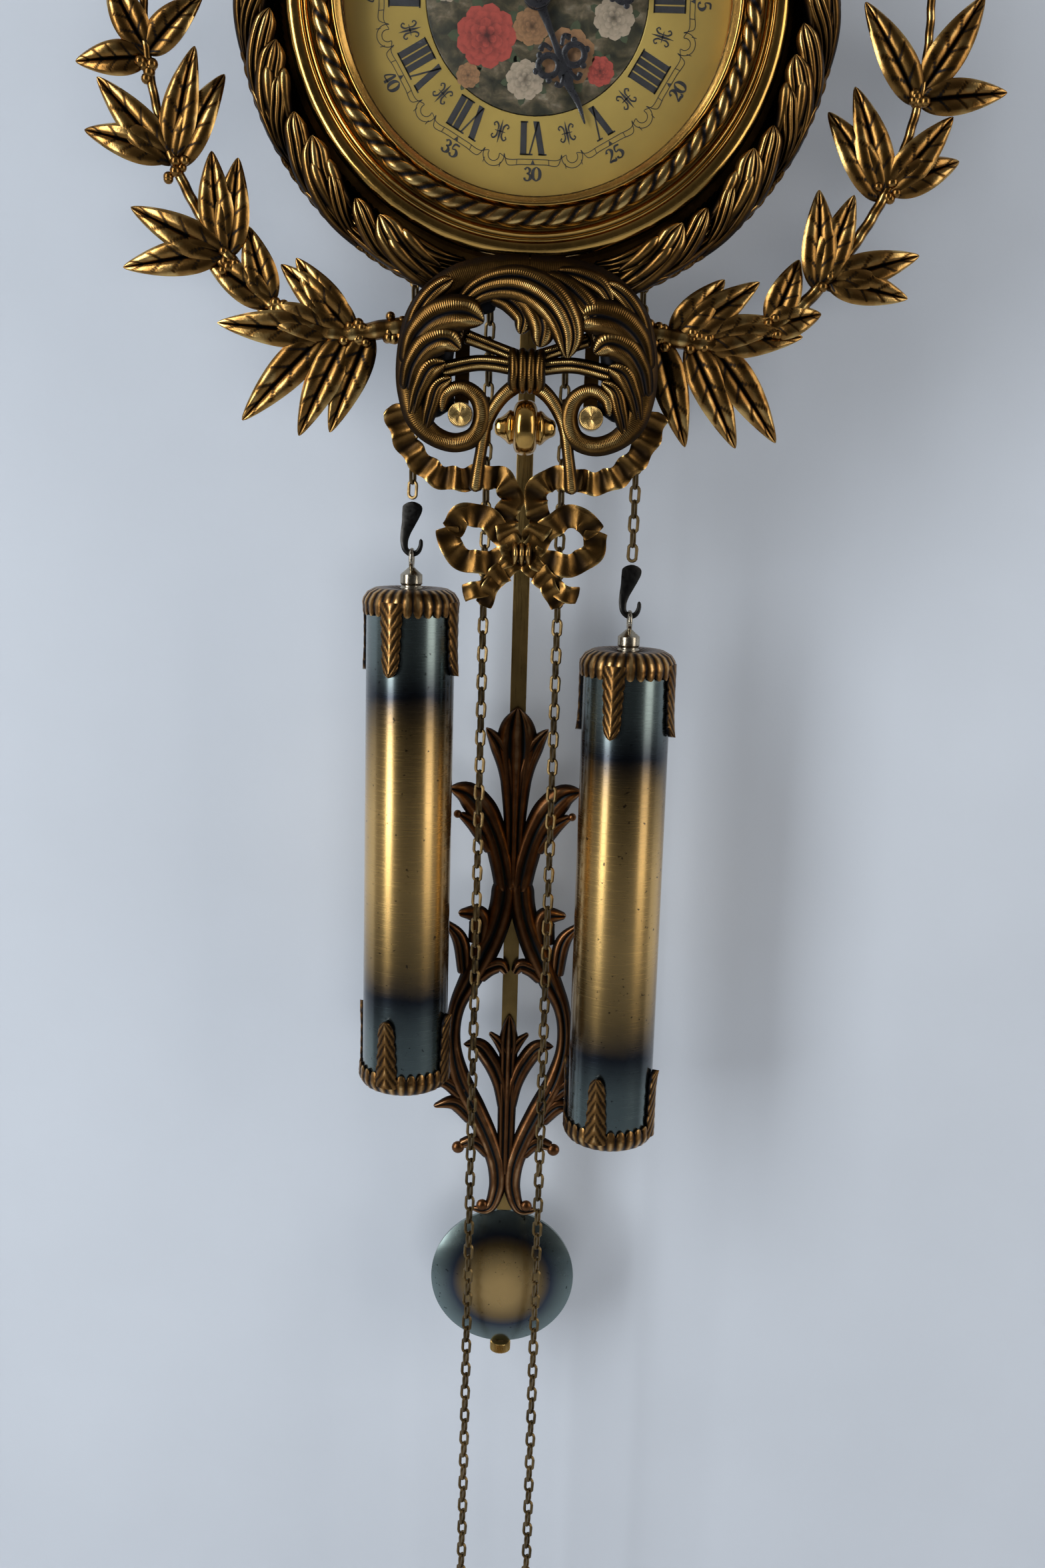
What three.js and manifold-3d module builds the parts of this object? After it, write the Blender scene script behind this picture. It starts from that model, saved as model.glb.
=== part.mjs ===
// Gilt bronze wall clock with two weights, a lyre pendulum and a laurel wreath.
// Millimetres. X runs right, Z up, and the wall is the plane Y = 0, so the front faces -Y.
// The origin is on the dial's axis, on the back face of the back plate.
import * as THREE from 'three';
import { mergeVertices } from 'three/addons/utils/BufferGeometryUtils.js';
import Module from 'manifold-3d';

const wasm = await Module();
wasm.setup();

// Fits shared by all pieces
const fit = 0.3;
const overrun = 2;
const weldDistance = 0.0001;

// Case
const backPlateMargin = 6;
const backPlateThickness = 3;
const dialMargin = 6;
const drumWall = 1.5;
const drumLength = 87;
const flangeMargin = 7.5;
const flangeThickness = 3;
const flangeSetBack = 7.2;
const strapSpread = 27.5;
const strapHalfWidth = 3;
const strapMargin = 4;
const crestTongueHalfWidth = 14;
const crestTongueReach = 12;
const hookHoleRadius = 5;
const hookHoleMargin = 20;
const postRadius = 3;
const pendulumSlotHalfWidth = 18;
const pendulumSlotDepth = 16;
const chainSlotMargin = 4;

// Movement
const plateMargin = 6.5;
const plateThickness = 2;
const backMovementPlate = 48;
const plateSpacing = 26;
const pillarRadius = 3;
const pillarMargin = 6;
const arborRadius = 1.5;
const pivotRadius = 0.8;
const centrePostRadius = 1.2;
const pockets = 8;
const chainPitch = 6.4;
const chainWire = 1.3;
const chainLinkWidth = 5.5;
const cheekThickness = 1.2;
const wheelThickness = 1.5;
const pinionLength = 5;
const greatTeeth = 72;
const strikeTeeth = 54;
const smallPinion = 6;
const centreTeeth = 54;
const thirdTeeth = 50;
const escapeTeeth = 30;
const timeWheelInset = 20;
const centreWheelInset = 22.5;
const thirdWheelInset = 5;
const escapeWheelInset = 8;
const strikeWheelInset = 7;
const pinWheelInset = 3;
const pinArborAngle = 100;
const flyArborAngle = 70;
const flyThickness = 0.8;
const liftingPins = 8;
const liftingPinRadius = 0.8;
const liftingPinLength = 2;
const palletSpan = 60;
const palletGap = 0.8;
const crutchDrop = 44;
const crutchWidth = 2.4;
const crutchSetBack = 6;
const forkGap = 0.4;

// In-plane places and sizes of the movement, as shares of its plates' radius
const chainWheelSpreadShare = 0.4125;
const chainWheelDropShare = 0.3;
const thirdModuleShare = 0.01;
const escapeModuleShare = 0.00825;
const escapeRadiusShare = 0.2;
const escapeHeightShare = 0.525;
const flyRadiusShare = 0.125;
const liftingPinCircleShare = 0.175;
const anchorHeightShare = 0.8;
const bellRadiusShare = 0.275;
const bellShares = [-0.375, 0.5];
const hammerShares = [-0.775, 0.375];
const hammerTailShare = 0.15625;

// Motion work and hands
const cannonTeeth = 8;
const minuteTeeth = 24;
const minutePinion = 8;
const hourTeeth = 32;
const motionModule = 0.75;
const motionFace = 2.4;
const motionWheelThickness = 0.75;
const studRadius = 1.2;
const minuteStudAngle = 225;
const pipeWall = 0.8;
const hourPipeReach = 3.2;
const cannonPipeReach = 6;
const nutThickness = 2;
const minuteHandMargin = 9;
const hourHandMargin = 25;
const hourHandWidth = 7;
const minuteHandWidth = 5;
const handThickness = 1;
const hourHandAngle = 156.5;
const minuteHandAngle = 78;

// Bell and hammer
const bellDepth = 18;
const bellWall = 1.5;
const bellHole = 2.2;
const hammerHeadRadius = 3.2;
const hammerRestGap = 1;
const hammerStrikeAngle = 172;

// Dial, bezel and glass
const dialThickness = 1.5;
const chapterWidth = 32.7;
const glassOpeningRadius = 77;
const rimWidth = 5;
const rimDepth = 7.7;
const glassThickness = 1.2;
const glassRise = 8.5;
const glassSeat = 2.2;
const ropeRadius = 2.2;
const ropeTurns = 4;
const coveWidth = 6;
const outerRollRadius = 4;
const bezelDepth = 11;
const bezelOverlap = 4.4;
const hingePinRadius = 0.8;
const hingeKnuckleLength = 8;
const hingeHeight = 4;
const hingeLugHeight = 2.2;

// Pendulum
const pendulumPlane = 32;
const rodHalfWidth = 3.8;
const rodThickness = 1.5;
const springHalfWidth = 3;
const springThickness = 0.6;
const springLength = 16;
const clampWidth = 3;
const cockHeight = 10;
const lyreTuck = 2.5;
const lyreHeightShare = 6.575;
const lyreHalfWidth = 40;
const lyreThickness = 4.6;
const bobRadius = 36.5;
const bobThickness = 14;
const bobDrop = 592;
const ratingNutRadius = 5;

// Chains and weights
const chainPlane = 64;
const freeEndDrop = 1000;
const endRingRadius = 7;
const travelDown = 55;
const travelUp = 35;
const overWheelSpan = 36;
const leftHookDrop = 200;
const rightHookDrop = 225;
const hookLength = 25;
const hookHalfWidth = 5.5;
const hookThickness = 1.6;
const hookBar = 1.8;
const hookEyeRadius = 2.7;
const hookSlotRadius = 1.9;
const eyeRadius = 3.9;
const eyeWire = 1.1;
const nutRadius = 5;
const nutHeight = 8;
const nutCone = 3;
const weightRadius = 20;
const weightLength = 228;
const capWall = 1.5;
const capSkirt = 7;
const capLeafLength = 33;
const capLeafHalfWidth = 5;
const capLeaves = 4;
const capTurn = 70;
const footNutHeight = 2;

// Ornament
const collarGap = 3;
const collarWidth = 17.5;
const collarDepth = 20;
const collarLobes = 12;
const collarStart = -76;
const collarEnd = 66;
const laurelSpread = 38.5;
const stemRadius = 2.6;
const leafLength = 45;
const leafHalfWidth = 6.2;
const leafThickness = 2.4;
const cartoucheHalf = 50;
const cartoucheGap = 0.5;
const cartoucheTopShare = 0.97;
const cartouchePlane = 98;
const castThickness = 3.4;
const standOffRadius = 2.4;
const ribbonPinRadius = 1.2;
const balusterRadius = 11.5;
const balusterDrop = 18;
const balusterSetBack = 2;
const ribbonPlane = 93;
const ribbonHalfWidth = 4.4;
const ribbonThickness = 1.4;
const crestStand = 10.5;

// Facets of round pieces
const fineSides = 32;
const middleSides = 16;
const wireSteps = 12;
const pipeSides = 8;
const pinSides = 6;
const wireSides = 4;

// Sizes that follow from the opening of the glass: first the rings round it, then the drum with its
// plates, and last the ornament outside the bezel
const rimOuter = glassOpeningRadius + rimWidth;
const ropeCentre = rimOuter + fit + ropeRadius;
const ropeOuter = ropeCentre + ropeRadius + fit;
const coveOuter = ropeOuter + coveWidth;
const bezelRadius = coveOuter + 2 * outerRollRadius;
const medallionRadius = glassOpeningRadius - chapterWidth;
const minuteHandLength = glassOpeningRadius - minuteHandMargin;
const hourHandLength = glassOpeningRadius - hourHandMargin;
const drumRadius = rimOuter + dialMargin;
const backPlateRadius = drumRadius + backPlateMargin;
const hookHoleHeight = backPlateRadius - hookHoleMargin;
const plateRadius = drumRadius - drumWall - plateMargin;
const pillarCircleRadius = plateRadius - pillarMargin;
const collarInnerRadius = bezelRadius + collarGap;
const collarRadius = collarInnerRadius + collarWidth;
const flangeRadius = collarRadius - flangeMargin;
const laurelRadius = collarRadius + laurelSpread;
const cartoucheDrop = bezelRadius + cartoucheGap + cartoucheTopShare * cartoucheHalf;
const crestRise = collarRadius + crestStand;
const lyreHeight = lyreHalfWidth * lyreHeightShare;
const lyreTop = bobDrop - bobRadius + lyreTuck - lyreHeight;

// The movement
const chainWheelSpread = plateRadius * chainWheelSpreadShare;
const chainWheelDrop = plateRadius * chainWheelDropShare;
const thirdModule = plateRadius * thirdModuleShare;
const escapeModule = plateRadius * escapeModuleShare;
const escapeRadius = plateRadius * escapeRadiusShare;
const escapeHeight = plateRadius * escapeHeightShare;
const flyRadius = plateRadius * flyRadiusShare;
const liftingPinCircle = plateRadius * liftingPinCircleShare;
const anchorHeight = plateRadius * anchorHeightShare;
const bellRadius = plateRadius * bellRadiusShare;
const [bellX, bellZ] = bellShares.map((share) => plateRadius * share);
const hammerTail = plateRadius * hammerTailShare;

// Places given as distances in front of the wall
const drumBack = backPlateThickness + fit;
const drumFront = drumBack + drumLength;
const flangeFront = drumFront - flangeSetBack;
const ornamentBack = flangeFront + fit;
const dialBack = drumFront + fit;
const dialFront = dialBack + dialThickness;
const bezelBack = dialFront + fit;
const trainBack = backMovementPlate + plateThickness;
const trainFront = trainBack + plateSpacing;
const frontMovementPlate = trainFront + plateThickness;
const crutchBack = pendulumPlane + crutchSetBack;
const cannonFront = dialFront + cannonPipeReach;
const sprocketRadius = pockets * 2 * chainPitch / (2 * Math.PI);
const innerStrand = chainWheelSpread - sprocketRadius;
const outerStrand = chainWheelSpread + sprocketRadius;
const strandRadius = chainLinkWidth / 2;
const degree = Math.PI / 180;

// Finishes
const finish = (color, roughness, metalness = 1) => ({ color, roughness, metalness });
const polished = finish(0xc9a24a, 0.18);
const gilt = finish(0x9a7434, 0.38);
const antique = finish(0x7a5a2c, 0.45);
const copperBronze = finish(0x6a4526, 0.5);
const brass = finish(0xb8923f, 0.35);
const steel = finish(0x4b4742, 0.4);
const nickel = finish(0xa7a196, 0.35);
const satinGold = finish(0xd6c27c, 0.5, 0.6);
const painted = finish(0x3a3528, 0.6, 0);
const black = finish(0x16161a, 0.4, 0.2);
const clear = finish(0xdfe8ea, 0.05, 0);
const tealLacquer = finish(0x56696a, 0.4, 0.7);
const lacquer = finish(0xa8883e, 0.35);

const clock = new THREE.Group();
clock.name = 'wall_clock';

// A closed mesh with shared vertices, no empty triangles and its faces pointing out.
function weld(geometry) {
  const bare = geometry.clone();
  bare.deleteAttribute('normal');
  bare.deleteAttribute('uv');
  const merged = mergeVertices(bare, weldDistance);
  const at = merged.getAttribute('position');
  const corners = merged.index.array;
  const kept = [];
  let volume = 0;
  const a = new THREE.Vector3();
  const b = new THREE.Vector3();
  const c = new THREE.Vector3();
  for (let i = 0; i < corners.length; i += 3) {
    const [p, q, r] = corners.slice(i, i + 3);
    if (p === q || q === r || r === p) continue;
    kept.push([p, q, r]);
    a.fromBufferAttribute(at, p);
    b.fromBufferAttribute(at, q);
    c.fromBufferAttribute(at, r);
    volume += a.dot(b.cross(c));
  }
  merged.setIndex(kept.flatMap(([p, q, r]) => (volume < 0 ? [p, r, q] : [p, q, r])));
  return merged;
}

// Turns a closed mesh into a solid that can be joined and cut.
function solid(geometry) {
  const mesh = weld(geometry);
  return new wasm.Manifold(new wasm.Mesh({
    numProp: 3,
    vertProperties: new Float32Array(mesh.getAttribute('position').array),
    triVerts: new Uint32Array(mesh.index.array),
  }));
}

// The triangles of a joined or cut solid.
function skin(body) {
  const mesh = body.getMesh();
  const geometry = new THREE.BufferGeometry();
  geometry.setAttribute('position', new THREE.BufferAttribute(mesh.vertProperties, mesh.numProp));
  geometry.setIndex(Array.from(mesh.triVerts));
  return geometry;
}

const join = (geometries) => skin(geometries.map(solid).reduce((sum, next) => sum.add(next)));
const cut = (geometry, cutters) =>
  skin(cutters.map(solid).reduce((rest, cutter) => rest.subtract(cutter), solid(geometry)));

function add(name, geometry, look) {
  const mesh = new THREE.Mesh(weld(geometry), new THREE.MeshStandardMaterial(look));
  mesh.name = name;
  clock.add(mesh);
}

// A closed outline of [x, z] points, and the same with round outlines.
const outline = (points) => new THREE.Shape(points.map(([x, z]) => new THREE.Vector2(x, z)));

const polar = ([x, z], distance, angle) =>
  [x + distance * Math.cos(angle * degree), z + distance * Math.sin(angle * degree)];

function ringPoints(radius, [x, z], sides) {
  return Array.from({ length: sides }, (_, i) => polar([x, z], radius, i * 360 / sides));
}

const disc = (radius, centre = [0, 0], sides = fineSides) => outline(ringPoints(radius, centre, sides));

function pierced(shape, holes) {
  shape.holes.push(...holes);
  return shape;
}

// A flat outline in the XZ plane, from the distance back to back + thickness in front of the wall.
function slab(shape, back, thickness) {
  const geometry = new THREE.ExtrudeGeometry(shape, { depth: thickness, bevelEnabled: false });
  geometry.rotateX(Math.PI / 2);
  geometry.translate(0, -back, 0);
  return geometry;
}

// A profile of [radius, distance in front of the wall] turned about an axis along Y through (x, z).
function turned(profile, sides = fineSides, [x, z] = [0, 0]) {
  const geometry = new THREE.LatheGeometry(profile.map(([r, front]) => new THREE.Vector2(r, -front)), sides);
  geometry.translate(x, 0, z);
  return geometry;
}

// A profile of [radius, height] turned about the upright axis through x at a distance in front.
function upright(profile, sides, x, front) {
  const geometry = new THREE.LatheGeometry(profile.map(([r, z]) => new THREE.Vector2(r, z)), sides);
  geometry.rotateX(Math.PI / 2);
  geometry.translate(x, -front, 0);
  return geometry;
}

const rod = (radius, back, front, centre, sides = pinSides) =>
  turned([[0, back], [radius, back], [radius, front], [0, front]], sides, centre);

const pole = (radius, foot, top, x, front, sides = pinSides) =>
  upright([[0, foot], [radius, foot], [radius, top], [0, top]], sides, x, front);

// A box between two corners, whichever way round they are given.
function block([x0, x1], [back, front], [z0, z1]) {
  const geometry = new THREE.BoxGeometry(Math.abs(x1 - x0), Math.abs(front - back), Math.abs(z1 - z0));
  geometry.translate((x0 + x1) / 2, -(back + front) / 2, (z0 + z1) / 2);
  return geometry;
}

// A flat bar of the given width between two places.
function bar([x0, z0], [x1, z1], width, back, thickness) {
  const along = Math.atan2(z1 - z0, x1 - x0);
  const dx = width / 2 * Math.sin(along);
  const dz = -width / 2 * Math.cos(along);
  return slab(outline([[x0 + dx, z0 + dz], [x1 + dx, z1 + dz], [x1 - dx, z1 - dz], [x0 - dx, z0 - dz]]),
    back, thickness);
}

// Joins neighbouring rings of corners, all of the same count, into the side of a body.
function ringBands(rings, count, wraps) {
  const index = [];
  const bands = wraps ? rings : rings - 1;
  for (let ring = 0; ring < bands; ring += 1) {
    for (let i = 0; i < count; i += 1) {
      const a = ring * count + i;
      const b = ring * count + (i + 1) % count;
      const c = (ring + 1) % rings * count + i;
      const d = (ring + 1) % rings * count + (i + 1) % count;
      index.push(a, b, d, a, d, c);
    }
  }
  return index;
}

function meshOf(positions, index) {
  const geometry = new THREE.BufferGeometry();
  geometry.setAttribute('position', new THREE.Float32BufferAttribute(positions, 3));
  geometry.setIndex(index);
  return geometry;
}

// Unit sections [across, forwards] of cast strokes.
const roundSection = ringPoints(1, [0, 0], pinSides);
const ridgeBackShare = 0.2;
const ridgeSectionShares = [[1, -ridgeBackShare], [0, 1], [-1, -ridgeBackShare]];
const bandSectionShares = [[1, 1], [-1, 1], [-1, -1], [1, -1]];

// A closed body carried along a smooth route. Each row is [x, front, z, half width, half depth].
// The section stands square to the route and leans towards the given side, and a row without
// width ends the body in a point.
function stroke(rows, section, faces = new THREE.Vector3(0, -1, 0)) {
  const route = new THREE.CatmullRomCurve3(rows.map(([x, front, z]) => new THREE.Vector3(x, -front, z)));
  const positions = [];
  const wide = rows.filter((row) => row[3] > 0);
  rows.forEach(([, , , across, depth], i) => {
    if (across <= 0) return;
    const share = i / (rows.length - 1);
    const centre = route.getPoint(share);
    const along = route.getTangent(share);
    const side = new THREE.Vector3().crossVectors(along, faces).normalize();
    const out = new THREE.Vector3().crossVectors(side, along).normalize();
    for (const [s, d] of section) {
      const corner = centre.clone().addScaledVector(side, s * across).addScaledVector(out, d * depth);
      positions.push(corner.x, corner.y, corner.z);
    }
  });
  const count = section.length;
  const index = ringBands(wide.length, count, false);
  const ends = [[0, route.getPoint(0), true], [(wide.length - 1) * count, route.getPoint(1), false]];
  for (const [ring, end, isFirst] of ends) {
    const tip = positions.length / 3;
    positions.push(end.x, end.y, end.z);
    for (let i = 0; i < count; i += 1) {
      const pair = [ring + i, ring + (i + 1) % count];
      index.push(tip, ...(isFirst ? pair.reverse() : pair));
    }
  }
  return meshOf(positions, index);
}

// A closed ring or arc about the dial's axis. The section function gives [radius, front] corners
// for each share of the way, and an arc gets flat ends.
function sweptRing(from, to, steps, sectionAt) {
  const whole = to - from >= 360;
  const positions = [];
  const count = sectionAt(0).length;
  const rings = whole ? steps : steps + 1;
  for (let i = 0; i < rings; i += 1) {
    const share = i / steps;
    const angle = from + (to - from) * share;
    for (const [radius, front] of sectionAt(share)) {
      const [x, z] = polar([0, 0], radius, angle);
      positions.push(x, -front, z);
    }
  }
  const index = ringBands(rings, count, whole);
  for (let k = 1; k < count - 1 && !whole; k += 1) {
    index.push(0, k + 1, k, steps * count, steps * count + k, steps * count + k + 1);
  }
  return meshOf(positions, index);
}

// Teeth as plain points, shallow enough to keep backlash.
const toothTipShare = 0.55;
const toothRootShare = 0.95;

function gearOutline(teeth, module, centre, turn) {
  const pitch = module * teeth / 2;
  return outline(Array.from({ length: 2 * teeth }, (_, i) =>
    polar(centre, i % 2 ? pitch - toothRootShare * module : pitch + toothTipShare * module,
      turn + i * 180 / teeth)));
}

// The direction from one arbor to another, and the turn that faces a gap that way.
const towards = ([x0, z0], [x1, z1]) => Math.atan2(z1 - z0, x1 - x0) / degree;
const gapTowards = (from, to, teeth) => towards(from, to) + 180 / teeth;

// Crossings cut in a wheel, between its hub and its rim.
const crossings = 3;
const crossingInnerShare = 0.25;
const crossingOuterShare = 0.8;
const crossingSpanShare = 0.36;

function crossed(shape, pitch, centre) {
  const span = 360 / crossings * crossingSpanShare;
  const holes = Array.from({ length: crossings }, (_, i) => {
    const middle = 360 * i / crossings;
    const far = [middle - span, middle, middle + span].map((angle) =>
      polar(centre, pitch * crossingOuterShare, angle));
    return outline([polar(centre, pitch * crossingInnerShare, middle), ...far]);
  });
  return pierced(shape, holes);
}

// An arbor with thin pivots that run in holes of the two movement plates.
function arbor(centre, back = backMovementPlate, front = frontMovementPlate) {
  const shoulder = plateThickness + fit;
  return turned([
    [0, back], [pivotRadius, back], [pivotRadius, back + shoulder], [arborRadius, back + shoulder],
    [arborRadius, front - shoulder], [pivotRadius, front - shoulder], [pivotRadius, front], [0, front],
  ], pinSides, centre);
}

// Places of the arbors
const centreArbor = [0, 0];
const timeArbor = [chainWheelSpread, -chainWheelDrop];
const strikeArbor = [-chainWheelSpread, -chainWheelDrop];
const escapeArbor = [0, escapeHeight];
const anchorArbor = [0, anchorHeight];
const hammerArbor = hammerShares.map((share) => plateRadius * share);
const greatDistance = Math.hypot(chainWheelSpread, chainWheelDrop);
const greatModule = 2 * greatDistance / (greatTeeth + smallPinion);
const strikeModule = 2 * greatDistance / (strikeTeeth + smallPinion);
const thirdDistance = thirdModule * (centreTeeth + smallPinion) / 2;
const escapeDistance = escapeModule * (thirdTeeth + smallPinion) / 2;
const thirdZ = (thirdDistance ** 2 - escapeDistance ** 2 + escapeHeight ** 2) / (2 * escapeHeight);
const thirdArbor = [Math.sqrt(thirdDistance ** 2 - thirdZ ** 2), thirdZ];
const pinArbor = polar(strikeArbor, greatDistance, pinArborAngle);
const flyArbor = polar(pinArbor, escapeDistance, flyArborAngle);
const minuteDistance = motionModule * (cannonTeeth + minuteTeeth) / 2;
const hourModule = 2 * minuteDistance / (minutePinion + hourTeeth);
const minuteStud = polar(centreArbor, minuteDistance, minuteStudAngle);
const pillarAngles = [22, 90, 158, 270];
const postAngles = [22, 158, 230, 310];

// The plate that hangs on the wall, with a hole for the wall hook and posts for the movement.
function makeBackPlate() {
  const plate = pierced(disc(backPlateRadius), [disc(hookHoleRadius, [0, hookHoleHeight], pinSides)]);
  const posts = postAngles.map((angle) => rod(postRadius, backPlateThickness - fit, backMovementPlate - fit,
    polar(centreArbor, pillarCircleRadius, angle)));
  return join([slab(plate, 0, backPlateThickness), ...posts]);
}

// The drum with its flange, a tongue for the crest and two straps for the cartouche. Slots in the
// underside let the pendulum swing and the chains run.
function makeDrum() {
  const inner = drumRadius - drumWall;
  const flangeBack = flangeFront - flangeThickness;
  const root = (drumRadius + flangeRadius) / 2;
  const strapEnd = bossUpShare * cartoucheHalf - cartoucheDrop - strapMargin;
  const parts = [
    turned([[inner, drumBack], [drumRadius, drumBack], [drumRadius, drumFront], [inner, drumFront],
      [inner, drumBack]]),
    slab(pierced(disc(flangeRadius), [disc(inner + drumWall / 2)]), flangeBack, flangeThickness),
    block([-crestTongueHalfWidth, crestTongueHalfWidth], [flangeBack, flangeFront],
      [root, flangeRadius + crestTongueReach]),
  ];
  for (const side of [-1, 1]) {
    parts.push(block([side * (strapSpread - strapHalfWidth), side * (strapSpread + strapHalfWidth)],
      [flangeBack, flangeFront], [-root, strapEnd]));
  }
  const low = [-drumRadius - overrun, -drumRadius / 2];
  const chainHalf = strandRadius + chainSlotMargin;
  const slots = [block([-pendulumSlotHalfWidth, pendulumSlotHalfWidth],
    [pendulumPlane - pendulumSlotDepth / 2, pendulumPlane + pendulumSlotDepth / 2], low)];
  for (const side of [-1, 1]) {
    slots.push(block([side * (innerStrand - chainHalf), side * (outerStrand + chainHalf)],
      [chainPlane - chainHalf, chainPlane + chainHalf], low));
  }
  return cut(join(parts), slots);
}

const pivotHole = (centre) => disc(pivotRadius + fit, centre, pinSides);
const arborHole = (centre) => disc(arborRadius + fit, centre, pinSides);

// The front movement plate carries the stud of the minute wheel.
function makeFrontPlate() {
  const pivots = [timeArbor, strikeArbor, thirdArbor, escapeArbor, anchorArbor, pinArbor, flyArbor,
    hammerArbor];
  const holes = pivots.map(pivotHole).concat([arborHole(centreArbor)]);
  const plate = slab(pierced(disc(plateRadius), holes), trainFront, plateThickness);
  return join([plate, rod(studRadius, trainFront + plateThickness / 2, dialBack - fit, minuteStud)]);
}

// The back movement plate with its four riveted pillars.
function makeBackMovementPlate() {
  const holes = [timeArbor, strikeArbor, thirdArbor, escapeArbor, pinArbor, flyArbor, centreArbor]
    .map(pivotHole).concat([anchorArbor, hammerArbor].map(arborHole));
  const plate = slab(pierced(disc(plateRadius), holes), backMovementPlate, plateThickness);
  const pillars = pillarAngles.map((angle) => rod(pillarRadius, trainBack - plateThickness / 2,
    trainFront - fit, polar(centreArbor, pillarCircleRadius, angle)));
  return join([plate, ...pillars]);
}

const plainWheel = (centre, teeth, module, turn, inset) =>
  slab(gearOutline(teeth, module, centre, turn), trainBack + inset, wheelThickness);

const crossedWheel = (centre, teeth, module, turn, inset) =>
  slab(crossed(gearOutline(teeth, module, centre, turn), module * teeth / 2, centre),
    trainBack + inset, wheelThickness);

// A pinion centred on the wheel that it meets.
const pinion = (centre, module, mate, inset) =>
  slab(gearOutline(smallPinion, module, centre, gapTowards(centre, mate, smallPinion)),
    trainBack + inset + (wheelThickness - pinionLength) / 2, pinionLength);

function makeGoingTrain() {
  add('time_great_wheel', join([arbor(timeArbor),
    crossedWheel(timeArbor, greatTeeth, greatModule, towards(timeArbor, centreArbor), timeWheelInset),
  ]), brass);
  add('centre_wheel', join([arbor(centreArbor),
    crossedWheel(centreArbor, centreTeeth, thirdModule, towards(centreArbor, thirdArbor), centreWheelInset),
    pinion(centreArbor, greatModule, timeArbor, timeWheelInset),
    rod(centrePostRadius, trainFront, cannonFront, centreArbor)]), brass);
  add('third_wheel', join([arbor(thirdArbor),
    plainWheel(thirdArbor, thirdTeeth, escapeModule, towards(thirdArbor, escapeArbor), thirdWheelInset),
    pinion(thirdArbor, thirdModule, centreArbor, centreWheelInset)]), brass);
  add('escape_wheel', join([arbor(escapeArbor),
    slab(crossed(escapeOutline(), escapeRadius, escapeArbor), trainBack + escapeWheelInset, wheelThickness),
    pinion(escapeArbor, escapeModule, thirdArbor, thirdWheelInset)]), brass);
  add('anchor_and_crutch', makeAnchor(), steel);
}

// Leaning teeth of the escape wheel.
const escapeRootShare = 0.8;
const escapeLeanShare = 0.35;

function escapeOutline() {
  const points = [];
  for (let i = 0; i < escapeTeeth; i += 1) {
    const angle = 360 * i / escapeTeeth;
    points.push(polar(escapeArbor, escapeRadius, angle + 360 / escapeTeeth * escapeLeanShare));
    points.push(polar(escapeArbor, escapeRadius * escapeRootShare, angle));
  }
  return outline(points.reverse());
}

// The anchor spans the top of the escape wheel and its crutch reaches down behind the plates.
function makeAnchor() {
  const [x, z] = anchorArbor;
  const parts = [arbor(anchorArbor, crutchBack)];
  for (const side of [-1, 1]) {
    const pallet = polar(escapeArbor, escapeRadius + palletGap, 90 - side * palletSpan / 2);
    parts.push(bar([pallet[0], pallet[1] + arborRadius], [x, z], 2 * arborRadius,
      trainBack + escapeWheelInset, wheelThickness));
  }
  const low = [z - crutchDrop, z - crutchDrop + crutchWidth];
  const deep = [crutchBack, crutchBack + crutchWidth];
  const prong = rodHalfWidth + forkGap;
  parts.push(block([-crutchWidth / 2, crutchWidth / 2], deep, [low[0], z]));
  parts.push(block([-prong - crutchWidth, prong + crutchWidth], deep, low));
  for (const side of [-1, 1]) {
    parts.push(block([side * prong, side * (prong + crutchWidth)],
      [pendulumPlane - rodThickness, crutchBack + crutchWidth / 2], low));
  }
  return join(parts);
}

function makeStrikingTrain() {
  add('strike_great_wheel', join([arbor(strikeArbor),
    crossedWheel(strikeArbor, strikeTeeth, strikeModule, towards(strikeArbor, pinArbor), strikeWheelInset),
  ]), brass);
  const pins = Array.from({ length: liftingPins }, (_, i) => rod(liftingPinRadius,
    trainBack + pinWheelInset - liftingPinLength, trainBack + pinWheelInset + wheelThickness / 2,
    polar(pinArbor, liftingPinCircle, towards(pinArbor, hammerArbor) + (i + 0.5) * 360 / liftingPins),
    pinSides));
  add('pin_wheel', join([arbor(pinArbor),
    plainWheel(pinArbor, thirdTeeth, escapeModule, towards(pinArbor, flyArbor), pinWheelInset),
    pinion(pinArbor, strikeModule, strikeArbor, strikeWheelInset), ...pins]), brass);
  const [x, z] = flyArbor;
  add('fly', join([arbor(flyArbor), pinion(flyArbor, escapeModule, pinArbor, pinWheelInset + fit),
    block([x - flyRadius, x + flyRadius], [chainPlane + strandRadius, trainFront - 2 * fit],
      [z - flyThickness / 2, z + flyThickness / 2])]), brass);
}

// A chain wheel with two toothed cheeks and a core between them, free on the great arbor.
const coreShare = 0.8;

function makeChainWheel(centre) {
  const cheekRadius = sprocketRadius - strandRadius;
  const half = strandRadius + fit + cheekThickness;
  const cheek = (back) =>
    slab(gearOutline(pockets, 2 * cheekRadius / pockets, centre, 0), back, cheekThickness);
  const core = slab(disc(cheekRadius * coreShare, centre, pipeSides), fit + chainPlane - half,
    2 * (half - fit));
  return cut(join([core, cheek(chainPlane - half), cheek(chainPlane + half - cheekThickness)]),
    [rod(arborRadius + fit, chainPlane - half - overrun, chainPlane + half + overrun, centre)]);
}

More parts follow.
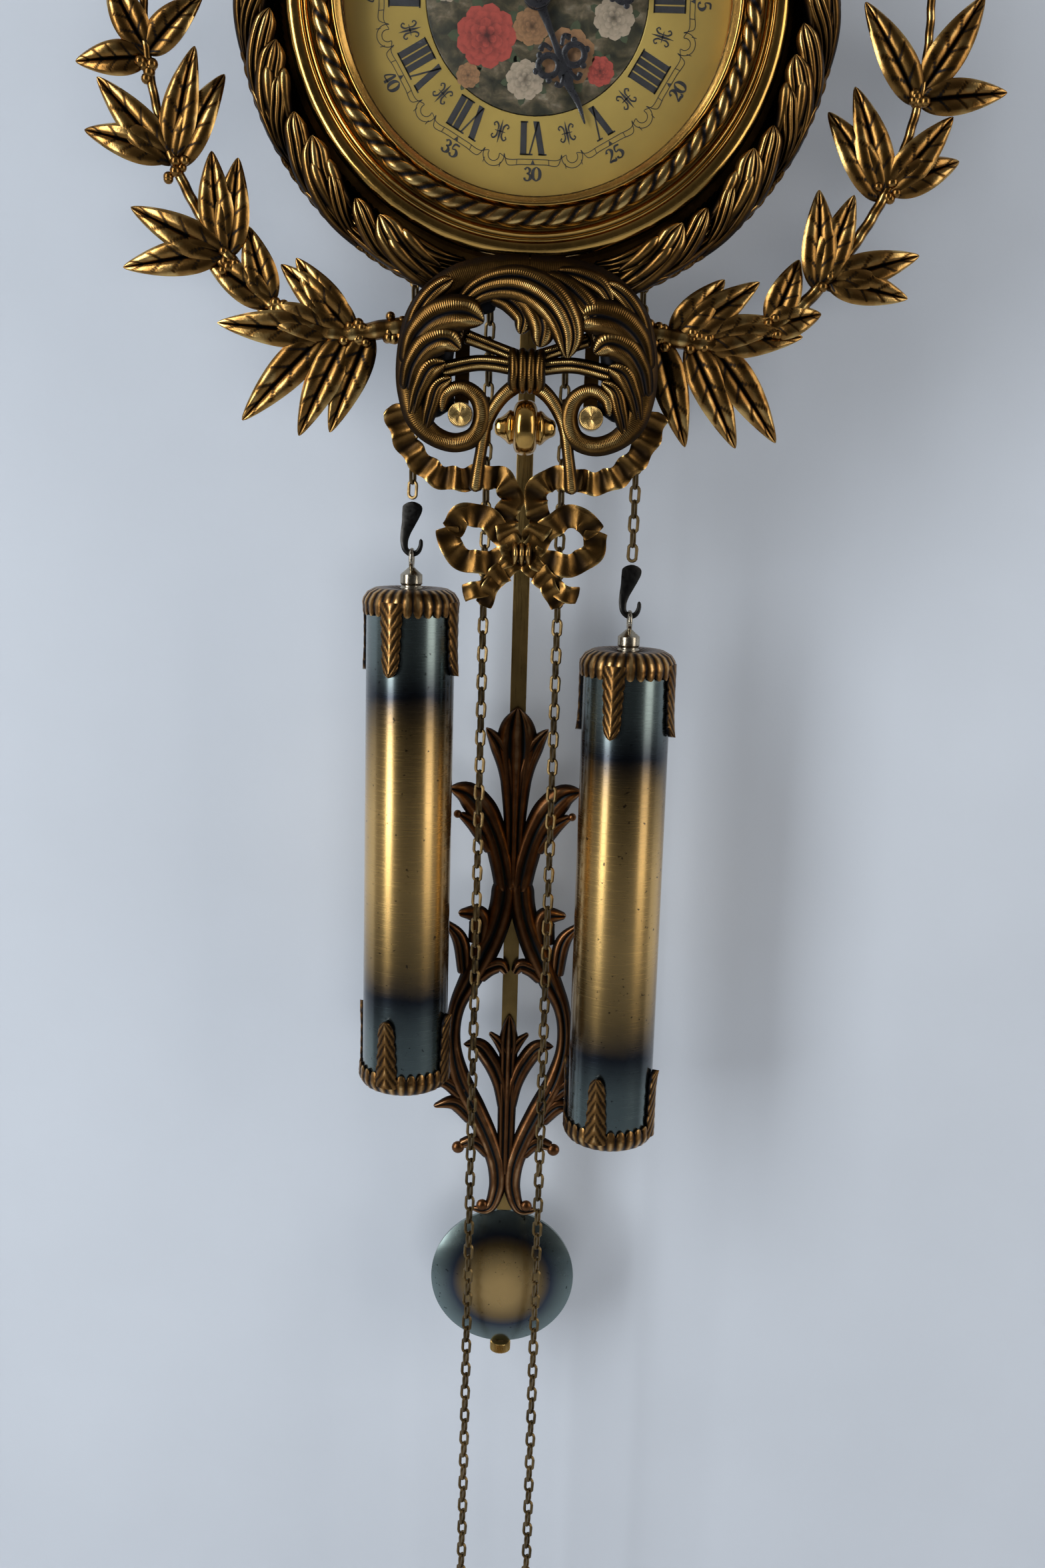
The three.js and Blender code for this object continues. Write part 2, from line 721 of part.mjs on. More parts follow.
// Radii and places of the pipes that carry the hands.
const cannonBore = centrePostRadius + fit;
const cannonRadius = cannonBore + pipeWall;
const hourBore = cannonRadius + fit;
const hourRadius = hourBore + pipeWall;
const cannonBack = frontMovementPlate + 2 * fit;
const minuteBack = cannonBack + motionFace / 2;
const hourBack = cannonBack + motionFace + motionWheelThickness;
const hourFront = dialFront + hourPipeReach;

function makeMotionWork() {
  const through = (radius, centre) =>
    rod(radius, cannonBack - overrun, cannonFront + overrun, centre, pipeSides);
  const cannonTurn = gapTowards(centreArbor, minuteStud, cannonTeeth);
  add('cannon_pinion', cut(join([
    slab(gearOutline(cannonTeeth, motionModule, centreArbor, cannonTurn), cannonBack, motionFace),
    rod(cannonRadius, cannonBack, cannonFront, centreArbor, pipeSides),
  ]), [through(cannonBore, centreArbor)]), steel);
  add('minute_wheel', cut(join([
    slab(gearOutline(minuteTeeth, motionModule, minuteStud, towards(minuteStud, centreArbor)),
      minuteBack, motionWheelThickness),
    slab(gearOutline(minutePinion, hourModule, minuteStud, gapTowards(minuteStud, centreArbor, minutePinion)),
      minuteBack + fit, hourBack + motionWheelThickness - minuteBack),
  ]), [through(studRadius + fit, minuteStud)]), brass);
  add('hour_wheel', cut(join([
    slab(gearOutline(hourTeeth, hourModule, centreArbor, towards(centreArbor, minuteStud)),
      hourBack, motionWheelThickness),
    rod(hourRadius, hourBack, hourFront, centreArbor, pipeSides),
  ]), [through(hourBore, centreArbor)]), brass);
  add('hour_hand', makeHand(hourHandLength, hourHandWidth, hourRadius + fit, hourHandAngle,
    hourFront - fit - handThickness), black);
  add('minute_hand', makeHand(minuteHandLength, minuteHandWidth, cannonRadius + fit, minuteHandAngle,
    cannonFront - fit - handThickness), black);
  add('hand_nut', turned([
    [0, cannonFront + fit], [cannonRadius, cannonFront + fit],
    [cannonRadius, cannonFront + nutThickness], [0, cannonFront + nutThickness + pipeWall],
  ], pinSides), brass);
}

// A serpentine hand. Rows are [distance share, half width share] along the hand.
const handShares = [
  [0, 0.62], [0.16, 0.3], [0.24, 0.34], [0.34, 0.95], [0.46, 1], [0.56, 0.5], [0.62, 0.3],
  [0.7, 0.62], [0.78, 0.62], [0.84, 0.3],
];

function makeHand(length, width, bore, clockwise, back) {
  const boss = bore + 2 * pipeWall;
  const edge = (side) => handShares.map(([share, half]) =>
    [side * half * width, boss / 2 + (length - boss / 2) * share]);
  const blade = slab(outline([...edge(1), [0, length], ...edge(-1).reverse()]), back, handThickness);
  const hand = cut(join([blade, slab(disc(boss, centreArbor, pipeSides), back, handThickness)]),
    [rod(bore, back - overrun, back + handThickness + overrun, centreArbor, pipeSides)]);
  hand.rotateY(clockwise * degree);
  return hand;
}

// Radii and places shared by the bezel, the rope moulding, the glass and its rim.
const ledgeFront = bezelBack + rimDepth - glassSeat;
const ropeSeat = ledgeFront + ropeRadius * 2;
const ropeFront = ropeSeat + fit + ropeRadius * 2;
const bezelFront = bezelBack + bezelDepth;
const rimBack = ledgeFront + fit;
const rimFront = rimBack + rimDepth;
const knuckleRadius = hingePinRadius + fit + pipeWall;
const hingeX = ropeCentre + fit;
const hingeFront = ropeFront + fit + knuckleRadius;

// Hollow then rounded steps outwards from the rope moulding. Shares of the cove's width, and
// turns about the outer roll's centre.
const coveShares = [0.6];
const rollTurns = [150, 85, 20, -45];

function makeBezel() {
  const profile = [
    [glassOpeningRadius, bezelBack], [glassOpeningRadius, ledgeFront], [rimOuter + fit, ledgeFront],
    [rimOuter + fit, ropeSeat], [ropeOuter, ropeSeat], [ropeOuter, bezelFront],
  ];
  for (const share of coveShares) {
    profile.push([ropeOuter + coveWidth * share,
      bezelFront - outerRollRadius * Math.sin(share * 90 * degree)]);
  }
  for (const turn of rollTurns) {
    profile.push(polar([coveOuter + outerRollRadius, bezelFront - outerRollRadius], outerRollRadius, turn));
  }
  const skirtBack = drumFront - bezelOverlap;
  profile.push([coveOuter + outerRollRadius, skirtBack], [drumRadius + fit, skirtBack],
    [drumRadius + fit, bezelBack], [glassOpeningRadius, bezelBack]);
  return turned(profile);
}

// A square section that winds round the ring.
function makeRope() {
  return sweptRing(0, 360, wireSteps * ropeTurns, (share) => Array.from({ length: wireSides }, (_, k) =>
    polar([ropeCentre, ropeSeat + fit + ropeRadius], ropeRadius, 360 * (ropeTurns * share + k / wireSides))));
}

// The rim and the hinge knuckle that reaches over the rope moulding.
function makeRim() {
  const lip = rimFront - glassSeat;
  const bore = glassOpeningRadius + glassSeat + fit;
  const ring = turned([
    [bore, rimBack], [rimOuter, rimBack], [rimOuter, rimFront - glassSeat / 2],
    [rimOuter - glassSeat / 2, rimFront], [glassOpeningRadius + glassSeat / 2, rimFront],
    [glassOpeningRadius, lip + fit], [glassOpeningRadius, lip], [bore, lip], [bore, rimBack],
  ]);
  const height = [hingeHeight, hingeHeight + hingeKnuckleLength];
  return cut(join([
    ring,
    block([rimOuter - 2 * glassSeat, rimOuter], [lip + glassSeat / 4, hingeFront], height),
    block([rimOuter - glassSeat, hingeX], [ropeFront + fit, hingeFront], height),
    pole(knuckleRadius, ...height, hingeX, hingeFront),
  ]), [pole(hingePinRadius + fit, height[0] - overrun, height[1] + overrun, hingeX, hingeFront)]);
}

// The domed glass. Shares of the glass's radius.
const domeShares = [1, 0.72, 0.38, 0];

function makeGlass() {
  const front = rimFront - glassSeat - fit;
  const edge = glassOpeningRadius + glassSeat;
  const flat = glassOpeningRadius - glassSeat;
  const dome = (offset, share) => [flat * share, front - offset + glassRise * (1 - share * share)];
  return turned([
    [edge, front], ...domeShares.map((share) => dome(0, share)),
    ...[...domeShares].reverse().map((share) => dome(glassThickness, share)),
    [edge, front - glassThickness], [edge, front],
  ]);
}

// The fixed pin of the glass's hinge, with two feet on the bezel outside the rope moulding.
function makeHingePin() {
  const low = [hingeHeight - fit - hingeLugHeight, hingeHeight - fit];
  const knuckleTop = hingeHeight + hingeKnuckleLength + fit;
  const high = [knuckleTop, knuckleTop + hingeLugHeight];
  const pinFront = hingeFront + hingePinRadius;
  const seat = [ropeOuter, ropeOuter + coveWidth / 3];
  const feet = [low, high].flatMap((height) => [
    block([hingeX - hingePinRadius, seat[1]], [ropeFront + fit, pinFront], height),
    block(seat, [bezelFront + fit, pinFront], height),
  ]);
  return join([pole(hingePinRadius, low[0], high[1], hingeX, hingeFront), ...feet]);
}

function makeDial() {
  add('dial_chapter_ring', slab(pierced(disc(drumRadius), [disc(medallionRadius + fit)]),
    dialBack, dialThickness), satinGold);
  const pipeHole = disc(hourRadius + fit, centreArbor, pipeSides);
  add('dial_centre_disc', slab(pierced(disc(medallionRadius), [pipeHole]), dialBack, dialThickness), painted);
  add('bezel_ring', makeBezel(), polished);
  add('rope_moulding', makeRope(), gilt);
  add('glass_rim', makeRim(), polished);
  add('glass', makeGlass(), clear);
  add('hinge_pin', makeHingePin(), brass);
}

// Suspension, rod, lyre, bob and rating nut
function makePendulum() {
  const [x, z] = anchorArbor;
  const cockTop = z + cockHeight;
  const slot = springThickness / 2 + 3 * fit;
  const springDeep = [pendulumPlane - springHalfWidth, pendulumPlane + springHalfWidth];
  const cheekDeep = [springDeep[0] - 2 * fit, springDeep[1] + 2 * fit];
  const cheeks = [-1, 1].map((side) =>
    block([side * slot, side * (slot + clampWidth)], cheekDeep, [z - clampWidth, cockTop]));
  add('suspension_cock', join([...cheeks, block([-slot - clampWidth, slot + clampWidth],
    [cheekDeep[1] - fit, backMovementPlate - fit], [z + arborRadius + 2 * fit, cockTop])]), brass);
  const springTop = cockTop + fit;
  const springFoot = z - springLength;
  add('suspension_spring', join([
    block([-springThickness / 2, springThickness / 2], springDeep, [springFoot, springTop + clampWidth / 2]),
    block([-slot - clampWidth, slot + clampWidth], springDeep, [springTop, springTop + clampWidth]),
    block([-clampWidth, clampWidth], springDeep, [springFoot - clampWidth, springFoot + clampWidth]),
  ]), steel);
  const bobTop = bobRadius - bobDrop;
  add('pendulum_rod', block([x - rodHalfWidth, x + rodHalfWidth],
    [pendulumPlane - rodThickness / 2, pendulumPlane + rodThickness / 2],
    [bobTop + fit, springFoot - clampWidth - fit]), brass);
  add('pendulum_lyre', makeLyre(), copperBronze);
  const bobHalf = (share) => bobThickness / 2 * (1 - (1 - bobEdgeShare) * share ** 2);
  add('pendulum_bob', turned([
    [0, pendulumPlane - bobHalf(0)],
    ...bobShares.map((share) => [bobRadius * share, pendulumPlane - bobHalf(share)]),
    ...[...bobShares].reverse().map((share) => [bobRadius * share, pendulumPlane + bobHalf(share)]),
    [0, pendulumPlane + bobHalf(0)],
  ], fineSides, [0, -bobDrop]), tealLacquer);
  const nutTop = -bobDrop - bobRadius - fit;
  add('rating_nut', pole(ratingNutRadius, nutTop - ratingNutRadius, nutTop, 0, pendulumPlane, middleSides),
    brass);
}

const bobEdgeShare = 0.15;
const bobShares = [0.5, 0.85, 1];

// Strokes of the lyre. Rows are [across, down, half width] as shares of the lyre's half width,
// height and half width. A pair is drawn on both sides.
const lyreMiddleShares = [
  [[0, 0.34, 0.1], [0, 0.21, 0.105], [0, 0.13, 0.15], [0, 0.07, 0.19], [0, 0.033, 0.17], [0, 0, 0]],
  [[0, 0.915, 0.08], [0, 0.82, 0.085], [0, 0.74, 0.09], [0, 0.68, 0.085], [0, 0.635, 0.09], [0, 0.583, 0]],
];
const lyrePairShares = [
  [[0.05, 0.19, 0.06], [0.13, 0.11, 0.08], [0.23, 0.07, 0.08], [0.37, 0.042, 0]],
  [[0.07, 0.35, 0.11], [0.14, 0.29, 0.12], [0.25, 0.235, 0.12], [0.42, 0.19, 0.14], [0.6, 0.163, 0.11],
    [0.83, 0.155, 0]],
  [[0.25, 0.27, 0.08], [0.45, 0.225, 0.09], [0.69, 0.203, 0]],
  [[0.1, 0.32, 0.12], [0.12, 0.37, 0.12], [0.2, 0.42, 0.12], [0.34, 0.47, 0.13], [0.49, 0.52, 0.11],
    [0.64, 0.57, 0.08], [0.69, 0.65, 0.075], [0.61, 0.71, 0.1], [0.4, 0.78, 0.11], [0.22, 0.84, 0.1],
    [0.1, 0.9, 0.09], [0.1, 0.945, 0.08], [0.22, 0.985, 0.06], [0.42, 0.985, 0.055]],
  [[0.4, 0.45, 0.1], [0.42, 0.395, 0.1], [0.68, 0.392, 0]],
  [[0.56, 0.51, 0.07], [0.66, 0.435, 0.07], [0.88, 0.405, 0]],
  [[0.4, 0.515, 0.08], [0.25, 0.497, 0.08], [0.12, 0.492, 0.07], [0.04, 0.507, 0.035]],
  [[0.55, 0.75, 0.09], [0.8, 0.725, 0.07], [1.1, 0.737, 0]],
  [[0.42, 0.8, 0.08], [0.66, 0.768, 0.08], [0.94, 0.776, 0]],
  [[0.2, 0.87, 0.07], [0.4, 0.845, 0.07], [0.58, 0.853, 0.05]],
  [[0.03, 0.67, 0.05], [0.12, 0.643, 0.05], [0.25, 0.625, 0]],
  [[0.03, 0.78, 0.06], [0.1, 0.72, 0.08], [0.22, 0.68, 0.09], [0.4, 0.65, 0.075], [0.58, 0.65, 0]],
];

// The lyre's flat back lies against the rod.
function makeLyre() {
  const crest = lyreThickness / (1 + ridgeBackShare);
  const plane = pendulumPlane + rodThickness / 2 + fit + ridgeBackShare * crest;
  const draw = (rows, side) => stroke(rows.map(([across, down, half]) => [side * across * lyreHalfWidth,
    plane, -lyreTop - down * lyreHeight, half * lyreHalfWidth, crest]), ridgeSectionShares);
  return join([
    ...lyreMiddleShares.map((rows) => draw(rows, 1)),
    ...lyrePairShares.flatMap((rows) => [draw(rows, 1), draw(rows, -1)]),
  ]);
}

// Outline of the hook's plate as shares of its half width and its length, and of the leaves on a
// weight's caps as shares of their length and half width.
const hookShares = [
  [-0.8, 0], [0.6, 0], [1, 0.15], [0.7, 0.4], [0.1, 0.62], [1, 0.75], [0.8, 1], [-0.8, 1], [-1, 0.8],
  [-1, 0.15],
];
const capLeafShares = [[0, 0.9], [0.35, 1], [0.7, 0.85], [1, 0]];

// A weight with its caps, eye and hook, hanging from the given height.
function makeWeight(name, x, hookDrop) {
  const hookFoot = -hookDrop - hookLength;
  const plate = outline(hookShares.map(([across, down]) =>
    [x + across * hookHalfWidth, -hookDrop - down * hookLength]).reverse());
  const holes = [
    disc(hookEyeRadius, [x, hookFoot + hookBar + hookEyeRadius], pipeSides),
    disc(hookSlotRadius, [x, -hookDrop - 2 * hookBar - hookSlotRadius], pinSides),
  ];
  add(`${name}_weight_hook`, slab(pierced(plate, holes), chainPlane - hookThickness / 2, hookThickness),
    steel);

  const eyeCentre = hookFoot + hookBar + fit + eyeWire - eyeRadius;
  const nutTop = eyeCentre - eyeRadius - nutCone;
  const nutFoot = nutTop - nutHeight;
  const eye = new THREE.TorusGeometry(eyeRadius, eyeWire, wireSides, wireSteps);
  eye.rotateY(Math.PI / 2);
  eye.translate(x, -chainPlane, eyeCentre);
  const nut = upright([[0, nutFoot], [nutRadius, nutFoot], [nutRadius, nutTop],
    [eyeWire, nutTop + nutCone], [0, nutTop + nutCone]], pipeSides, x, chainPlane);
  add(`${name}_weight_eye`, join([eye, nut]), nickel);

  const capTop = nutFoot - fit;
  const tubeTop = capTop - capWall - fit;
  const capFoot = tubeTop - weightLength - fit - capWall;
  add(`${name}_weight_top_cap`, makeCap(x, capTop, 1), antique);
  add(`${name}_weight_tube`, pole(weightRadius, tubeTop - weightLength, tubeTop, x, chainPlane, middleSides),
    lacquer);
  const footNut = pole(nutRadius, capFoot - footNutHeight, capFoot + capWall / 2, x, chainPlane);
  add(`${name}_weight_foot_cap`, join([makeCap(x, capFoot, -1), footNut]), antique);
}

// A cap with leaves along the tube. The sign is 1 where the leaves hang and -1 where they stand.
function makeCap(x, rim, sign) {
  const inner = weightRadius + fit;
  const outer = inner + capWall;
  const cup = upright([[0, rim], [outer - capWall, rim], [outer, rim - sign * capWall],
    [outer, rim - sign * capSkirt], [inner, rim - sign * capSkirt], [inner, rim - sign * capWall],
    [0, rim - sign * capWall]], middleSides, x, chainPlane);
  const leafAway = outer - capWall / 4;
  const leaves = Array.from({ length: capLeaves }, (_, i) => {
    const [outX, outBack] = polar([0, 0], 1, capTurn + 360 * i / capLeaves);
    const rows = capLeafShares.map(([down, half]) => [x + leafAway * outX, chainPlane - leafAway * outBack,
      rim - sign * (capSkirt / 2 + capLeafLength * down), capLeafHalfWidth * half, capWall / 2]);
    return stroke(rows, ridgeSectionShares, new THREE.Vector3(outX, outBack, 0));
  });
  return join([cup, ...leaves]);
}

// Plain strands that stand for rows of links, with a bow over each chain wheel. The weight side
// ends at the hook and the free side in a ring.
function makeChains(name, side, hookDrop) {
  const level = -chainWheelDrop;
  add(`${name}_chain_weight_side`, pole(strandRadius, fit - hookDrop, level + travelDown,
    side * outerStrand, chainPlane, pipeSides), antique);
  const ring = new THREE.TorusGeometry(endRingRadius, chainWire, wireSides, wireSteps);
  ring.rotateX(Math.PI / 2);
  ring.translate(side * innerStrand, -chainPlane, endRingRadius - freeEndDrop);
  add(`${name}_chain_free_side`, join([pole(strandRadius, 2 * endRingRadius - freeEndDrop,
    level + travelUp, side * innerStrand, chainPlane, pipeSides), ring]), antique);
  const bow = sweptRing(90 - overWheelSpan, 90 + overWheelSpan, 6, () =>
    roundSection.map(([a, b]) => [sprocketRadius + fit + strandRadius * a, chainPlane + strandRadius * b]));
  bow.translate(side * chainWheelSpread, 0, -chainWheelDrop);
  add(`${name}_chain_over_wheel`, bow, antique);
}

// Turns of the bell's wall from its crown to its mouth, in degrees.
const bellTurns = [20, 45, 70, 90];

function makeStriking() {
  const back = drumBack + bellWall + 3 * fit;
  const outer = bellTurns.map((turn) => [bellRadius * Math.sin(turn * degree),
    back + bellDepth * (1 - Math.cos(turn * degree))]);
  const inner = [...outer].reverse().map(([r, front]) => [r - bellWall, Math.max(front, back + bellWall)]);
  add('bell', turned([[bellHole, back], ...outer, ...inner, [bellHole, back + bellWall], [bellHole, back]],
    middleSides, [bellX, bellZ]), nickel);
  add('bell_stand', turned([
    [0, back - bellWall], [2 * bellHole, back - bellWall], [2 * bellHole, back - fit],
    [bellHole - fit, back - fit], [bellHole - fit, back + bellWall + fit],
    [2 * bellHole, back + bellWall + fit],
    [2 * bellHole, backMovementPlate - fit], [0, backMovementPlate - fit],
  ], pinSides, [bellX, bellZ]), steel);
  const head = polar([bellX, bellZ], bellRadius + hammerRestGap + hammerHeadRadius, hammerStrikeAngle);
  const headFront = back + bellDepth + hammerHeadRadius;
  const armBack = headFront - 2 * arborRadius;
  const tailEnd = polar(hammerArbor, hammerTail, towards(hammerArbor, pinArbor));
  const tailBack = trainBack + pinWheelInset - liftingPinLength + fit;
  add('hammer', join([
    arbor(hammerArbor, armBack),
    bar(hammerArbor, head, 2 * arborRadius, armBack, 2 * arborRadius),
    bar(hammerArbor, tailEnd, arborRadius, tailBack, liftingPinLength - 2 * fit),
    rod(hammerHeadRadius, headFront - 3 * hammerHeadRadius, headFront, head),
  ]), steel);
}

// One side of the acanthus collar. Its lobes curl inwards and swell forwards, as shares of the
// collar's radial width and depth.
const lobeReachShare = 0.3;
const lobeSwellShare = 0.15;
const lobeFacets = 3;

function makeCollar(side) {
  const from = side > 0 ? collarStart : -180 - collarEnd;
  const to = side > 0 ? collarEnd : -180 - collarStart;
  return sweptRing(from, to, collarLobes * lobeFacets, (share) => {
    const lobe = (share * collarLobes) % 1;
    const swell = Math.sin(Math.PI * lobe);
    const inner = collarInnerRadius + collarWidth * lobeReachShare * (1 - swell);
    const deep = collarDepth * (1 - lobeSwellShare * (1 - swell));
    return [
      [collarInnerRadius + collarWidth / 2, ornamentBack],
      [collarRadius, ornamentBack],
      [collarRadius - collarWidth / 3, ornamentBack + deep * (1 - lobeSwellShare)],
      [inner + collarWidth / 8, ornamentBack + deep],
      [inner, ornamentBack + deep * (1 - lobeSwellShare)],
    ];
  });
}

// Laurel. Stem rows are [angle, radius share, thickness share].
const stemShares = [
  [-78, 0.8, 1.1], [-66, 0.88, 1], [-58, 0.97, 1], [-48, 1.01, 0.9], [-38, 1.01, 0.9], [-24, 1.01, 0.8],
  [-9, 1, 0.7], [8, 0.99, 0.65], [24, 0.98, 0.6], [38, 0.95, 0.5], [50, 0.9, 0.35],
];
// Leaf rows are [angle of the foot on the stem, heading, length share], for the right-hand branch.
const rightLeafShares = [
  [-65, 47, 0.72], [-64.5, 33, 0.93], [-67, -72, 0.86], [-61.5, 16, 0.83], [-61, 5, 0.96],
  [-62.5, -62, 0.87],
  [-59.5, -49, 0.93], [-51.5, 20, 0.55], [-50.5, 69, 0.65], [-42, 92, 0.88], [-41.5, 74, 0.86],
  [-41, 19, 0.94],
  [-40, -13, 0.78], [-26.5, 124, 0.92], [-26, 108, 1], [-25.5, 50, 0.88], [-25, 24, 0.71], [-12.5, 123, 1],
  [-12, 5, 0.8], [-11, 58, 1],
];
const leftLeafShares = [
  [-61, 41, 0.92], [-60, 56, 0.82], [-63, -62, 0.77], [-58.5, 17, 0.8], [-57.5, 2, 1.05], [-57, -43, 1.08],
  [-60, -59, 0.89], [-48.5, 33, 0.78], [-48, 71, 0.72], [-39, 23, 1], [-38, -12, 0.96], [-37.5, 82, 0.85],
  [-39, 98, 0.87], [-24, 45, 1], [-23, 17, 0.83], [-23.5, 100, 1], [-24.5, 118, 0.93], [-9, -8, 0.65],
  [-8, 60, 0.7], [-8.5, 133, 0.72],
];
const upperLeafShares = [
  [6, 150, 0.9], [7, 110, 0.95], [7, 45, 0.85], [23, 158, 0.85], [24, 118, 0.9], [24, 62, 0.8],
  [38, 165, 0.75], [39, 90, 0.7], [50, 132, 0.7],
];
// Rows along a leaf: [along, half width] as shares of its length and half width. The branch's
// leaves share one flat back.
const leafShares = [[0, 0.2], [0.45, 1], [1, 0]];

function makeLaurel(side, leaves) {
  const plane = ornamentBack + stemRadius * stemShares[0][2];
  const radiusAt = (angle) => {
    const next = Math.max(1, stemShares.findIndex(([a]) => a >= angle));
    const [a0, r0] = stemShares[next - 1];
    const [a1, r1] = stemShares[next];
    return laurelRadius * (r0 + (r1 - r0) * (angle - a0) / (a1 - a0));
  };
  const place = (angle) => {
    const [x, z] = polar([0, 0], radiusAt(angle), angle);
    return [side * x, z];
  };
  const stemRows = stemShares.map(([angle, , thick]) => {
    const [x, z] = place(angle);
    return [x, plane, z, stemRadius * thick, stemRadius * thick];
  });
  const parts = [stroke(stemRows, roundSection)];
  for (const [angle, heading, lengthShare] of [...leaves, ...upperLeafShares]) {
    const [x, z] = place(angle);
    parts.push(stroke(leafShares.map(([along, half]) => {
      const [dx, dz] = polar([0, 0], leafLength * lengthShare * along, heading);
      return [x + side * dx, plane, z + dz, leafHalfWidth * half, leafThickness];
    }), ridgeSectionShares));
  }
  return join(parts);
}

// Cartouche. Rows are [across, up, half width, forwards] as shares of the cartouche's half width.
const cartouchePairShares = [
  [[0, 0.86, 0.11, 0.02], [0.24, 0.84, 0.14, 0.05], [0.5, 0.72, 0.16, 0.08], [0.74, 0.5, 0.17, 0.09],
    [0.87, 0.2, 0.15, 0.08], [0.93, -0.12, 0.12, 0.05], [0.88, -0.38, 0.1, 0.02], [0.74, -0.54, 0.08, 0],
    [0.56, -0.58, 0.07, 0], [0.41, -0.48, 0.065, 0], [0.36, -0.29, 0.06, 0.01], [0.46, -0.13, 0.055, 0.02],
    [0.6, -0.12, 0.05, 0.03]],
  [[0.72, 0.36, 0.09, 0.06], [0.62, 0.52, 0.08, 0.1], [0.47, 0.62, 0, 0.12]],
  [[0.78, 0.3, 0.1, 0.06], [0.55, 0.37, 0.11, 0.1], [0.27, 0.24, 0, 0.1]],
  [[0.82, 0.04, 0.1, 0.05], [0.64, 0.15, 0.1, 0.09], [0.45, 0.05, 0, 0.08]],
  [[0.78, -0.3, 0.08, 0.03], [0.7, -0.12, 0.08, 0.06], [0.56, 0.08, 0, 0.05]],
  [[0, 0.18, 0.06, 0], [0.28, 0.28, 0.055, 0], [0.52, 0.36, 0.06, 0.06]],
  [[0, 0.11, 0.07, 0], [0.4, 0.15, 0.065, 0.01], [0.72, 0.08, 0.07, 0.05]],
  [[0, 0, 0.07, 0.01], [0.24, -0.16, 0.055, 0.03], [0.34, -0.4, 0.05, 0.02], [0.38, -0.64, 0.05, 0.01],
    [0.41, -0.9, 0.06, 0]],
];
const cartoucheMiddleShares = [
  [[-0.4, 0.78, 0.07, 0.06], [-0.2, 0.76, 0.13, 0.14], [0.06, 0.66, 0.16, 0.2], [0.24, 0.46, 0.15, 0.18],
    [0.33, 0.22, 0, 0.14]],
  [[-0.3, 0.74, 0.08, 0.08], [-0.06, 0.6, 0.11, 0.14], [0.13, 0.3, 0, 0.12]],
  [[0.1, 0.82, 0.06, 0.08], [0.32, 0.74, 0.09, 0.14], [0.5, 0.58, 0, 0.14]],
  [[0, 0.31, 0.12, 0.02], [0, 0.22, 0.17, 0.06], [0, 0.06, 0.17, 0.06], [0, -0.05, 0.1, 0.02]],
];
const bossAcrossShare = 0.6;
const bossUpShare = -0.24;
const bossRadiusShare = 0.11;
const footAcrossShare = 0.41;
const footUpShare = -0.87;
const castBodyShare = 0.5;
const castSwellShare = 4;

function makeCartouche() {
  const centre = -cartoucheDrop;
  const size = cartoucheHalf;
  const draw = (rows, side) => stroke(rows.map(([across, up, half, forward]) => [side * across * size,
    cartouchePlane + forward * size, centre + up * size, half * size,
    castThickness * (castBodyShare + castSwellShare * half)]), ridgeSectionShares);
  const parts = cartoucheMiddleShares.map((rows) => draw(rows, 1));
  for (const side of [-1, 1]) {
    parts.push(...cartouchePairShares.map((rows) => draw(rows, side)));
    const boss = [side * bossAcrossShare * size, centre + bossUpShare * size];
    const radius = bossRadiusShare * size;
    parts.push(rod(radius, cartouchePlane - castThickness, cartouchePlane + radius, boss, middleSides));
    parts.push(rod(standOffRadius, ornamentBack, cartouchePlane,
      [side * strapSpread, centre + bossUpShare * size]));
    parts.push(rod(ribbonPinRadius, ribbonPlane + ribbonThickness + ribbonWave + fit, cartouchePlane,
      [side * footAcrossShare * size, centre + footUpShare * size]));
  }
  return join(parts);
}

// Polished baluster that lies across the cartouche. Rows are [along, radius] shares.
const balusterShares = [[-1, 0], [-1, 0.3], [-0.6, 0.62], [-0.5, 0.78], [-0.36, 0.8], [-0.3, 0.95], [0, 1]];
const balusterEndShare = 0.26;

function makeBaluster() {
  const halfLength = balusterEndShare * cartoucheHalf - fit;
  const half = balusterShares.map(([along, radius]) => [radius * balusterRadius, along * halfLength]);
  const mirrored = half.slice(0, -1).reverse().map(([radius, along]) => [radius, -along]);
  const profile = [...half, ...mirrored].map(([radius, along]) => new THREE.Vector2(radius, along));
  const geometry = new THREE.LatheGeometry(profile, middleSides);
  geometry.rotateZ(Math.PI / 2);
  geometry.translate(0, balusterSetBack - cartouchePlane, -cartoucheDrop - balusterDrop);
  return geometry;
}

// Ribbon. Rows are [across, down from the cartouche's centre] as shares of the cartouche's half
// width, and the flag says whether the stretch ends in a point.
const ribbonPairShares = [
  { rows: [[1.12, 0.2], [0.95, 0.54], [0.85, 0.69], [0.71, 0.78], [0.54, 0.8], [0.36, 0.77], [0.18, 0.8],
    [0.1, 0.94], [0.15, 1.12], [0.07, 1.34]], pointed: false },
  { rows: [[0.07, 1.38], [0.22, 1.2], [0.42, 1.1], [0.6, 1.22]], pointed: false },
  { rows: [[0.07, 1.42], [0.3, 1.49], [0.52, 1.45], [0.61, 1.18]], pointed: false },
  { rows: [[0.05, 1.46], [0.2, 1.62], [0.33, 1.92]], pointed: true },
  { rows: [[0.22, 1.63], [0.36, 1.74], [0.5, 1.8]], pointed: true },
];
const knotShares = { across: 0.1, drop: 1.41, half: 0.09 };
const ribbonWave = ribbonHalfWidth / 4;

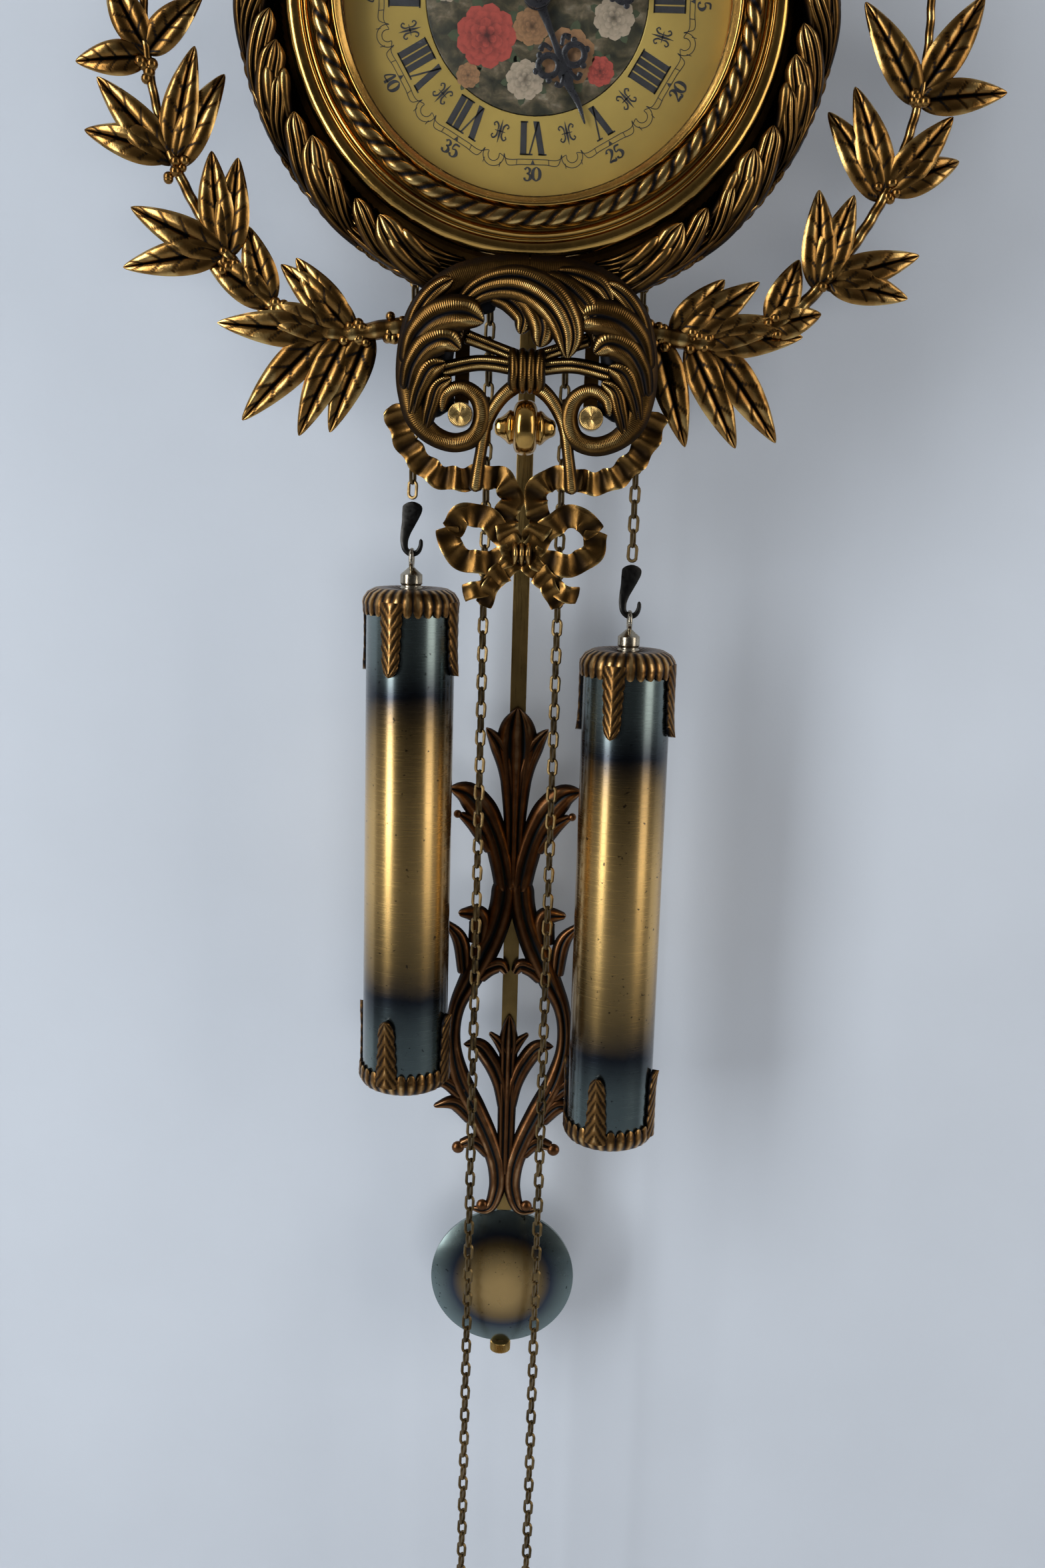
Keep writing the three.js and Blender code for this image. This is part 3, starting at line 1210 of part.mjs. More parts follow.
function makeRibbon(pairs, centre, knot) {
  const knotZ = centre - knot.drop * cartoucheHalf;
  const parts = [block([-knot.across * cartoucheHalf, knot.across * cartoucheHalf],
    [ribbonPlane - ribbonThickness - ribbonWave, ribbonPlane + 3 * ribbonThickness],
    [knotZ - knot.half * cartoucheHalf, knotZ + knot.half * cartoucheHalf])];
  for (const side of [-1, 1]) {
    parts.push(...pairs.map(({ rows, pointed }) => stroke(rows.map(([across, down], i) => [
      side * across * cartoucheHalf,
      ribbonPlane + (i % 2 ? 1 : -1) * ribbonWave,
      centre - down * cartoucheHalf,
      pointed && i === rows.length - 1 ? 0 : ribbonHalfWidth,
      ribbonThickness,
    ]), bandSectionShares)));
  }
  return parts;
}

// Crest above the drum: a bow with a palmette, seated on the tongue of the flange.
const crestPairShares = [
  { rows: [[0.06, 0.08], [0.24, -0.08], [0.48, -0.1], [0.66, 0.04]], pointed: false },
  { rows: [[0.06, 0.16], [0.34, 0.26], [0.58, 0.2], [0.66, 0]], pointed: false },
  { rows: [[0.05, 0.18], [0.3, 0.36], [0.62, 0.52]], pointed: true },
];
const crestKnotShares = { across: 0.11, drop: 0.12, half: 0.11 };
const crestLeafShares = [
  [[0, -0.05, 0.12, 0.02], [0, 0.14, 0.15, 0.06], [0, 0.4, 0, 0]],
  [[0.05, -0.06, 0.08, 0.02], [0.16, 0.12, 0.09, 0.06], [0.28, 0.26, 0, 0.04]],
  [[-0.05, -0.06, 0.08, 0.02], [-0.16, 0.12, 0.09, 0.06], [-0.28, 0.26, 0, 0.04]],
];
const crestFootShares = [-0.4, -0.08];

function makeCrest() {
  const size = cartoucheHalf;
  const draw = (rows) => stroke(rows.map(([across, up, half, forward]) => [across * size,
    ribbonPlane + forward * size, crestRise + up * size, half * size, castThickness]), ridgeSectionShares);
  const foot = block([-crestTongueHalfWidth / 2, crestTongueHalfWidth / 2], [ornamentBack, ribbonPlane],
    crestFootShares.map((share) => crestRise + share * size));
  const bow = makeRibbon(crestPairShares, crestRise, crestKnotShares);
  return join([...bow, ...crestLeafShares.map(draw), foot]);
}

add('back_plate', makeBackPlate(), brass);
add('drum_case', makeDrum(), gilt);
add('movement_front_plate', makeFrontPlate(), brass);
add('movement_back_plate', makeBackMovementPlate(), brass);
makeGoingTrain();
makeStrikingTrain();
add('time_chain_wheel', makeChainWheel(timeArbor), brass);
add('strike_chain_wheel', makeChainWheel(strikeArbor), brass);
makeMotionWork();
makeDial();
makePendulum();
makeStriking();
makeChains('left', -1, leftHookDrop);
makeChains('right', 1, rightHookDrop);
makeWeight('left', -outerStrand, leftHookDrop);
makeWeight('right', outerStrand, rightHookDrop);
add('collar_right', makeCollar(1), gilt);
add('collar_left', makeCollar(-1), gilt);
add('laurel_branch_right', makeLaurel(1, rightLeafShares), gilt);
add('laurel_branch_left', makeLaurel(-1, leftLeafShares), gilt);
add('cartouche', makeCartouche(), gilt);
add('baluster', makeBaluster(), polished);
add('ribbon_festoon', join(makeRibbon(ribbonPairShares, -cartoucheDrop, knotShares)), gilt);
add('crest_bow', makeCrest(), gilt);

export default clock;
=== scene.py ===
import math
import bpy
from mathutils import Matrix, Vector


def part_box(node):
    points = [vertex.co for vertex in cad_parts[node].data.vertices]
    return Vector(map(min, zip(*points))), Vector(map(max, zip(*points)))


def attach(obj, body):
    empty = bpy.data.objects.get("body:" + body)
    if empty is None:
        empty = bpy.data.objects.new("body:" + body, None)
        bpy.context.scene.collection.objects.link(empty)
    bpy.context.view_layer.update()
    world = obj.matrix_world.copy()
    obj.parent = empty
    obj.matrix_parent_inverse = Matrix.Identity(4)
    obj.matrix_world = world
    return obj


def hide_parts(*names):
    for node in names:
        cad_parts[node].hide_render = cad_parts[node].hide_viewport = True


bl_info = {
    "name": "Gilt Wall Clock",
    "version": (1, 0, 0),
    "blender": (4, 5, 0),
    "location": "3D View > Sidebar > Clock",
    "description": "Makes the visible pieces of a weight-driven wall clock with cast ornament",
    "category": "Add Mesh",
}

import bmesh
import bpy
import numpy as np
from mathutils import Matrix, Vector

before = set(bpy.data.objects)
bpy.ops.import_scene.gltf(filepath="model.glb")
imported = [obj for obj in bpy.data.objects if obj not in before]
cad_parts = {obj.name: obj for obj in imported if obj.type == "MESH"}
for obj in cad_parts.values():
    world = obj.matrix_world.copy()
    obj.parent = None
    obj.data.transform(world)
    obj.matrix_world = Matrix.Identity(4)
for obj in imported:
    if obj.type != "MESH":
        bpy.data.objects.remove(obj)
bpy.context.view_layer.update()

# Shapes are worked out in millimetres as [x, front, z], where front is the distance from the wall
# towards the viewer. A mesh holds metres, with the front along -Y.
MM = 0.001
TURN = 2 * np.pi


def front_of(node):
    """How far a CAD node reaches towards the viewer, from the wall"""
    return -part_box(node)[0].y / MM


def back_of(node):
    """How far a CAD node's back is from the wall"""
    return -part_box(node)[1].y / MM


def reach_of(node):
    """How far a CAD node reaches to the right of the axis"""
    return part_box(node)[1].x / MM


def top_of(node):
    """Height of a CAD node's upper end"""
    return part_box(node)[1].z / MM


def foot_of(node):
    """Height of a CAD node's lower end"""
    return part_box(node)[0].z / MM


def depth_of(node):
    """Middle of a CAD node from back to front, and half its depth"""
    front, back = front_of(node), back_of(node)
    return (front + back) / 2, (front - back) / 2


def middle_of(node):
    """Middle of a CAD node from left to right"""
    low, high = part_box(node)
    return (low.x + high.x) / 2 / MM


# Places read from the frame, and other sizes of the CAD, in millimetres
DIAL_FRONT = front_of("dial_chapter_ring")
DIAL_RADIUS = reach_of("dial_chapter_ring")
CENTRE_RADIUS = reach_of("dial_centre_disc")
BEZEL_BACK = back_of("bezel_ring")
BEZEL_FRONT = front_of("bezel_ring")
BEZEL_RADIUS = reach_of("bezel_ring")
RIM_BACK = back_of("glass_rim")
RIM_RADIUS = top_of("glass_rim")
GLASS_RADIUS = top_of("glass")
ORNAMENT_BACK = back_of("cartouche")
COLLAR_RADIUS = reach_of("collar_right")
CARTOUCHE_PLANE = 98.0
CARTOUCHE_HALF = 50.0
CARTOUCHE_DROP = 150.0
RIBBON_PLANE = 93.0
RIBBON_HALF_WIDTH = 5.0
CREST_RISE = 132.0
LAUREL_RADIUS = 160.0
LEAF_LENGTH = 45.0
LEAF_HALF_WIDTH = 7.6
LYRE_TOP = 295.0
LYRE_HEIGHT = 263.0
LYRE_HALF_WIDTH = 40.0
LYRE_BACK = back_of("pendulum_lyre")
LYRE_DEPTH = front_of("pendulum_lyre") - LYRE_BACK
PENDULUM_PLANE = depth_of("pendulum_rod")[0]
BOB_RADIUS = reach_of("pendulum_bob")
BOB_CENTRE = (top_of("pendulum_bob") + foot_of("pendulum_bob")) / 2
CHAIN_PLANE = 64.0
CHAIN_PITCH = 6.4
CHAIN_WIRE = 0.8
LINK_WIDTH = 5.5
LINK_LENGTH = 8.9
WHEEL_RADIUS = 16.3
WHEEL_SPREAD = 33.0
WHEEL_DROP = 24.0
WEIGHT_RADIUS = 20.0


class ClockSizes(bpy.types.PropertyGroup):
    """Sizes of the ornament that a user may change"""

    rope_strands: bpy.props.IntProperty(
        name="Rope strands", description="Strands crossing the top of the rope moulding", default=62, min=12)
    rope_half_width: bpy.props.FloatProperty(
        name="Rope half width", description="Half of the rope moulding's width across the ring",
        default=3.4 * MM, unit="LENGTH")
    lobe_step: bpy.props.FloatProperty(
        name="Lobe step", description="Angle between two lobes of the acanthus collar",
        default=math.radians(7.2), unit="ROTATION")
    berry_radius: bpy.props.FloatProperty(
        name="Berry radius", description="Radius of a laurel berry", default=2.3 * MM, unit="LENGTH")
    leaf_vein_count: bpy.props.IntProperty(
        name="Leaf veins", description="Side veins on each half of a laurel leaf", default=5, min=2)
    camera_distance: bpy.props.FloatProperty(
        name="Camera distance", description="How far the camera stands in front of the wall",
        default=0.756, unit="LENGTH")
    camera_lens: bpy.props.FloatProperty(
        name="Camera lens", description="Focal length on a frame 36 mm high", default=35.2, unit="CAMERA")


def colour_property(name, description, default):
    """A colour of three linear values"""
    return bpy.props.FloatVectorProperty(
        name=name, description=description, default=default, subtype="COLOR", min=0, max=1)


class ClockColours(bpy.types.PropertyGroup):
    """Colours of the finishes, as linear values"""

    # The cast finishes run from a dark colour in the hollows, toning with painted shade, to a bright colour
    # on the ridges, rubbed metal with a painted highlight
    gilt: colour_property("Gilt", "Body of the gilt castings", (0.3, 0.155, 0.042))
    gilt_worn: colour_property("Worn gilt", "Rubbed ridges of the gilt castings", (0.66, 0.44, 0.16))
    patina: colour_property("Patina", "Dark colour in the recesses", (0.012, 0.012, 0.014))
    polished: colour_property("Polished gilt", "Bezel and glass rim", (0.66, 0.37, 0.085))
    brass: colour_property("Brass", "Plates, wheels and rod", (0.52, 0.33, 0.11))
    copper: colour_property("Copper bronze", "Body of the lyre", (0.2, 0.088, 0.034))
    copper_worn: colour_property("Worn copper bronze", "Rubbed ridges of the lyre", (0.56, 0.33, 0.16))
    antique: colour_property("Antique gilt", "Weight caps", (0.3, 0.155, 0.05))
    antique_worn: colour_property("Worn antique gilt", "Rubbed ridges of the weight caps", (0.66, 0.43, 0.18))
    steel: colour_property("Dark steel", "Hooks, springs and arbors", (0.05, 0.047, 0.043))
    chain: colour_property("Chain brass", "Links of the chains", (0.19, 0.125, 0.052))
    nickel: colour_property("Nickel", "Eye nuts and bell", (0.5, 0.44, 0.34))
    dial: colour_property("Dial gold", "Chapter ring", (0.44, 0.325, 0.09))
    teal: colour_property("Teal lacquer", "Cool edge of the bob and the weights", (0.17, 0.215, 0.205))
    navy: colour_property("Dark band", "Dark band between the cool edge and the gold", (0.012, 0.016, 0.024))
    weight_gold: colour_property("Weight gold", "Middle of the weights and the bob", (0.7, 0.44, 0.15))
    print: colour_property("Dial print", "Numerals and hands", (0.008, 0.008, 0.01))
    wall: colour_property("Wall", "Backdrop and floor", (0.56, 0.6, 0.66))


# Surfaces

def smooth_route(rows, steps):
    """A cubic curve through the rows, read at even steps of the summed distances between them. Its
    slope at a row is weighed between the slopes towards the two neighbours."""
    rows = np.asarray(rows, float)
    gaps = np.linalg.norm(np.diff(rows[:, :3], axis=0), axis=1)
    at = np.concatenate([[0], np.cumsum(np.maximum(gaps, 1e-6))])
    slope = np.gradient(rows, at, axis=0)
    along = np.linspace(0, at[-1], steps)
    i = np.clip(np.searchsorted(at, along, side="right") - 1, 0, len(at) - 2)
    h = (at[i + 1] - at[i])[:, None]
    s = (along - at[i])[:, None] / h
    return ((2 * s**3 - 3 * s**2 + 1) * rows[i] + (s**3 - 2 * s**2 + s) * h * slope[i]
            + (3 * s**2 - 2 * s**3) * rows[i + 1] + (s**3 - s**2) * h * slope[i + 1])


def loft(rings, relief=1.0, flow=None, loop=False):
    """Joins neighbouring rings of points by four-sided faces. Each ring closes on itself. The
    first and last rings are closed by a fan about their middle, unless the rings form a loop.
    Faces are turned outwards by the sign of the enclosed volume, summed over the faces."""
    rings = np.asarray(rings, float)
    n, m = rings.shape[:2]
    points = rings.reshape(-1, 3)
    index = np.arange(n * m).reshape(n, m)
    here, there = (index, np.roll(index, -1, 0)) if loop else (index[:-1], index[1:])
    quads = np.stack([here, np.roll(here, -1, 1), np.roll(there, -1, 1), there], -1).reshape(-1, 4)
    relief = np.broadcast_to(np.asarray(relief, float), (n, m)).reshape(-1)
    flow = np.zeros((n, m, 2)) if flow is None else np.broadcast_to(flow, (n, m, 2))
    flow = flow.reshape(-1, 2)
    fans = np.zeros((0, 3), int)
    if not loop:
        middles = np.stack([rings[0].mean(0), rings[-1].mean(0)])
        first, last = n * m, n * m + 1
        start = np.stack([np.full(m, first), np.roll(index[0], -1), index[0]], -1)
        end = np.stack([np.full(m, last), index[-1], np.roll(index[-1], -1)], -1)
        fans = np.concatenate([start, end])
        points = np.concatenate([points, middles])
        relief = np.concatenate([relief, [relief[:m].mean(), relief[-m:].mean()]])
        flow = np.concatenate([flow, flow[:1], flow[-1:]])
    points = points * [1, -1, 1]
    triangles = np.concatenate([quads[:, [0, 1, 2]], quads[:, [0, 2, 3]], fans])
    a, b, c = (points[triangles[:, k]] - points.mean(0) for k in range(3))
    if np.einsum("ij,ij->i", a, np.cross(b, c)).sum() < 0:
        quads, fans = quads[:, ::-1], fans[:, ::-1]
    return {"points": points, "quads": quads, "fans": fans, "relief": relief, "flow": flow}


def even_angles(steps):
    """Even angles once round, without the last, which would repeat the first"""
    return np.linspace(0, TURN, steps, endpoint=False)


def hundredths(table):
    """Rows written in hundredths as an array of shares, and a list of such arrays for several"""
    if isinstance(table[0][0], list):
        return [hundredths(rows) for rows in table]
    return np.array(table) / 100


def make_piece(name, parts, finish, body, nodes=(), sharp=52):
    """One mesh object of several closed surfaces. It carries the relief and flow values of its
    surfaces as attributes, and has its place in its mesh."""
    points, faces, shift = [], [], 0
    for part in parts:
        points.append(part["points"])
        faces += (part["quads"] + shift).tolist() + (part["fans"] + shift).tolist()
        shift += len(part["points"])
    mesh = bpy.data.meshes.new(name)
    mesh.from_pydata(np.concatenate(points) * MM, [], faces)
    relief = np.concatenate([part["relief"] for part in parts])
    flow = np.concatenate([part["flow"] for part in parts])
    # The relief value is low in hollows and high on ridges; the cast finishes paint shade in the hollows and
    # a highlight on the ridges from it
    for key, values in (("relief", relief), ("along", flow[:, 0]), ("across", flow[:, 1])):
        mesh.attributes.new(key, "FLOAT", "POINT").data.foreach_set("value", values.astype(np.float32))
    work = bmesh.new()
    work.from_mesh(mesh)
    bmesh.ops.remove_doubles(work, verts=work.verts, dist=1e-7)
    work.to_mesh(mesh)
    work.free()
    mesh.shade_smooth()
    mesh.set_sharp_from_angle(angle=math.radians(sharp))
    mesh.materials.append(finishes[finish])
    piece = bpy.data.objects.new(name, mesh)
    bpy.context.scene.collection.objects.link(piece)
    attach(piece, body)
    if nodes:
        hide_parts(*nodes)
    return piece


def unit(vectors):
    """Vectors of length one in the same directions"""
    return vectors / np.maximum(np.linalg.norm(vectors, axis=-1, keepdims=True), 1e-9)


def rounded_profile(corners, radius):
    """A closed profile whose corners are eased by short arcs, each a quadratic curve between the
    points at the given radius before and after the corner."""
    corners = np.asarray(corners, float)
    before, after = np.roll(corners, 1, 0) - corners, np.roll(corners, -1, 0) - corners
    shorter = np.minimum(np.linalg.norm(before, axis=1), np.linalg.norm(after, axis=1))
    reach = np.minimum(radius, 0.45 * shorter)
    start = corners + unit(before) * reach[:, None]
    end = corners + unit(after) * reach[:, None]
    s = np.linspace(0, 1, 4)[None, :, None]
    eased = (1 - s)**2 * start[:, None] + 2 * s * (1 - s) * corners[:, None] + s**2 * end[:, None]
    return eased.reshape(-1, 2)


def washer(inner, outer, low, high, radius):
    """The rounded profile of a ring between two radii and two levels."""
    return rounded_profile([[inner, low], [outer, low], [outer, high], [inner, high]], radius)


def turned(profile, steps=192, centre=(0, 0), relief=1.0):
    """A closed profile of [radius, front] rows turned about an axis along the line of sight."""
    profile = np.asarray(profile, float)
    angle = even_angles(steps)[:, None]
    radius = profile[None, :, 0] + 0 * angle
    front = np.broadcast_to(profile[None, :, 1], radius.shape)
    rings = np.stack([centre[0] + radius * np.sin(angle), front, centre[1] + radius * np.cos(angle)], -1)
    flow = np.stack(np.broadcast_arrays(angle * profile[:, 0].max(), profile[None, :, 0]), -1)
    return loft(rings, relief, flow, loop=True)


def upright(profile, x, front, steps, relief=1.0, ripple=None):
    """A closed profile of [radius, height] rows turned about an upright axis. The ripple gives what
    is added to radius and height for each angle and profile row."""
    profile = np.asarray(profile, float)
    angle = even_angles(steps)[:, None]
    radius, height = np.broadcast_arrays(profile[None, :, 0], profile[None, :, 1])
    radius, height = np.tile(radius, (steps, 1)), np.tile(height, (steps, 1))
    if ripple is not None:
        more, rise = ripple(angle)
        radius, height = radius + more, height + rise
    rings = np.stack([x + radius * np.sin(angle), front - radius * np.cos(angle), height], -1)
    flow = np.stack(np.broadcast_arrays(angle * profile[:, 0].max(), profile[None, :, 1]), -1)
    return loft(rings, relief, flow, loop=True)


def ball(centre, radii, relief, steps):
    """A sphere stretched by three radii: rings of points between its poles, at even latitudes."""
    tilt = np.linspace(0.06 * np.pi, 0.94 * np.pi, steps)[:, None]
    angle = even_angles(steps + 4)[None, :]
    wide = np.sin(tilt)
    shape = np.stack([wide * np.cos(angle), np.cos(tilt) + 0 * angle, wide * np.sin(angle)], -1)
    return loft(np.asarray(centre) + shape * radii, relief)


def fluted(flutes, groove, detail=7):
    """A section of [across, forwards, relief] rows: a dome with rounded ridges, each a power of a
    sine's half wave, between narrow grooves, over a flat back."""
    across = np.linspace(1, -1, flutes * detail + 1)
    ridge = np.abs(np.sin(np.pi * flutes * (across + 1) / 2)) ** 0.65
    dome = np.sqrt(np.clip(1 - (0.96 * across) ** 2, 0, 1))
    forwards = dome * (1 - groove + groove * ridge)
    # Relief is high on the ridges and the dome's top and low in the grooves: painted highlight and painted
    # shade, over rubbing and toning
    relief = np.clip(ridge * (0.55 + 0.5 * dome), 0, 1)
    relief[[0, -1]] = 0.45
    under = np.array([[-0.8, -0.25, 0.1], [0, -0.25, 0.1], [0.8, -0.25, 0.1]])
    return np.concatenate([np.stack([across, forwards, relief], -1), under])


def band_section(detail, dish=0.0):
    """A flat band, hollowed across by the dish's share, with rounded edges."""
    across = np.linspace(1, -1, detail)
    forwards = 1 - dish * (1 - across**2)
    forwards[[0, -1]] = 0.3
    relief = np.clip(0.72 + 0.28 * across**4, 0, 1)
    top = np.stack([across, forwards, relief], -1)
    low = np.stack([-across, -1 - dish * (1 - across**2), 0.3 + 0 * across], -1)
    low[[0, -1], 1] = -0.3
    return np.concatenate([top, low])


def round_section(sides):
    """A round wire, brightest towards the viewer: a painted highlight on its front and painted shade towards
    the wall
    """
    angle = even_angles(sides)
    return np.stack([np.cos(angle), np.sin(angle), 0.55 + 0.45 * np.sin(angle)], -1)


def stroke(rows, section, steps, blunt=(0.05, 0.08), faces=(0, 1, 0), pleat=None, fade=(1, 1)):
    """A section carried along the smooth route of [x, front, z, half width, half depth] rows. It
    stands square to the route and leans towards faces. Its ends draw in as quarter circles over
    the blunt shares, a pleat [pitch, height] waves it forwards and sideways along its way, and the
    relief value is multiplied by a factor that runs from the first to the second fade value."""
    route = smooth_route(rows, steps)
    place, half, deep = route[:, :3].copy(), route[:, 3], route[:, 4]
    lengths = np.linalg.norm(np.diff(place, axis=0), axis=1)
    distance = np.concatenate([[0], np.cumsum(lengths)])
    along = unit(np.gradient(place, axis=0))
    side = unit(np.cross(np.broadcast_to(faces, along.shape), along))
    out = unit(np.cross(along, side))
    share = np.linspace(0, 1, steps)
    ease = np.ones(steps)
    for portion, q in ((blunt[0], share), (blunt[1], 1 - share)):
        if portion > 0:
            ease = ease * np.sqrt(np.clip(1 - (1 - np.clip(q / portion, 0.02, 1)) ** 2, 0, 1))
    half, deep = (half * ease)[:, None, None], (deep * ease)[:, None, None]
    relief = np.clip(section[None, :, 2] * np.linspace(*fade, steps)[:, None], 0, 1)
    if pleat:
        wave = np.sin(TURN * distance / pleat[0])
        sway = 0.5 * pleat[1] * np.roll(wave, 3)
        place = place + out * (pleat[1] * wave)[:, None] + side * sway[:, None]
        relief = np.clip(relief * (0.86 + 0.24 * wave[:, None]), 0, 1)
    rings = (place[:, None] + side[:, None] * half * section[None, :, :1]
             + out[:, None] * deep * section[None, :, 1:2])
    flow = np.stack(np.broadcast_arrays(distance[:, None], section[None, :, 0]), -1)
    return loft(rings, relief, flow)


def laurel_leaf(foot, plane, heading, length, half, veins, curl, bend):
    """A pointed leaf. Its width is a power of the sine of a power of the distance, each half swells
    forwards between the midrib and the edge, side veins are fine grooves that slant to the tip, and
    the blade arches forwards and curls at the tip."""
    t = np.linspace(0, 1, 44)[:, None]
    even = np.linspace(-1, 1, 25)[None, :]
    s = 0.45 * even + 0.55 * even**3
    width = half * np.sin(np.pi * np.clip(t, 0, 1) ** 0.76) ** 0.72 * (1 - 0.22 * t) + 0.25
    swell = np.sin(np.pi * np.abs(s)) ** 0.7
    slant = np.cos(TURN * (t * veins - np.abs(s) * 0.8))
    vein = np.clip((slant - 0.8) / 0.2, 0, 1) * (np.abs(s) < 0.82) * (np.abs(s) > 0.06)
    rib = np.exp(-(s / 0.06) ** 2)
    rise = width * (0.24 * swell + 0.12 * np.abs(s)) - 0.14 * vein * np.sqrt(width / half) - 0.5 * rib
    arch = 2.4 * np.sin(np.pi * t) - curl * t**4
    upper = rise + arch
    # Bright halves and edges, dark veins, midrib and base: painted highlight and painted shade over the
    # leaf's toning
    relief = np.clip(0.68 + 0.24 * swell + 0.3 * s**8 - 0.6 * vein - 0.65 * rib - 0.5 * (1 - t) ** 5, 0, 1)
    under = np.linspace(1, -1, 5)[None, :]
    lower = arch - 0.9 + width * 0.18 * np.sin(np.pi * np.abs(under))
    sideways = np.concatenate([s * width, under * width * 0.94], 1)
    forwards = np.concatenate([upper, lower], 1)
    length_way = t * length + 0 * sideways
    sideways = sideways + bend * t**2
    turn = np.radians(heading)
    rings = np.stack([
        foot[0] + length_way * np.cos(turn) - sideways * np.sin(turn),
        plane + forwards,
        foot[1] + length_way * np.sin(turn) + sideways * np.cos(turn),
    ], -1)
    return loft(rings, np.concatenate([relief, 0.5 + 0 * lower], 1))


def slab(corners, back, thickness):
    """A flat convex outline of [x, z] corners with a back and a front face."""
    corners = np.asarray(corners, float)
    rings = [np.insert(corners, 1, level, axis=1) for level in (back, back + thickness)]
    return loft(np.stack(rings))


def around(angle, radius):
    """[x, z] at an angle in degrees, counted from the right and upwards."""
    return np.array([radius * np.cos(np.radians(angle)), radius * np.sin(np.radians(angle))])


# Finishes. Each one is kept in the table below under its material's name.

finishes = {}
NEAR_WALL = 0.015
# Dark blue-grey of the lyre's hollows: toning and painted shade
COPPER_PATINA_AND_SHADE = (0.022, 0.03, 0.036)


def add_node(tree, kind, inputs=None, **settings):
    """A shader node with its settings, whose inputs are values or the outputs they are linked to"""
    node = tree.nodes.new("ShaderNode" + kind)
    for key, value in settings.items():
        setattr(node, key, value)
    for key, value in (inputs or {}).items():
        if isinstance(value, bpy.types.NodeSocket):
            tree.links.new(value, node.inputs[key])
        else:
            node.inputs[key].default_value = value
    return node


def start_finish(name, **settings):
    """A material with one principled shader whose sockets get the settings, and object coordinates"""
    material = finishes[name] = bpy.data.materials.new(name)
    material.use_nodes = True
    tree = material.node_tree
    tree.nodes.clear()
    shader = add_node(tree, "BsdfPrincipled", settings)
    output = add_node(tree, "OutputMaterial")
    tree.links.new(shader.outputs[0], output.inputs[0])
    place = add_node(tree, "TexCoord").outputs["Object"]
    return tree, shader, place


def ramp(tree, value, stops):
    """Colours between the stops, read at the value"""
    node = add_node(tree, "ValToRGB", {0: value})
    bar = node.color_ramp
    while len(bar.elements) < len(stops):
        bar.elements.new(0.5)
    for element, (at, colour) in zip(bar.elements, stops):
        element.position = at
        element.color = (*colour, 1) if len(colour) == 3 else colour
    return node.outputs[0]


def noise(tree, place, scale, detail=4.0, rough=0.55, stretch=None):
    """A noise value, whose pattern is drawn together along each axis by the stretch"""
    if stretch:
        place = add_node(tree, "Mapping", {"Vector": place, "Scale": stretch}).outputs[0]
    inputs = {"Vector": place, "Scale": scale, "Detail": detail, "Roughness": rough}
    return add_node(tree, "TexNoise", inputs).outputs[0]


def sums(tree, operation, a, b, clamp=False):
    """The result of a sum on two values"""
    return add_node(tree, "Math", {0: a, 1: b}, operation=operation, use_clamp=clamp).outputs[0]


def feed(tree, shader, **values):
    """Links values to the shader's sockets of those names, with a space for each underscore"""
    for key, value in values.items():
        tree.links.new(value, shader.inputs[key.replace("_", " ")])


def overlay(tree, tone, patch, amount):
    """A tone multiplied by the patch colour, as far as the amount says"""
    inputs = {0: amount, 6: tone, 7: patch}
    return add_node(tree, "Mix", inputs, data_type="RGBA", blend_type="MULTIPLY").outputs[2]


def spread(tree, value, low, high, first, last):
    """The value's range from low to high carried over to the range from first to last"""
    return add_node(tree, "MapRange", {0: value, 1: low, 2: high, 3: first, 4: last}).outputs[0]


def bump(tree, shader, height, strength, distance):
    """Links a bump of this height to the shader's normal"""
    node = add_node(tree, "Bump", {"Height": height, "Strength": strength, "Distance": distance})
    tree.links.new(node.outputs[0], shader.inputs["Normal"])


def attribute(tree, name):
    """A value that the mesh carries"""
    return add_node(tree, "Attribute", attribute_name=name).outputs["Fac"]


def shade(colour, amount):
    """A colour made darker or lighter"""
    return tuple(min(1.0, c * amount) for c in colour)


def cast_finish(name, deep, body, worn, hatch=0.0, rough=(0.55, 0.24)):
    """Cast and patinated metal: dark in the recesses, which is toning and painted shade, and rubbed bright on
    the ridges, which is rubbing and a painted highlight, with a cloudy tone, fine pitting, and chased lines
    across the ridges where hatch is above zero."""
    tree, shader, place = start_finish(name, Metallic=1.0)
    relief = attribute(tree, "relief")
    cloud = noise(tree, place, 110.0, 3.0)
    grime = sums(tree, "MULTIPLY", sums(tree, "SUBTRACT", cloud, 0.5), 0.42)
    wear_and_painted_light = sums(tree, "ADD", relief, grime, True)
    # Painted shade in the hollows and a painted highlight on the ridges, over the casting's toning and
    # rubbing
    tone = ramp(tree, wear_and_painted_light, [(0.24, deep), (0.58, shade(body, 0.22)), (0.88, body), (1.0, worn)])
    patch = ramp(tree, noise(tree, place, 38.0, 3.0), [(0.3, (0.72, 0.62, 0.56)), (0.65, (1, 1, 1))])
    feed(tree, shader, Base_Color=overlay(tree, tone, patch, 0.7),
         Roughness=spread(tree, wear_and_painted_light, 0.0, 0.9, *rough))
    height = sums(tree, "MULTIPLY", noise(tree, place, 900.0, 5.0), 0.22)
    if hatch:
        lines = sums(tree, "SINE", sums(tree, "MULTIPLY", attribute(tree, "along"), TURN / 0.75), 0.0)
        lines = sums(tree, "MULTIPLY", lines, sums(tree, "POWER", relief, 3.0))
        height = sums(tree, "ADD", height, sums(tree, "MULTIPLY", lines, hatch))
    bump(tree, shader, height, 0.55, 0.0005)


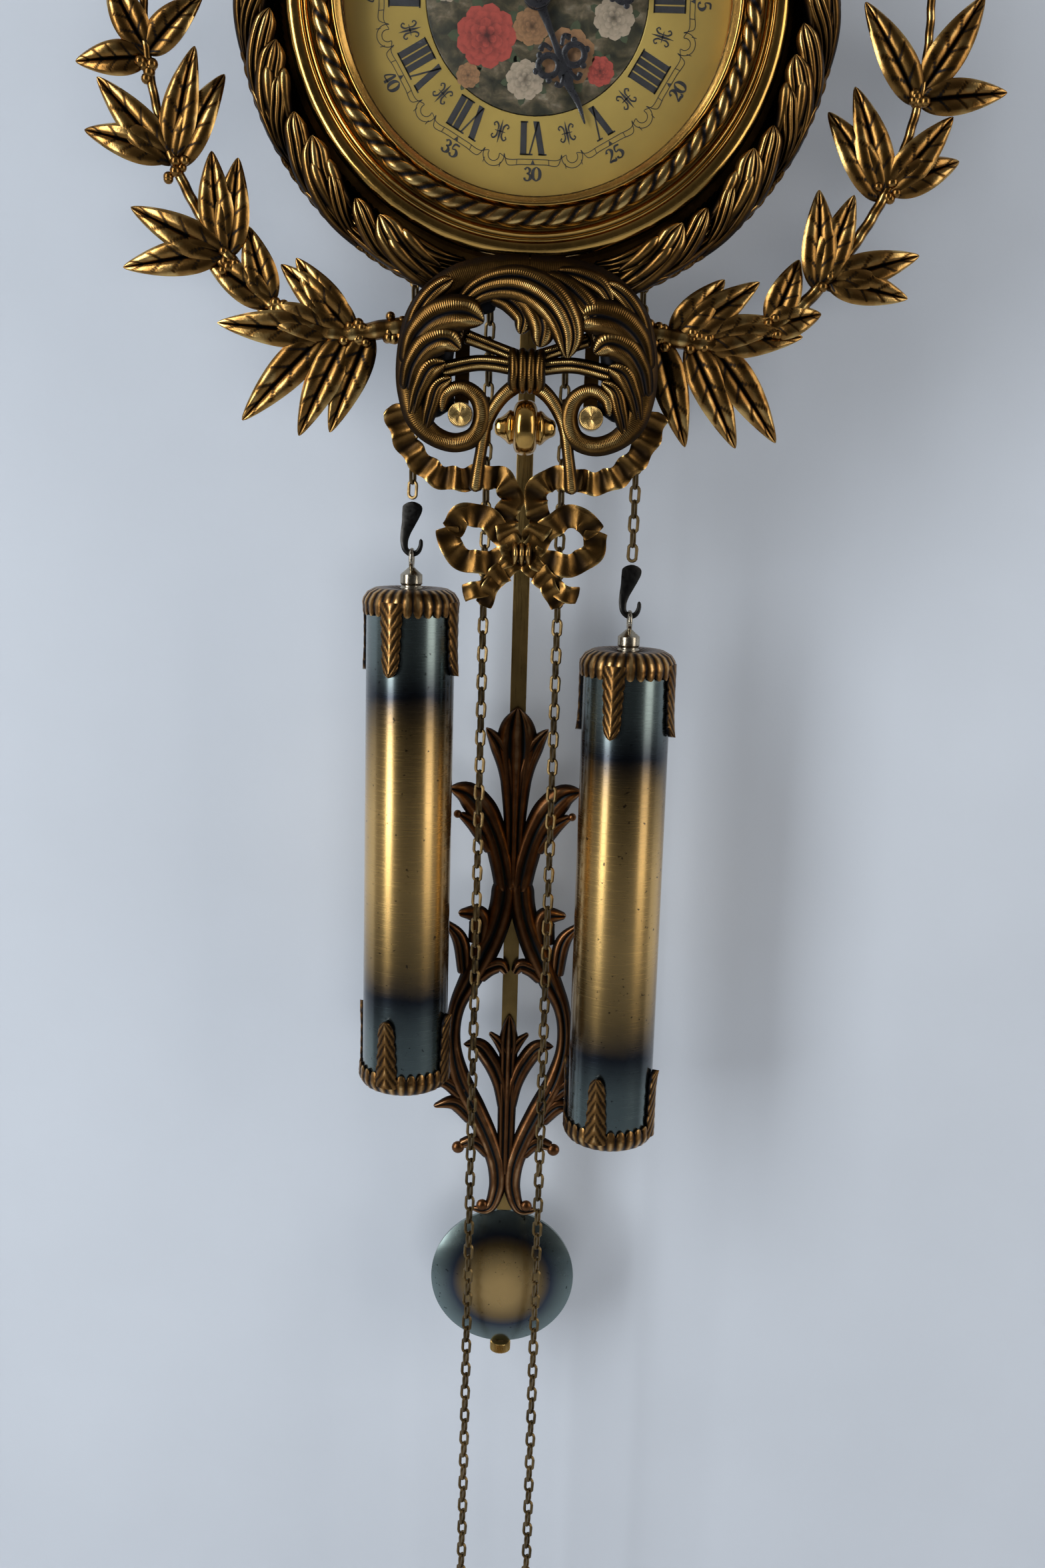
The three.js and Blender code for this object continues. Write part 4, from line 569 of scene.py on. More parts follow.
def polished_finish(name, colour, rough=0.12, dark=0.45, scratches=0.2):
    """Polished and lacquered metal with faint clouds of tarnish and fine scratches."""
    tree, shader, place = start_finish(name, Metallic=1.0)
    shader.inputs["Coat Weight"].default_value = 0.3
    shader.inputs["Coat Roughness"].default_value = 0.08
    cloud = noise(tree, place, 26.0, 5.0)
    tone = ramp(tree, cloud, [(0.3, shade(colour, dark)), (0.55, colour), (0.8, shade(colour, 1.15))])
    fine = noise(tree, place, 420.0, 6.0, 0.7, (1.0, 6.0, 1.0))
    feed(tree, shader, Base_Color=tone, Roughness=spread(tree, fine, 0.3, 0.75, rough * 0.6, rough * 2.1))
    bump(tree, shader, fine, scratches, 0.00008)


def plain_metal_finish(name, colour, rough=0.3, grain=(1.0, 1.0, 1.0), mottled=0.6):
    """Turned or rolled metal with fine grain lines and a mottled tone."""
    tree, shader, place = start_finish(name, Metallic=1.0)
    cloud = noise(tree, place, 70.0, 5.0)
    tone = ramp(tree, cloud, [(0.28, shade(colour, mottled)), (0.6, colour), (0.85, shade(colour, 1.2))])
    lines = noise(tree, place, 600.0, 4.0, 0.6, grain)
    feed(tree, shader, Base_Color=tone, Roughness=spread(tree, lines, 0.3, 0.7, rough * 0.75, rough * 1.4))
    bump(tree, shader, lines, 0.25, 0.00012)


def shaded_lacquer_finish(name, stops, across_rings):
    """Brushed metal under shaded lacquer. The tone follows the relief value, which runs along the
    piece. Fine brushed lines run round it, with black specks where the lacquer is pitted."""
    tree, shader, place = start_finish(name, Metallic=1.0)
    shader.inputs["Coat Weight"].default_value = 0.5
    shader.inputs["Coat Roughness"].default_value = 0.15
    wander = sums(tree, "MULTIPLY", sums(tree, "SUBTRACT", noise(tree, place, 45.0, 4.0), 0.5), 0.05)
    share = sums(tree, "ADD", attribute(tree, "relief"), wander)
    tone = ramp(tree, share, stops)
    specks = ramp(tree, noise(tree, place, 520.0, 2.0, 0.4), [(0.7, (1, 1, 1)), (0.75, (0.05, 0.05, 0.06))])
    lines = noise(tree, place, 60.0, 6.0, 0.7, across_rings)
    feed(tree, shader, Base_Color=overlay(tree, tone, specks, 0.85),
         Roughness=spread(tree, lines, 0.3, 0.7, 0.2, 0.3))
    bump(tree, shader, lines, 0.06, 0.0001)


def dial_finish(colour):
    """Satin gold dial: fine grain, a soft cloud of tarnish and a slightly darker rim."""
    tree, shader, place = start_finish("satin_gold_dial", Metallic=0.55)
    cloud = noise(tree, place, 30.0, 4.0)
    tone = ramp(tree, cloud, [(0.25, shade(colour, 0.82)), (0.7, shade(colour, 1.08))])
    away = add_node(tree, "VectorMath", {0: place}, operation="LENGTH").outputs["Value"]
    rim = ramp(tree, sums(tree, "DIVIDE", away, 0.13), [(0.62, (1, 1, 1)), (0.96, (0.72, 0.66, 0.55))])
    feed(tree, shader, Base_Color=overlay(tree, tone, rim, 1.0))
    shader.inputs["Roughness"].default_value = 0.42
    bump(tree, shader, noise(tree, place, 1800.0, 3.0), 0.12, 0.00008)


def painted_ground_finish():
    """A painted ground of soft clouds over dark foliage: warped noise in browns, greens and creams."""
    tree, shader, place = start_finish("painted_ground", Metallic=0.0, Roughness=0.34)
    shader.inputs["Coat Weight"].default_value = 0.25
    warp = add_node(tree, "TexNoise", {"Vector": place, "Scale": 40.0, "Detail": 3.0}).outputs["Color"]
    bent = add_node(tree, "VectorMath", {0: warp, "Scale": 0.02}, operation="SCALE").outputs[0]
    moved = add_node(tree, "VectorMath", {0: place, 1: bent}, operation="ADD").outputs[0]
    clouds = noise(tree, moved, 75.0, 8.0, 0.6, (1.0, 1.0, 1.7))
    tone = ramp(tree, clouds, [
        (0.34, (0.008, 0.01, 0.008)), (0.45, (0.025, 0.024, 0.014)), (0.52, (0.055, 0.045, 0.026)),
        (0.6, (0.11, 0.09, 0.06)), (0.72, (0.24, 0.22, 0.18))])
    fine = ramp(tree, noise(tree, moved, 420.0, 6.0), [(0.3, (0.55, 0.55, 0.5)), (0.7, (1.15, 1.1, 1.0))])
    feed(tree, shader, Base_Color=overlay(tree, tone, fine, 0.8))
    bump(tree, shader, clouds, 0.15, 0.0002)


def painted_flower_finish(name, dark, light):
    """Brushed paint: the tone runs from the base of a petal to its edge, with fine brush lines."""
    tree, shader, place = start_finish(name, Metallic=0.0, Roughness=0.4)
    cloud = sums(tree, "MULTIPLY", sums(tree, "SUBTRACT", noise(tree, place, 500.0, 5.0), 0.5), 0.9)
    share = sums(tree, "ADD", attribute(tree, "relief"), cloud, True)
    feed(tree, shader, Base_Color=ramp(tree, share, [(0.1, dark), (0.9, light)]))
    bump(tree, shader, cloud, 0.2, 0.0001)


def enamel_finish(name, colour, rough):
    """Dark enamel or print with an uneven tone and a slightly uneven sheen"""
    tree, shader, place = start_finish(name, Metallic=0.0)
    tone = ramp(tree, noise(tree, place, 300.0, 4.0), [(0.3, shade(colour, 0.7)), (0.7, shade(colour, 1.6))])
    sheen = spread(tree, noise(tree, place, 800.0), 0.3, 0.7, rough * 0.8, rough * 1.3)
    feed(tree, shader, Base_Color=tone, Roughness=sheen)
    bump(tree, shader, noise(tree, place, 1500.0), 0.08, 0.00005)


def make_clear(tree, shader, share):
    """Lets rays pass the surface where the share is one"""
    clear = add_node(tree, "BsdfTransparent")
    mixed = add_node(tree, "MixShader", {0: share, 1: shader.outputs[0], 2: clear.outputs[0]})
    output = next(n for n in tree.nodes if n.type == "OUTPUT_MATERIAL")
    tree.links.new(mixed.outputs[0], output.inputs[0])


def glass_finish():
    """Clear domed glass with faint dust. Shadow rays pass it, so the dial under it stays lit."""
    tree, shader, place = start_finish("clear_glass", Metallic=0.0, IOR=1.5)
    shader.inputs["Transmission Weight"].default_value = 1.0
    shader.inputs["Base Color"].default_value = (0.97, 0.98, 0.98, 1)
    dust = spread(tree, noise(tree, place, 90.0, 6.0), 0.62, 0.85, 0.0, 0.015)
    feed(tree, shader, Roughness=dust)
    make_clear(tree, shader, add_node(tree, "LightPath").outputs["Is Shadow Ray"])


def wall_finish(colour):
    """Painted plaster: a soft uneven tone and a fine roller texture. It is clear from behind and for
    the shortest rays, so that the clock's back is seen and lit too."""
    tree, shader, place = start_finish("pale_plaster", Metallic=0.0, Roughness=0.85)
    tone = ramp(tree, noise(tree, place, 3.0, 4.0), [(0.3, shade(colour, 0.93)), (0.7, shade(colour, 1.04))])
    bump(tree, shader, noise(tree, place, 300.0, 4.0), 0.12, 0.0006)
    feed(tree, shader, Base_Color=tone)
    behind = add_node(tree, "NewGeometry").outputs["Backfacing"]
    near = sums(tree, "LESS_THAN", add_node(tree, "LightPath").outputs["Ray Length"], NEAR_WALL)
    make_clear(tree, shader, sums(tree, "MAXIMUM", behind, near))


def make_finishes(colours):
    """Makes every finish from the user's colours"""
    c = {key: tuple(getattr(colours, key)) for key in ClockColours.__annotations__}
    teal, navy, gold = c["teal"], c["navy"], c["weight_gold"]
    cast_finish("cast_gilt", c["patina"], c["gilt"], c["gilt_worn"])
    cast_finish("chased_gilt", c["patina"], shade(c["gilt"], 0.72), shade(c["gilt_worn"], 0.82), hatch=0.22)
    cast_finish("cast_copper", COPPER_PATINA_AND_SHADE, c["copper"], c["copper_worn"], rough=(0.6, 0.3))
    cast_finish("cast_antique", c["patina"], c["antique"], c["antique_worn"], rough=(0.55, 0.3))
    polished_finish("polished_gilt", c["polished"])
    # The rim's gilt is a lighter copy of the polished gilt: a painted highlight
    polished_finish("rim_gilt", shade(c["polished"], 1.25), 0.16, 0.75, 0.1)
    plain_metal_finish("brass", c["brass"])
    plain_metal_finish("rod_brass", shade(c["brass"], 0.8), 0.34, grain=(6.0, 1.0, 0.15))
    plain_metal_finish("case_gilt", shade(c["gilt"], 0.8), 0.38, mottled=0.4)
    plain_metal_finish("chain_brass", c["chain"], 0.36, mottled=0.35)
    plain_metal_finish("dark_steel", c["steel"], 0.36, mottled=0.5)
    plain_metal_finish("nickel", c["nickel"], 0.22, mottled=0.7)
    dial_finish(c["dial"])
    painted_ground_finish()
    enamel_finish("dial_print", c["print"], 0.5)
    enamel_finish("black_hands", c["print"], 0.3)
    end = [(0.0, teal), (0.11, shade(teal, 0.75)), (0.19, navy), (0.27, shade(gold, 0.45)), (0.42, gold)]
    other_end = [(1 - at, tone) for at, tone in reversed(end)]
    shaded_lacquer_finish("weight_lacquer", end + other_end, (1.0, 1.0, 30.0))
    shaded_lacquer_finish("bob_lacquer", [
        (0.0, shade(gold, 0.8)), (0.34, shade(gold, 0.6)), (0.56, shade(gold, 0.28)),
        (0.7, shade(navy, 2.5)), (0.84, shade(teal, 0.7)), (1.0, shade(teal, 1.2))], (1.0, 1.0, 1.0))
    glass_finish()
    wall_finish(c["wall"])
    painted_flower_finish("petal_red", (0.03, 0.006, 0.005), (0.24, 0.04, 0.028))
    painted_flower_finish("petal_cream", (0.05, 0.04, 0.026), (0.25, 0.2, 0.145))
    painted_flower_finish("petal_ochre", (0.04, 0.02, 0.009), (0.19, 0.1, 0.045))
    painted_flower_finish("painted_leaf", (0.008, 0.012, 0.007), (0.035, 0.045, 0.022))


def dress(nodes, finish):
    """Gives CAD nodes that are shown as they are their finish."""
    for name in nodes:
        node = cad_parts[name]
        node.data.materials.clear()
        node.data.materials.append(finishes[finish])


# Dial

GLYPH_HEIGHT = 13.0
NUMERAL_FOOT = 46.6
THICK, THIN, SERIF = 2.5, 0.65, 0.6
GLYPH_WIDTHS = {"I": 3.1, "V": 7.6, "X": 7.6}
HOURS = ["XII", "I", "II", "III", "IIII", "V", "VI", "VII", "VIII", "IX", "X", "XI"]
TRACK_INNER, TRACK_OUTER = 61.2, 63.2
LOBE_RADIUS = 4.3
DIGIT_HEIGHT = 5.3
PRINT_DEPTH = 0.12
PRINT_LIFT = 0.02
NUMBER_GAP = 1.0
FLEURON_RADIUS = 52.5
SQUARE_SECTION = np.array([[1, 1, 1], [-1, 1, 1], [-1, -1, 1], [1, -1, 1]], float)


def glyph_bars(letter, x):
    """Corners of the bars of a roman letter, whose left edge is at x."""
    wide, h = GLYPH_WIDTHS[letter], GLYPH_HEIGHT

    def leg(foot, head, thick):
        """A bar from the foot of the letter to its head"""
        return [[foot, 0], [foot + thick, 0], [head + thick, h], [head, h]]

    def serif(middle, level, reach):
        """A thin bar across the end of a leg"""
        low, high = middle - reach, middle + reach
        return [[low, level], [high, level], [high, level + SERIF], [low, level + SERIF]]

    top = h - SERIF
    bars = {
        "I": [leg(0.5, 0.5, THICK), serif(wide / 2, 0, wide / 2), serif(wide / 2, top, wide / 2)],
        "V": [leg(wide / 2 - 0.7, 0.5, THICK), leg(wide / 2 - THIN, wide - 1, THIN), serif(1.5, top, 1.7),
              serif(wide - 0.8, top, 1.3)],
        "X": [leg(wide - THICK - 0.8, 0.5, THICK), leg(0.8, wide - 1.2, THIN), serif(1.5, top, 1.6),
              serif(wide - 1, top, 1.3), serif(wide - 1.8, 0, 1.6), serif(1, 0, 1.3)],
    }[letter]
    return [np.array(bar, float) + [x, 0] for bar in bars]


def on_dial(points, clock, foot):
    """Turns [along the ring, outwards] points to their place at a clock angle in degrees."""
    points = np.asarray(points, float)
    turn = np.radians(clock)
    out = foot + points[..., 1]
    return np.stack([out * np.sin(turn) + points[..., 0] * np.cos(turn),
                     out * np.cos(turn) - points[..., 0] * np.sin(turn)], -1)


def dial_line(points, halves, steps=0):
    """A thin printed line through [x, z] points, with its half width at each point."""
    halves = np.broadcast_to(halves, len(points))
    half_deep = PRINT_DEPTH / 2
    rows = [[x, DIAL_FRONT + half_deep, z, half, half_deep] for (x, z), half in zip(points, halves)]
    return stroke(rows, SQUARE_SECTION, steps or max(12, 4 * len(rows)), (0, 0))


# across, up, half width, in hundredths of the digit's height
DIGIT_SHARES = {
    "0": [[30, 0, 3], [8, 20, 8], [2, 50, 10], [8, 80, 8], [30, 100, 3], [52, 80, 8], [58, 50, 10],
          [52, 20, 8], [30, 0, 3]],
    "1": [[10, 80, 3], [24, 86, 5], [32, 100, 7], [32, 50, 8], [32, 0, 8]],
    "2": [[8, 74, 8], [14, 94, 4], [34, 98, 4], [50, 80, 9], [44, 55, 8], [22, 28, 4], [5, 6, 4],
          [30, 8, 7], [56, 5, 7], [58, 22, 2]],
    "3": [[8, 82, 7], [28, 98, 4], [48, 80, 8], [42, 60, 5], [24, 54, 3], [46, 46, 6], [54, 26, 10],
          [32, 2, 4], [10, 10, 6], [7, 24, 7]],
    "4": [[56, 26, 3], [4, 26, 4], [40, 100, 5], [42, 50, 8], [42, 0, 8]],
    "5": [[52, 96, 5], [16, 94, 6], [12, 54, 3], [34, 60, 5], [55, 32, 10], [34, 3, 4], [10, 10, 6],
          [6, 22, 7]],
    "6": [[50, 86, 6], [32, 98, 3], [8, 60, 8], [8, 26, 9], [30, 2, 3], [54, 28, 9], [34, 56, 3],
          [10, 40, 4]],
}


def digits(word, clock):
    """Minute numbers outside the track. Those in the lower half stand with their heads inwards."""
    parts = []
    flip = 90 < clock < 270
    for i, digit in enumerate(word):
        rows = hundredths(DIGIT_SHARES[digit]) * DIGIT_HEIGHT
        rows[:, 0] += (i - len(word) / 2) * 0.68 * DIGIT_HEIGHT
        if flip:
            rows[:, :2] = -rows[:, :2] + [0, DIGIT_HEIGHT]
        places = on_dial(rows[:, :2], clock, TRACK_OUTER + NUMBER_GAP)
        parts.append(dial_line(places, 1.3 * rows[:, 2], 36))
    return parts


def track_points(chord, lobe):
    """One loop round the dial: a straight stretch at each hour and a lobe between two hours, which is
    an arc of a circle centred on the track."""
    points = []
    middle = TRACK_INNER + 0.6
    for hour in range(12):
        clock = 30 * hour
        points += [on_dial([u, 0], clock, chord) for u in (-10.4, -5, 0, 5, 10.4)]
        bend = np.linspace(-112, 112, 13)
        ring = np.stack([lobe * np.sin(np.radians(bend)), lobe * np.cos(np.radians(bend))], -1)
        points += list(on_dial(ring, clock + 15, middle))
    return points


# along the ring, outwards, half width
CURL = [[1, 0.2, 0.2], [1.1, 2, 0.34], [2.2, 3.1, 0.3], [3.1, 2.2, 0.22], [2.5, 1.6, 0.3]]


def fleuron(clock):
    """A small printed scroll ornament: an upright spindle with two curls at each side."""
    parts = []
    strips = [[[0, -4.6, 0.05], [0, 0, 0.5], [0, 4.6, 0.05]], [[-2.2, 0, 0.1], [0, 0, 0.3], [2.2, 0, 0.1]]]
    for side in (-1, 1):
        for up in (-1, 1):
            strips.append(np.array(CURL) * [side, up, 1])
    for strip in strips:
        rows = np.array(strip)
        parts.append(dial_line(on_dial(rows[:, :2], clock, FLEURON_RADIUS), rows[:, 2], 18))
    return parts


def dial_print():
    """Numerals, minute numbers, fleurons and hour pointers, with the two lines of the minute track."""
    parts = []
    plane = DIAL_FRONT + PRINT_LIFT
    for hour, word in enumerate(HOURS):
        clock = 30 * hour
        x = -sum(GLYPH_WIDTHS[letter] for letter in word) / 2
        for letter in word:
            for bar in glyph_bars(letter, x):
                parts.append(slab(on_dial(bar, clock, NUMERAL_FOOT), plane, PRINT_DEPTH))
            x += GLYPH_WIDTHS[letter]
        parts += digits(str(5 * hour or 60), clock)
        parts += fleuron(clock + 15)
        pointer = on_dial([[-0.9, 0], [0.9, 0], [0, -1.9]], clock, TRACK_OUTER)
        parts.append(slab(pointer, plane, PRINT_DEPTH))
        for step, reach in ((-12, 2.6), (-6, 0.35), (6, 0.35), (12, 2.6)):
            parts.append(dial_line(on_dial([[0, reach], [0, reach + 2]], clock + step, TRACK_INNER), 0.13))
    for chord, lobe in ((TRACK_INNER, LOBE_RADIUS - 2), (TRACK_OUTER, LOBE_RADIUS)):
        points = track_points(chord, lobe)
        parts.append(dial_line(points + points[:1], 0.14))
    return parts


CENTRE_BORE = 4.6
LEAF_LIFT = 0.06
PETAL_LIFT = 0.1
# number of petals and share of the flower's radius, from the outer ring inwards
PETAL_RINGS = ((9, 1.0), (8, 0.78), (6, 0.55), (5, 0.34))
# x, z, radius, finish
FLOWER_PLACES = [
    [-20, -15, 12.5, "petal_red"], [13, -22, 11.5, "petal_ochre"], [-4, -31, 8, "petal_cream"],
    [31, -7, 8.5, "petal_cream"], [-2, -11, 7.5, "petal_ochre"], [-36, 3, 6, "petal_cream"],
    [26, -27, 6, "petal_red"], [-27, -30, 5, "petal_ochre"], [30, 15, 7, "petal_red"],
    [-29, 19, 8, "petal_ochre"], [-12, 31, 7.5, "petal_cream"], [12, 30, 8.5, "petal_red"],
]


def petal(x, z, heading, length, half, level):
    """A flat painted petal: its width grows evenly and ends in a quarter ellipse, with a wavy edge."""
    t = np.linspace(0, 1, 10)[:, None]
    s = np.linspace(-1, 1, 7)[None, :]
    tip = np.sqrt(np.clip(1 - (np.clip(t - 0.6, 0, 1) / 0.4) ** 2, 0, 1))
    width = half * np.minimum(0.2 + 1.35 * t, 1) * tip * (1 + 0.06 * np.cos(14 * t)) + 0.01
    turn = np.radians(heading)
    along = t * length
    outline = np.concatenate([s * width, -s * width], 1)
    levels = np.concatenate([level + 0 * s * t, level - 0.08 + 0 * s * t], 1)
    rings = np.stack([x + along * np.cos(turn) - outline * np.sin(turn), levels,
                      z + along * np.sin(turn) + outline * np.cos(turn)], -1)
    return loft(rings, np.tile(t, (1, 14)))


class CLOCK_OT_dial(bpy.types.Operator):
    """Finishes the chapter ring, paints the centre and prints numerals, track and ornaments"""

    bl_idname = "clock.dial"
    bl_label = "Dial"

    def execute(self, context):
        ring = washer(CENTRE_RADIUS + 0.4, DIAL_RADIUS, back_of("dial_chapter_ring"), DIAL_FRONT, 0.3)
        make_piece("chapter_ring", [turned(ring)], "satin_gold_dial", "case", ["dial_chapter_ring"])
        make_piece("dial_numerals", dial_print(), "dial_print", "case")
        centre = washer(CENTRE_BORE, CENTRE_RADIUS, back_of("dial_centre_disc"), DIAL_FRONT, 0.2)
        make_piece("painted_centre", [turned(centre)], "painted_ground", "case", ["dial_centre_disc"])
        groups = {"petal_red": [], "petal_cream": [], "petal_ochre": [], "painted_leaf": []}
        for i, (x, z, size, tone) in enumerate(FLOWER_PLACES):
            for k in range(5):
                heading = 40 * i + 72 * k + 36
                leaf = petal(x, z, heading, size * 1.25, size * 0.2, DIAL_FRONT + LEAF_LIFT)
                groups["painted_leaf"].append(leaf)
            for ring, (count, reach) in enumerate(PETAL_RINGS):
                for k in range(count):
                    heading = 25 * i + 17 * ring + 360 * k / count
                    groups[tone].append(petal(x, z, heading, size * reach, size * 0.34 * reach,
                                              DIAL_FRONT + PETAL_LIFT + 0.05 * ring + 0.003 * k))
        for tone, parts in groups.items():
            make_piece("painted_" + tone, parts, tone, "case")
        return {"FINISHED"}


# Hands

BOSS_RADIUS = 5.6
RING_PLACE = 5.6
KNOB_REACH = 5.4
KNOB_ANGLES = np.radians((-70, 0, 70))
# across, above the hand's middle, half width
HAND_CURLS = (
    [[2, -5, 0.8], [4.6, -8, 1], [6.6, -6.4, 1.3]],
    [[1, 5, 0.9], [4, 8.6, 1], [5.6, 7, 1.2]],
)
# node, length, clock angle, bore, body
HANDS = (("hour_hand", 52.0, 156.5, 3.4, "hour_arbor"), ("minute_hand", 68.0, 78.0, 2.4, "minute_arbor"))


def hand(length, clock, level, thick):
    """A serpentine hand in flat strokes: a stem, two pierced rings with knobs at its middle, curls
    below and above them, and a blade that tapers in a slight curve."""
    turn = np.radians(clock)
    flat = band_section(5)

    def lay(rows, **options):
        """A flat stroke along [across, up, half width] rows of the hand at twelve"""
        rows = np.array(rows, float)
        x = rows[:, 0] * np.cos(turn) + rows[:, 1] * np.sin(turn)
        z = -rows[:, 0] * np.sin(turn) + rows[:, 1] * np.cos(turn)
        return stroke(np.stack([x, level + 0 * x, z, rows[:, 2], thick + 0 * x], -1), flat, 40, **options)

    middle = 0.5 * length
    parts = [
        lay([[0, 0, 2.6], [0, 0.2 * length, 1.5], [0, middle - 5, 1.3], [0, middle + 2, 2.2]]),
        lay([[0, middle, 2], [0.4, middle + 6, 3], [0.6, middle + 10, 1.8], [-0.3, 0.82 * length, 1.2],
             [0, length, 0.35]], blunt=(0.05, 0.02)),
    ]
    angle = np.linspace(0, TURN, 13)
    for side in (-1, 1):
        ring = [[side * RING_PLACE + 4.1 * np.cos(a), middle + 3.9 * np.sin(a), 1.25] for a in angle]
        parts.append(lay(ring, blunt=(0, 0)))
        for curl in HAND_CURLS:
            parts.append(lay([[side * across, middle + up, half] for across, up, half in curl]))
        for knob in KNOB_ANGLES:
            x = side * (RING_PLACE + KNOB_REACH * math.cos(knob))
            z = middle + KNOB_REACH * math.sin(knob)
            place = (x * math.cos(turn) + z * math.sin(turn), level,
                     -x * math.sin(turn) + z * math.cos(turn))
            parts.append(ball(place, (1.35, thick, 1.35), 1.0, 8))
    return parts


class CLOCK_OT_hands(bpy.types.Operator):
    """Makes the two pierced serpentine hands and their boss"""

    bl_idname = "clock.hands"
    bl_label = "Hands"

    def execute(self, context):
        for node, length, clock, bore, body in HANDS:
            level, thick = depth_of(node)
            boss = turned(washer(bore, BOSS_RADIUS, level - thick, level + thick, 0.3), 64)
            parts = hand(length, clock, level, thick * 0.8) + [boss]
            make_piece("pierced_" + node, parts, "black_hands", body, [node])
        dress(["hand_nut"], "brass")
        return {"FINISHED"}


# Bezel, rope moulding, glass rim and glass

ROPE_GAP = 0.5
ROPE_SEAT = 4.9
ROPE_RISE = 2.6
LEDGE_GAP = 0.3
GLASS_LAP = 2.2
DRUM_SEAT = 88.4
DRUM_OVERLAP = 6.0
ROLL_RADIUS = 4.1
RIM_DEPTH = 7.7
HINGE_RADIUS = 1.9
HINGE_BORE = 1.1
DOME_RISE = 8.5
DOME_FLANGE = 4.4
GLASS_THICKNESS = 1.2


def arc(centre, radii, start, end, steps):
    """Rows along an ellipse about the centre between two angles in degrees."""
    angle = np.radians(np.linspace(start, end, steps))
    return np.stack([centre[0] + radii[0] * np.cos(angle), centre[1] + radii[1] * np.sin(angle)], -1).tolist()


def bezel_profile(edge, seat):
    """Outline of the bezel: a seat for the rim, a ledge for the rope, then a cove, a fillet and a
    round roll, and a step that holds the drum."""
    inner, step = GLASS_RADIUS - GLASS_LAP, RIM_RADIUS + LEDGE_GAP
    cove = arc([edge + 3.3, BEZEL_FRONT - 0.4], [-2.4, -2.6], 5, 85, 10)
    fillet = arc([cove[-1][0] + 0.95, cove[-1][1] + 0.5], [0.8, 0.8], 160, 10, 9)
    roll = arc([BEZEL_RADIUS - ROLL_RADIUS, BEZEL_FRONT - 6.4], [ROLL_RADIUS, ROLL_RADIUS], 170, -20, 22)
    low = BEZEL_BACK - DRUM_OVERLAP
    return [[inner, BEZEL_BACK], [inner, RIM_BACK - LEDGE_GAP], [step, RIM_BACK - LEDGE_GAP], [step, seat],
            [edge, seat], [edge, BEZEL_FRONT - 0.3], [edge + 0.3, BEZEL_FRONT], [edge + 0.9, BEZEL_FRONT],
            *cove, *fillet, *roll, [BEZEL_RADIUS, low], [DRUM_SEAT, low], [DRUM_SEAT, BEZEL_BACK]]


def rope_part(centre, half, seat, strands):
    """A twisted rope: a round cord whose section swells where a strand crosses it. The swelling is
    the power of a cosine of the angle round the cord plus half the strands' turns round the ring."""
    along = even_angles(864)[:, None]
    cord = even_angles(20)[None, :]
    phase = along * strands / 2 + cord
    lobe = np.abs(np.cos(phase)) ** 0.55
    small = np.abs(np.cos(phase + 0.95)) ** 3 * 0.25
    swell = 0.62 + 0.38 * np.maximum(lobe, small)
    radius = centre + half * swell * np.cos(cord)
    front = seat + ROPE_RISE + ROPE_RISE * swell * np.sin(cord)
    rings = np.stack([radius * np.sin(along), front, radius * np.cos(along)], -1)
    # The relief peaks on each strand's crest: a painted highlight there and painted shade between strands,
    # over rubbing and toning
    return loft(rings, np.clip(lobe * 1.55 - 0.4, 0, 1), loop=True)


class CLOCK_OT_bezel(bpy.types.Operator):
    """Makes the stepped and polished bezel ring and the twisted rope moulding on its ledge"""

    bl_idname = "clock.bezel"
    bl_label = "Bezel and Rope"

    def execute(self, context):
        sizes = context.scene.clock_sizes
        half = sizes.rope_half_width / MM
        centre = RIM_RADIUS + ROPE_GAP + half
        seat = front_of("rope_moulding") - ROPE_SEAT
        profile = bezel_profile(centre + half + ROPE_GAP, seat)
        make_piece("stepped_bezel", [turned(profile, 256)], "polished_gilt", "case", ["bezel_ring"],
                   sharp=35)
        make_piece("twisted_rope", [rope_part(centre, half, seat, sizes.rope_strands)], "cast_gilt", "case",
                   ["rope_moulding"])
        return {"FINISHED"}


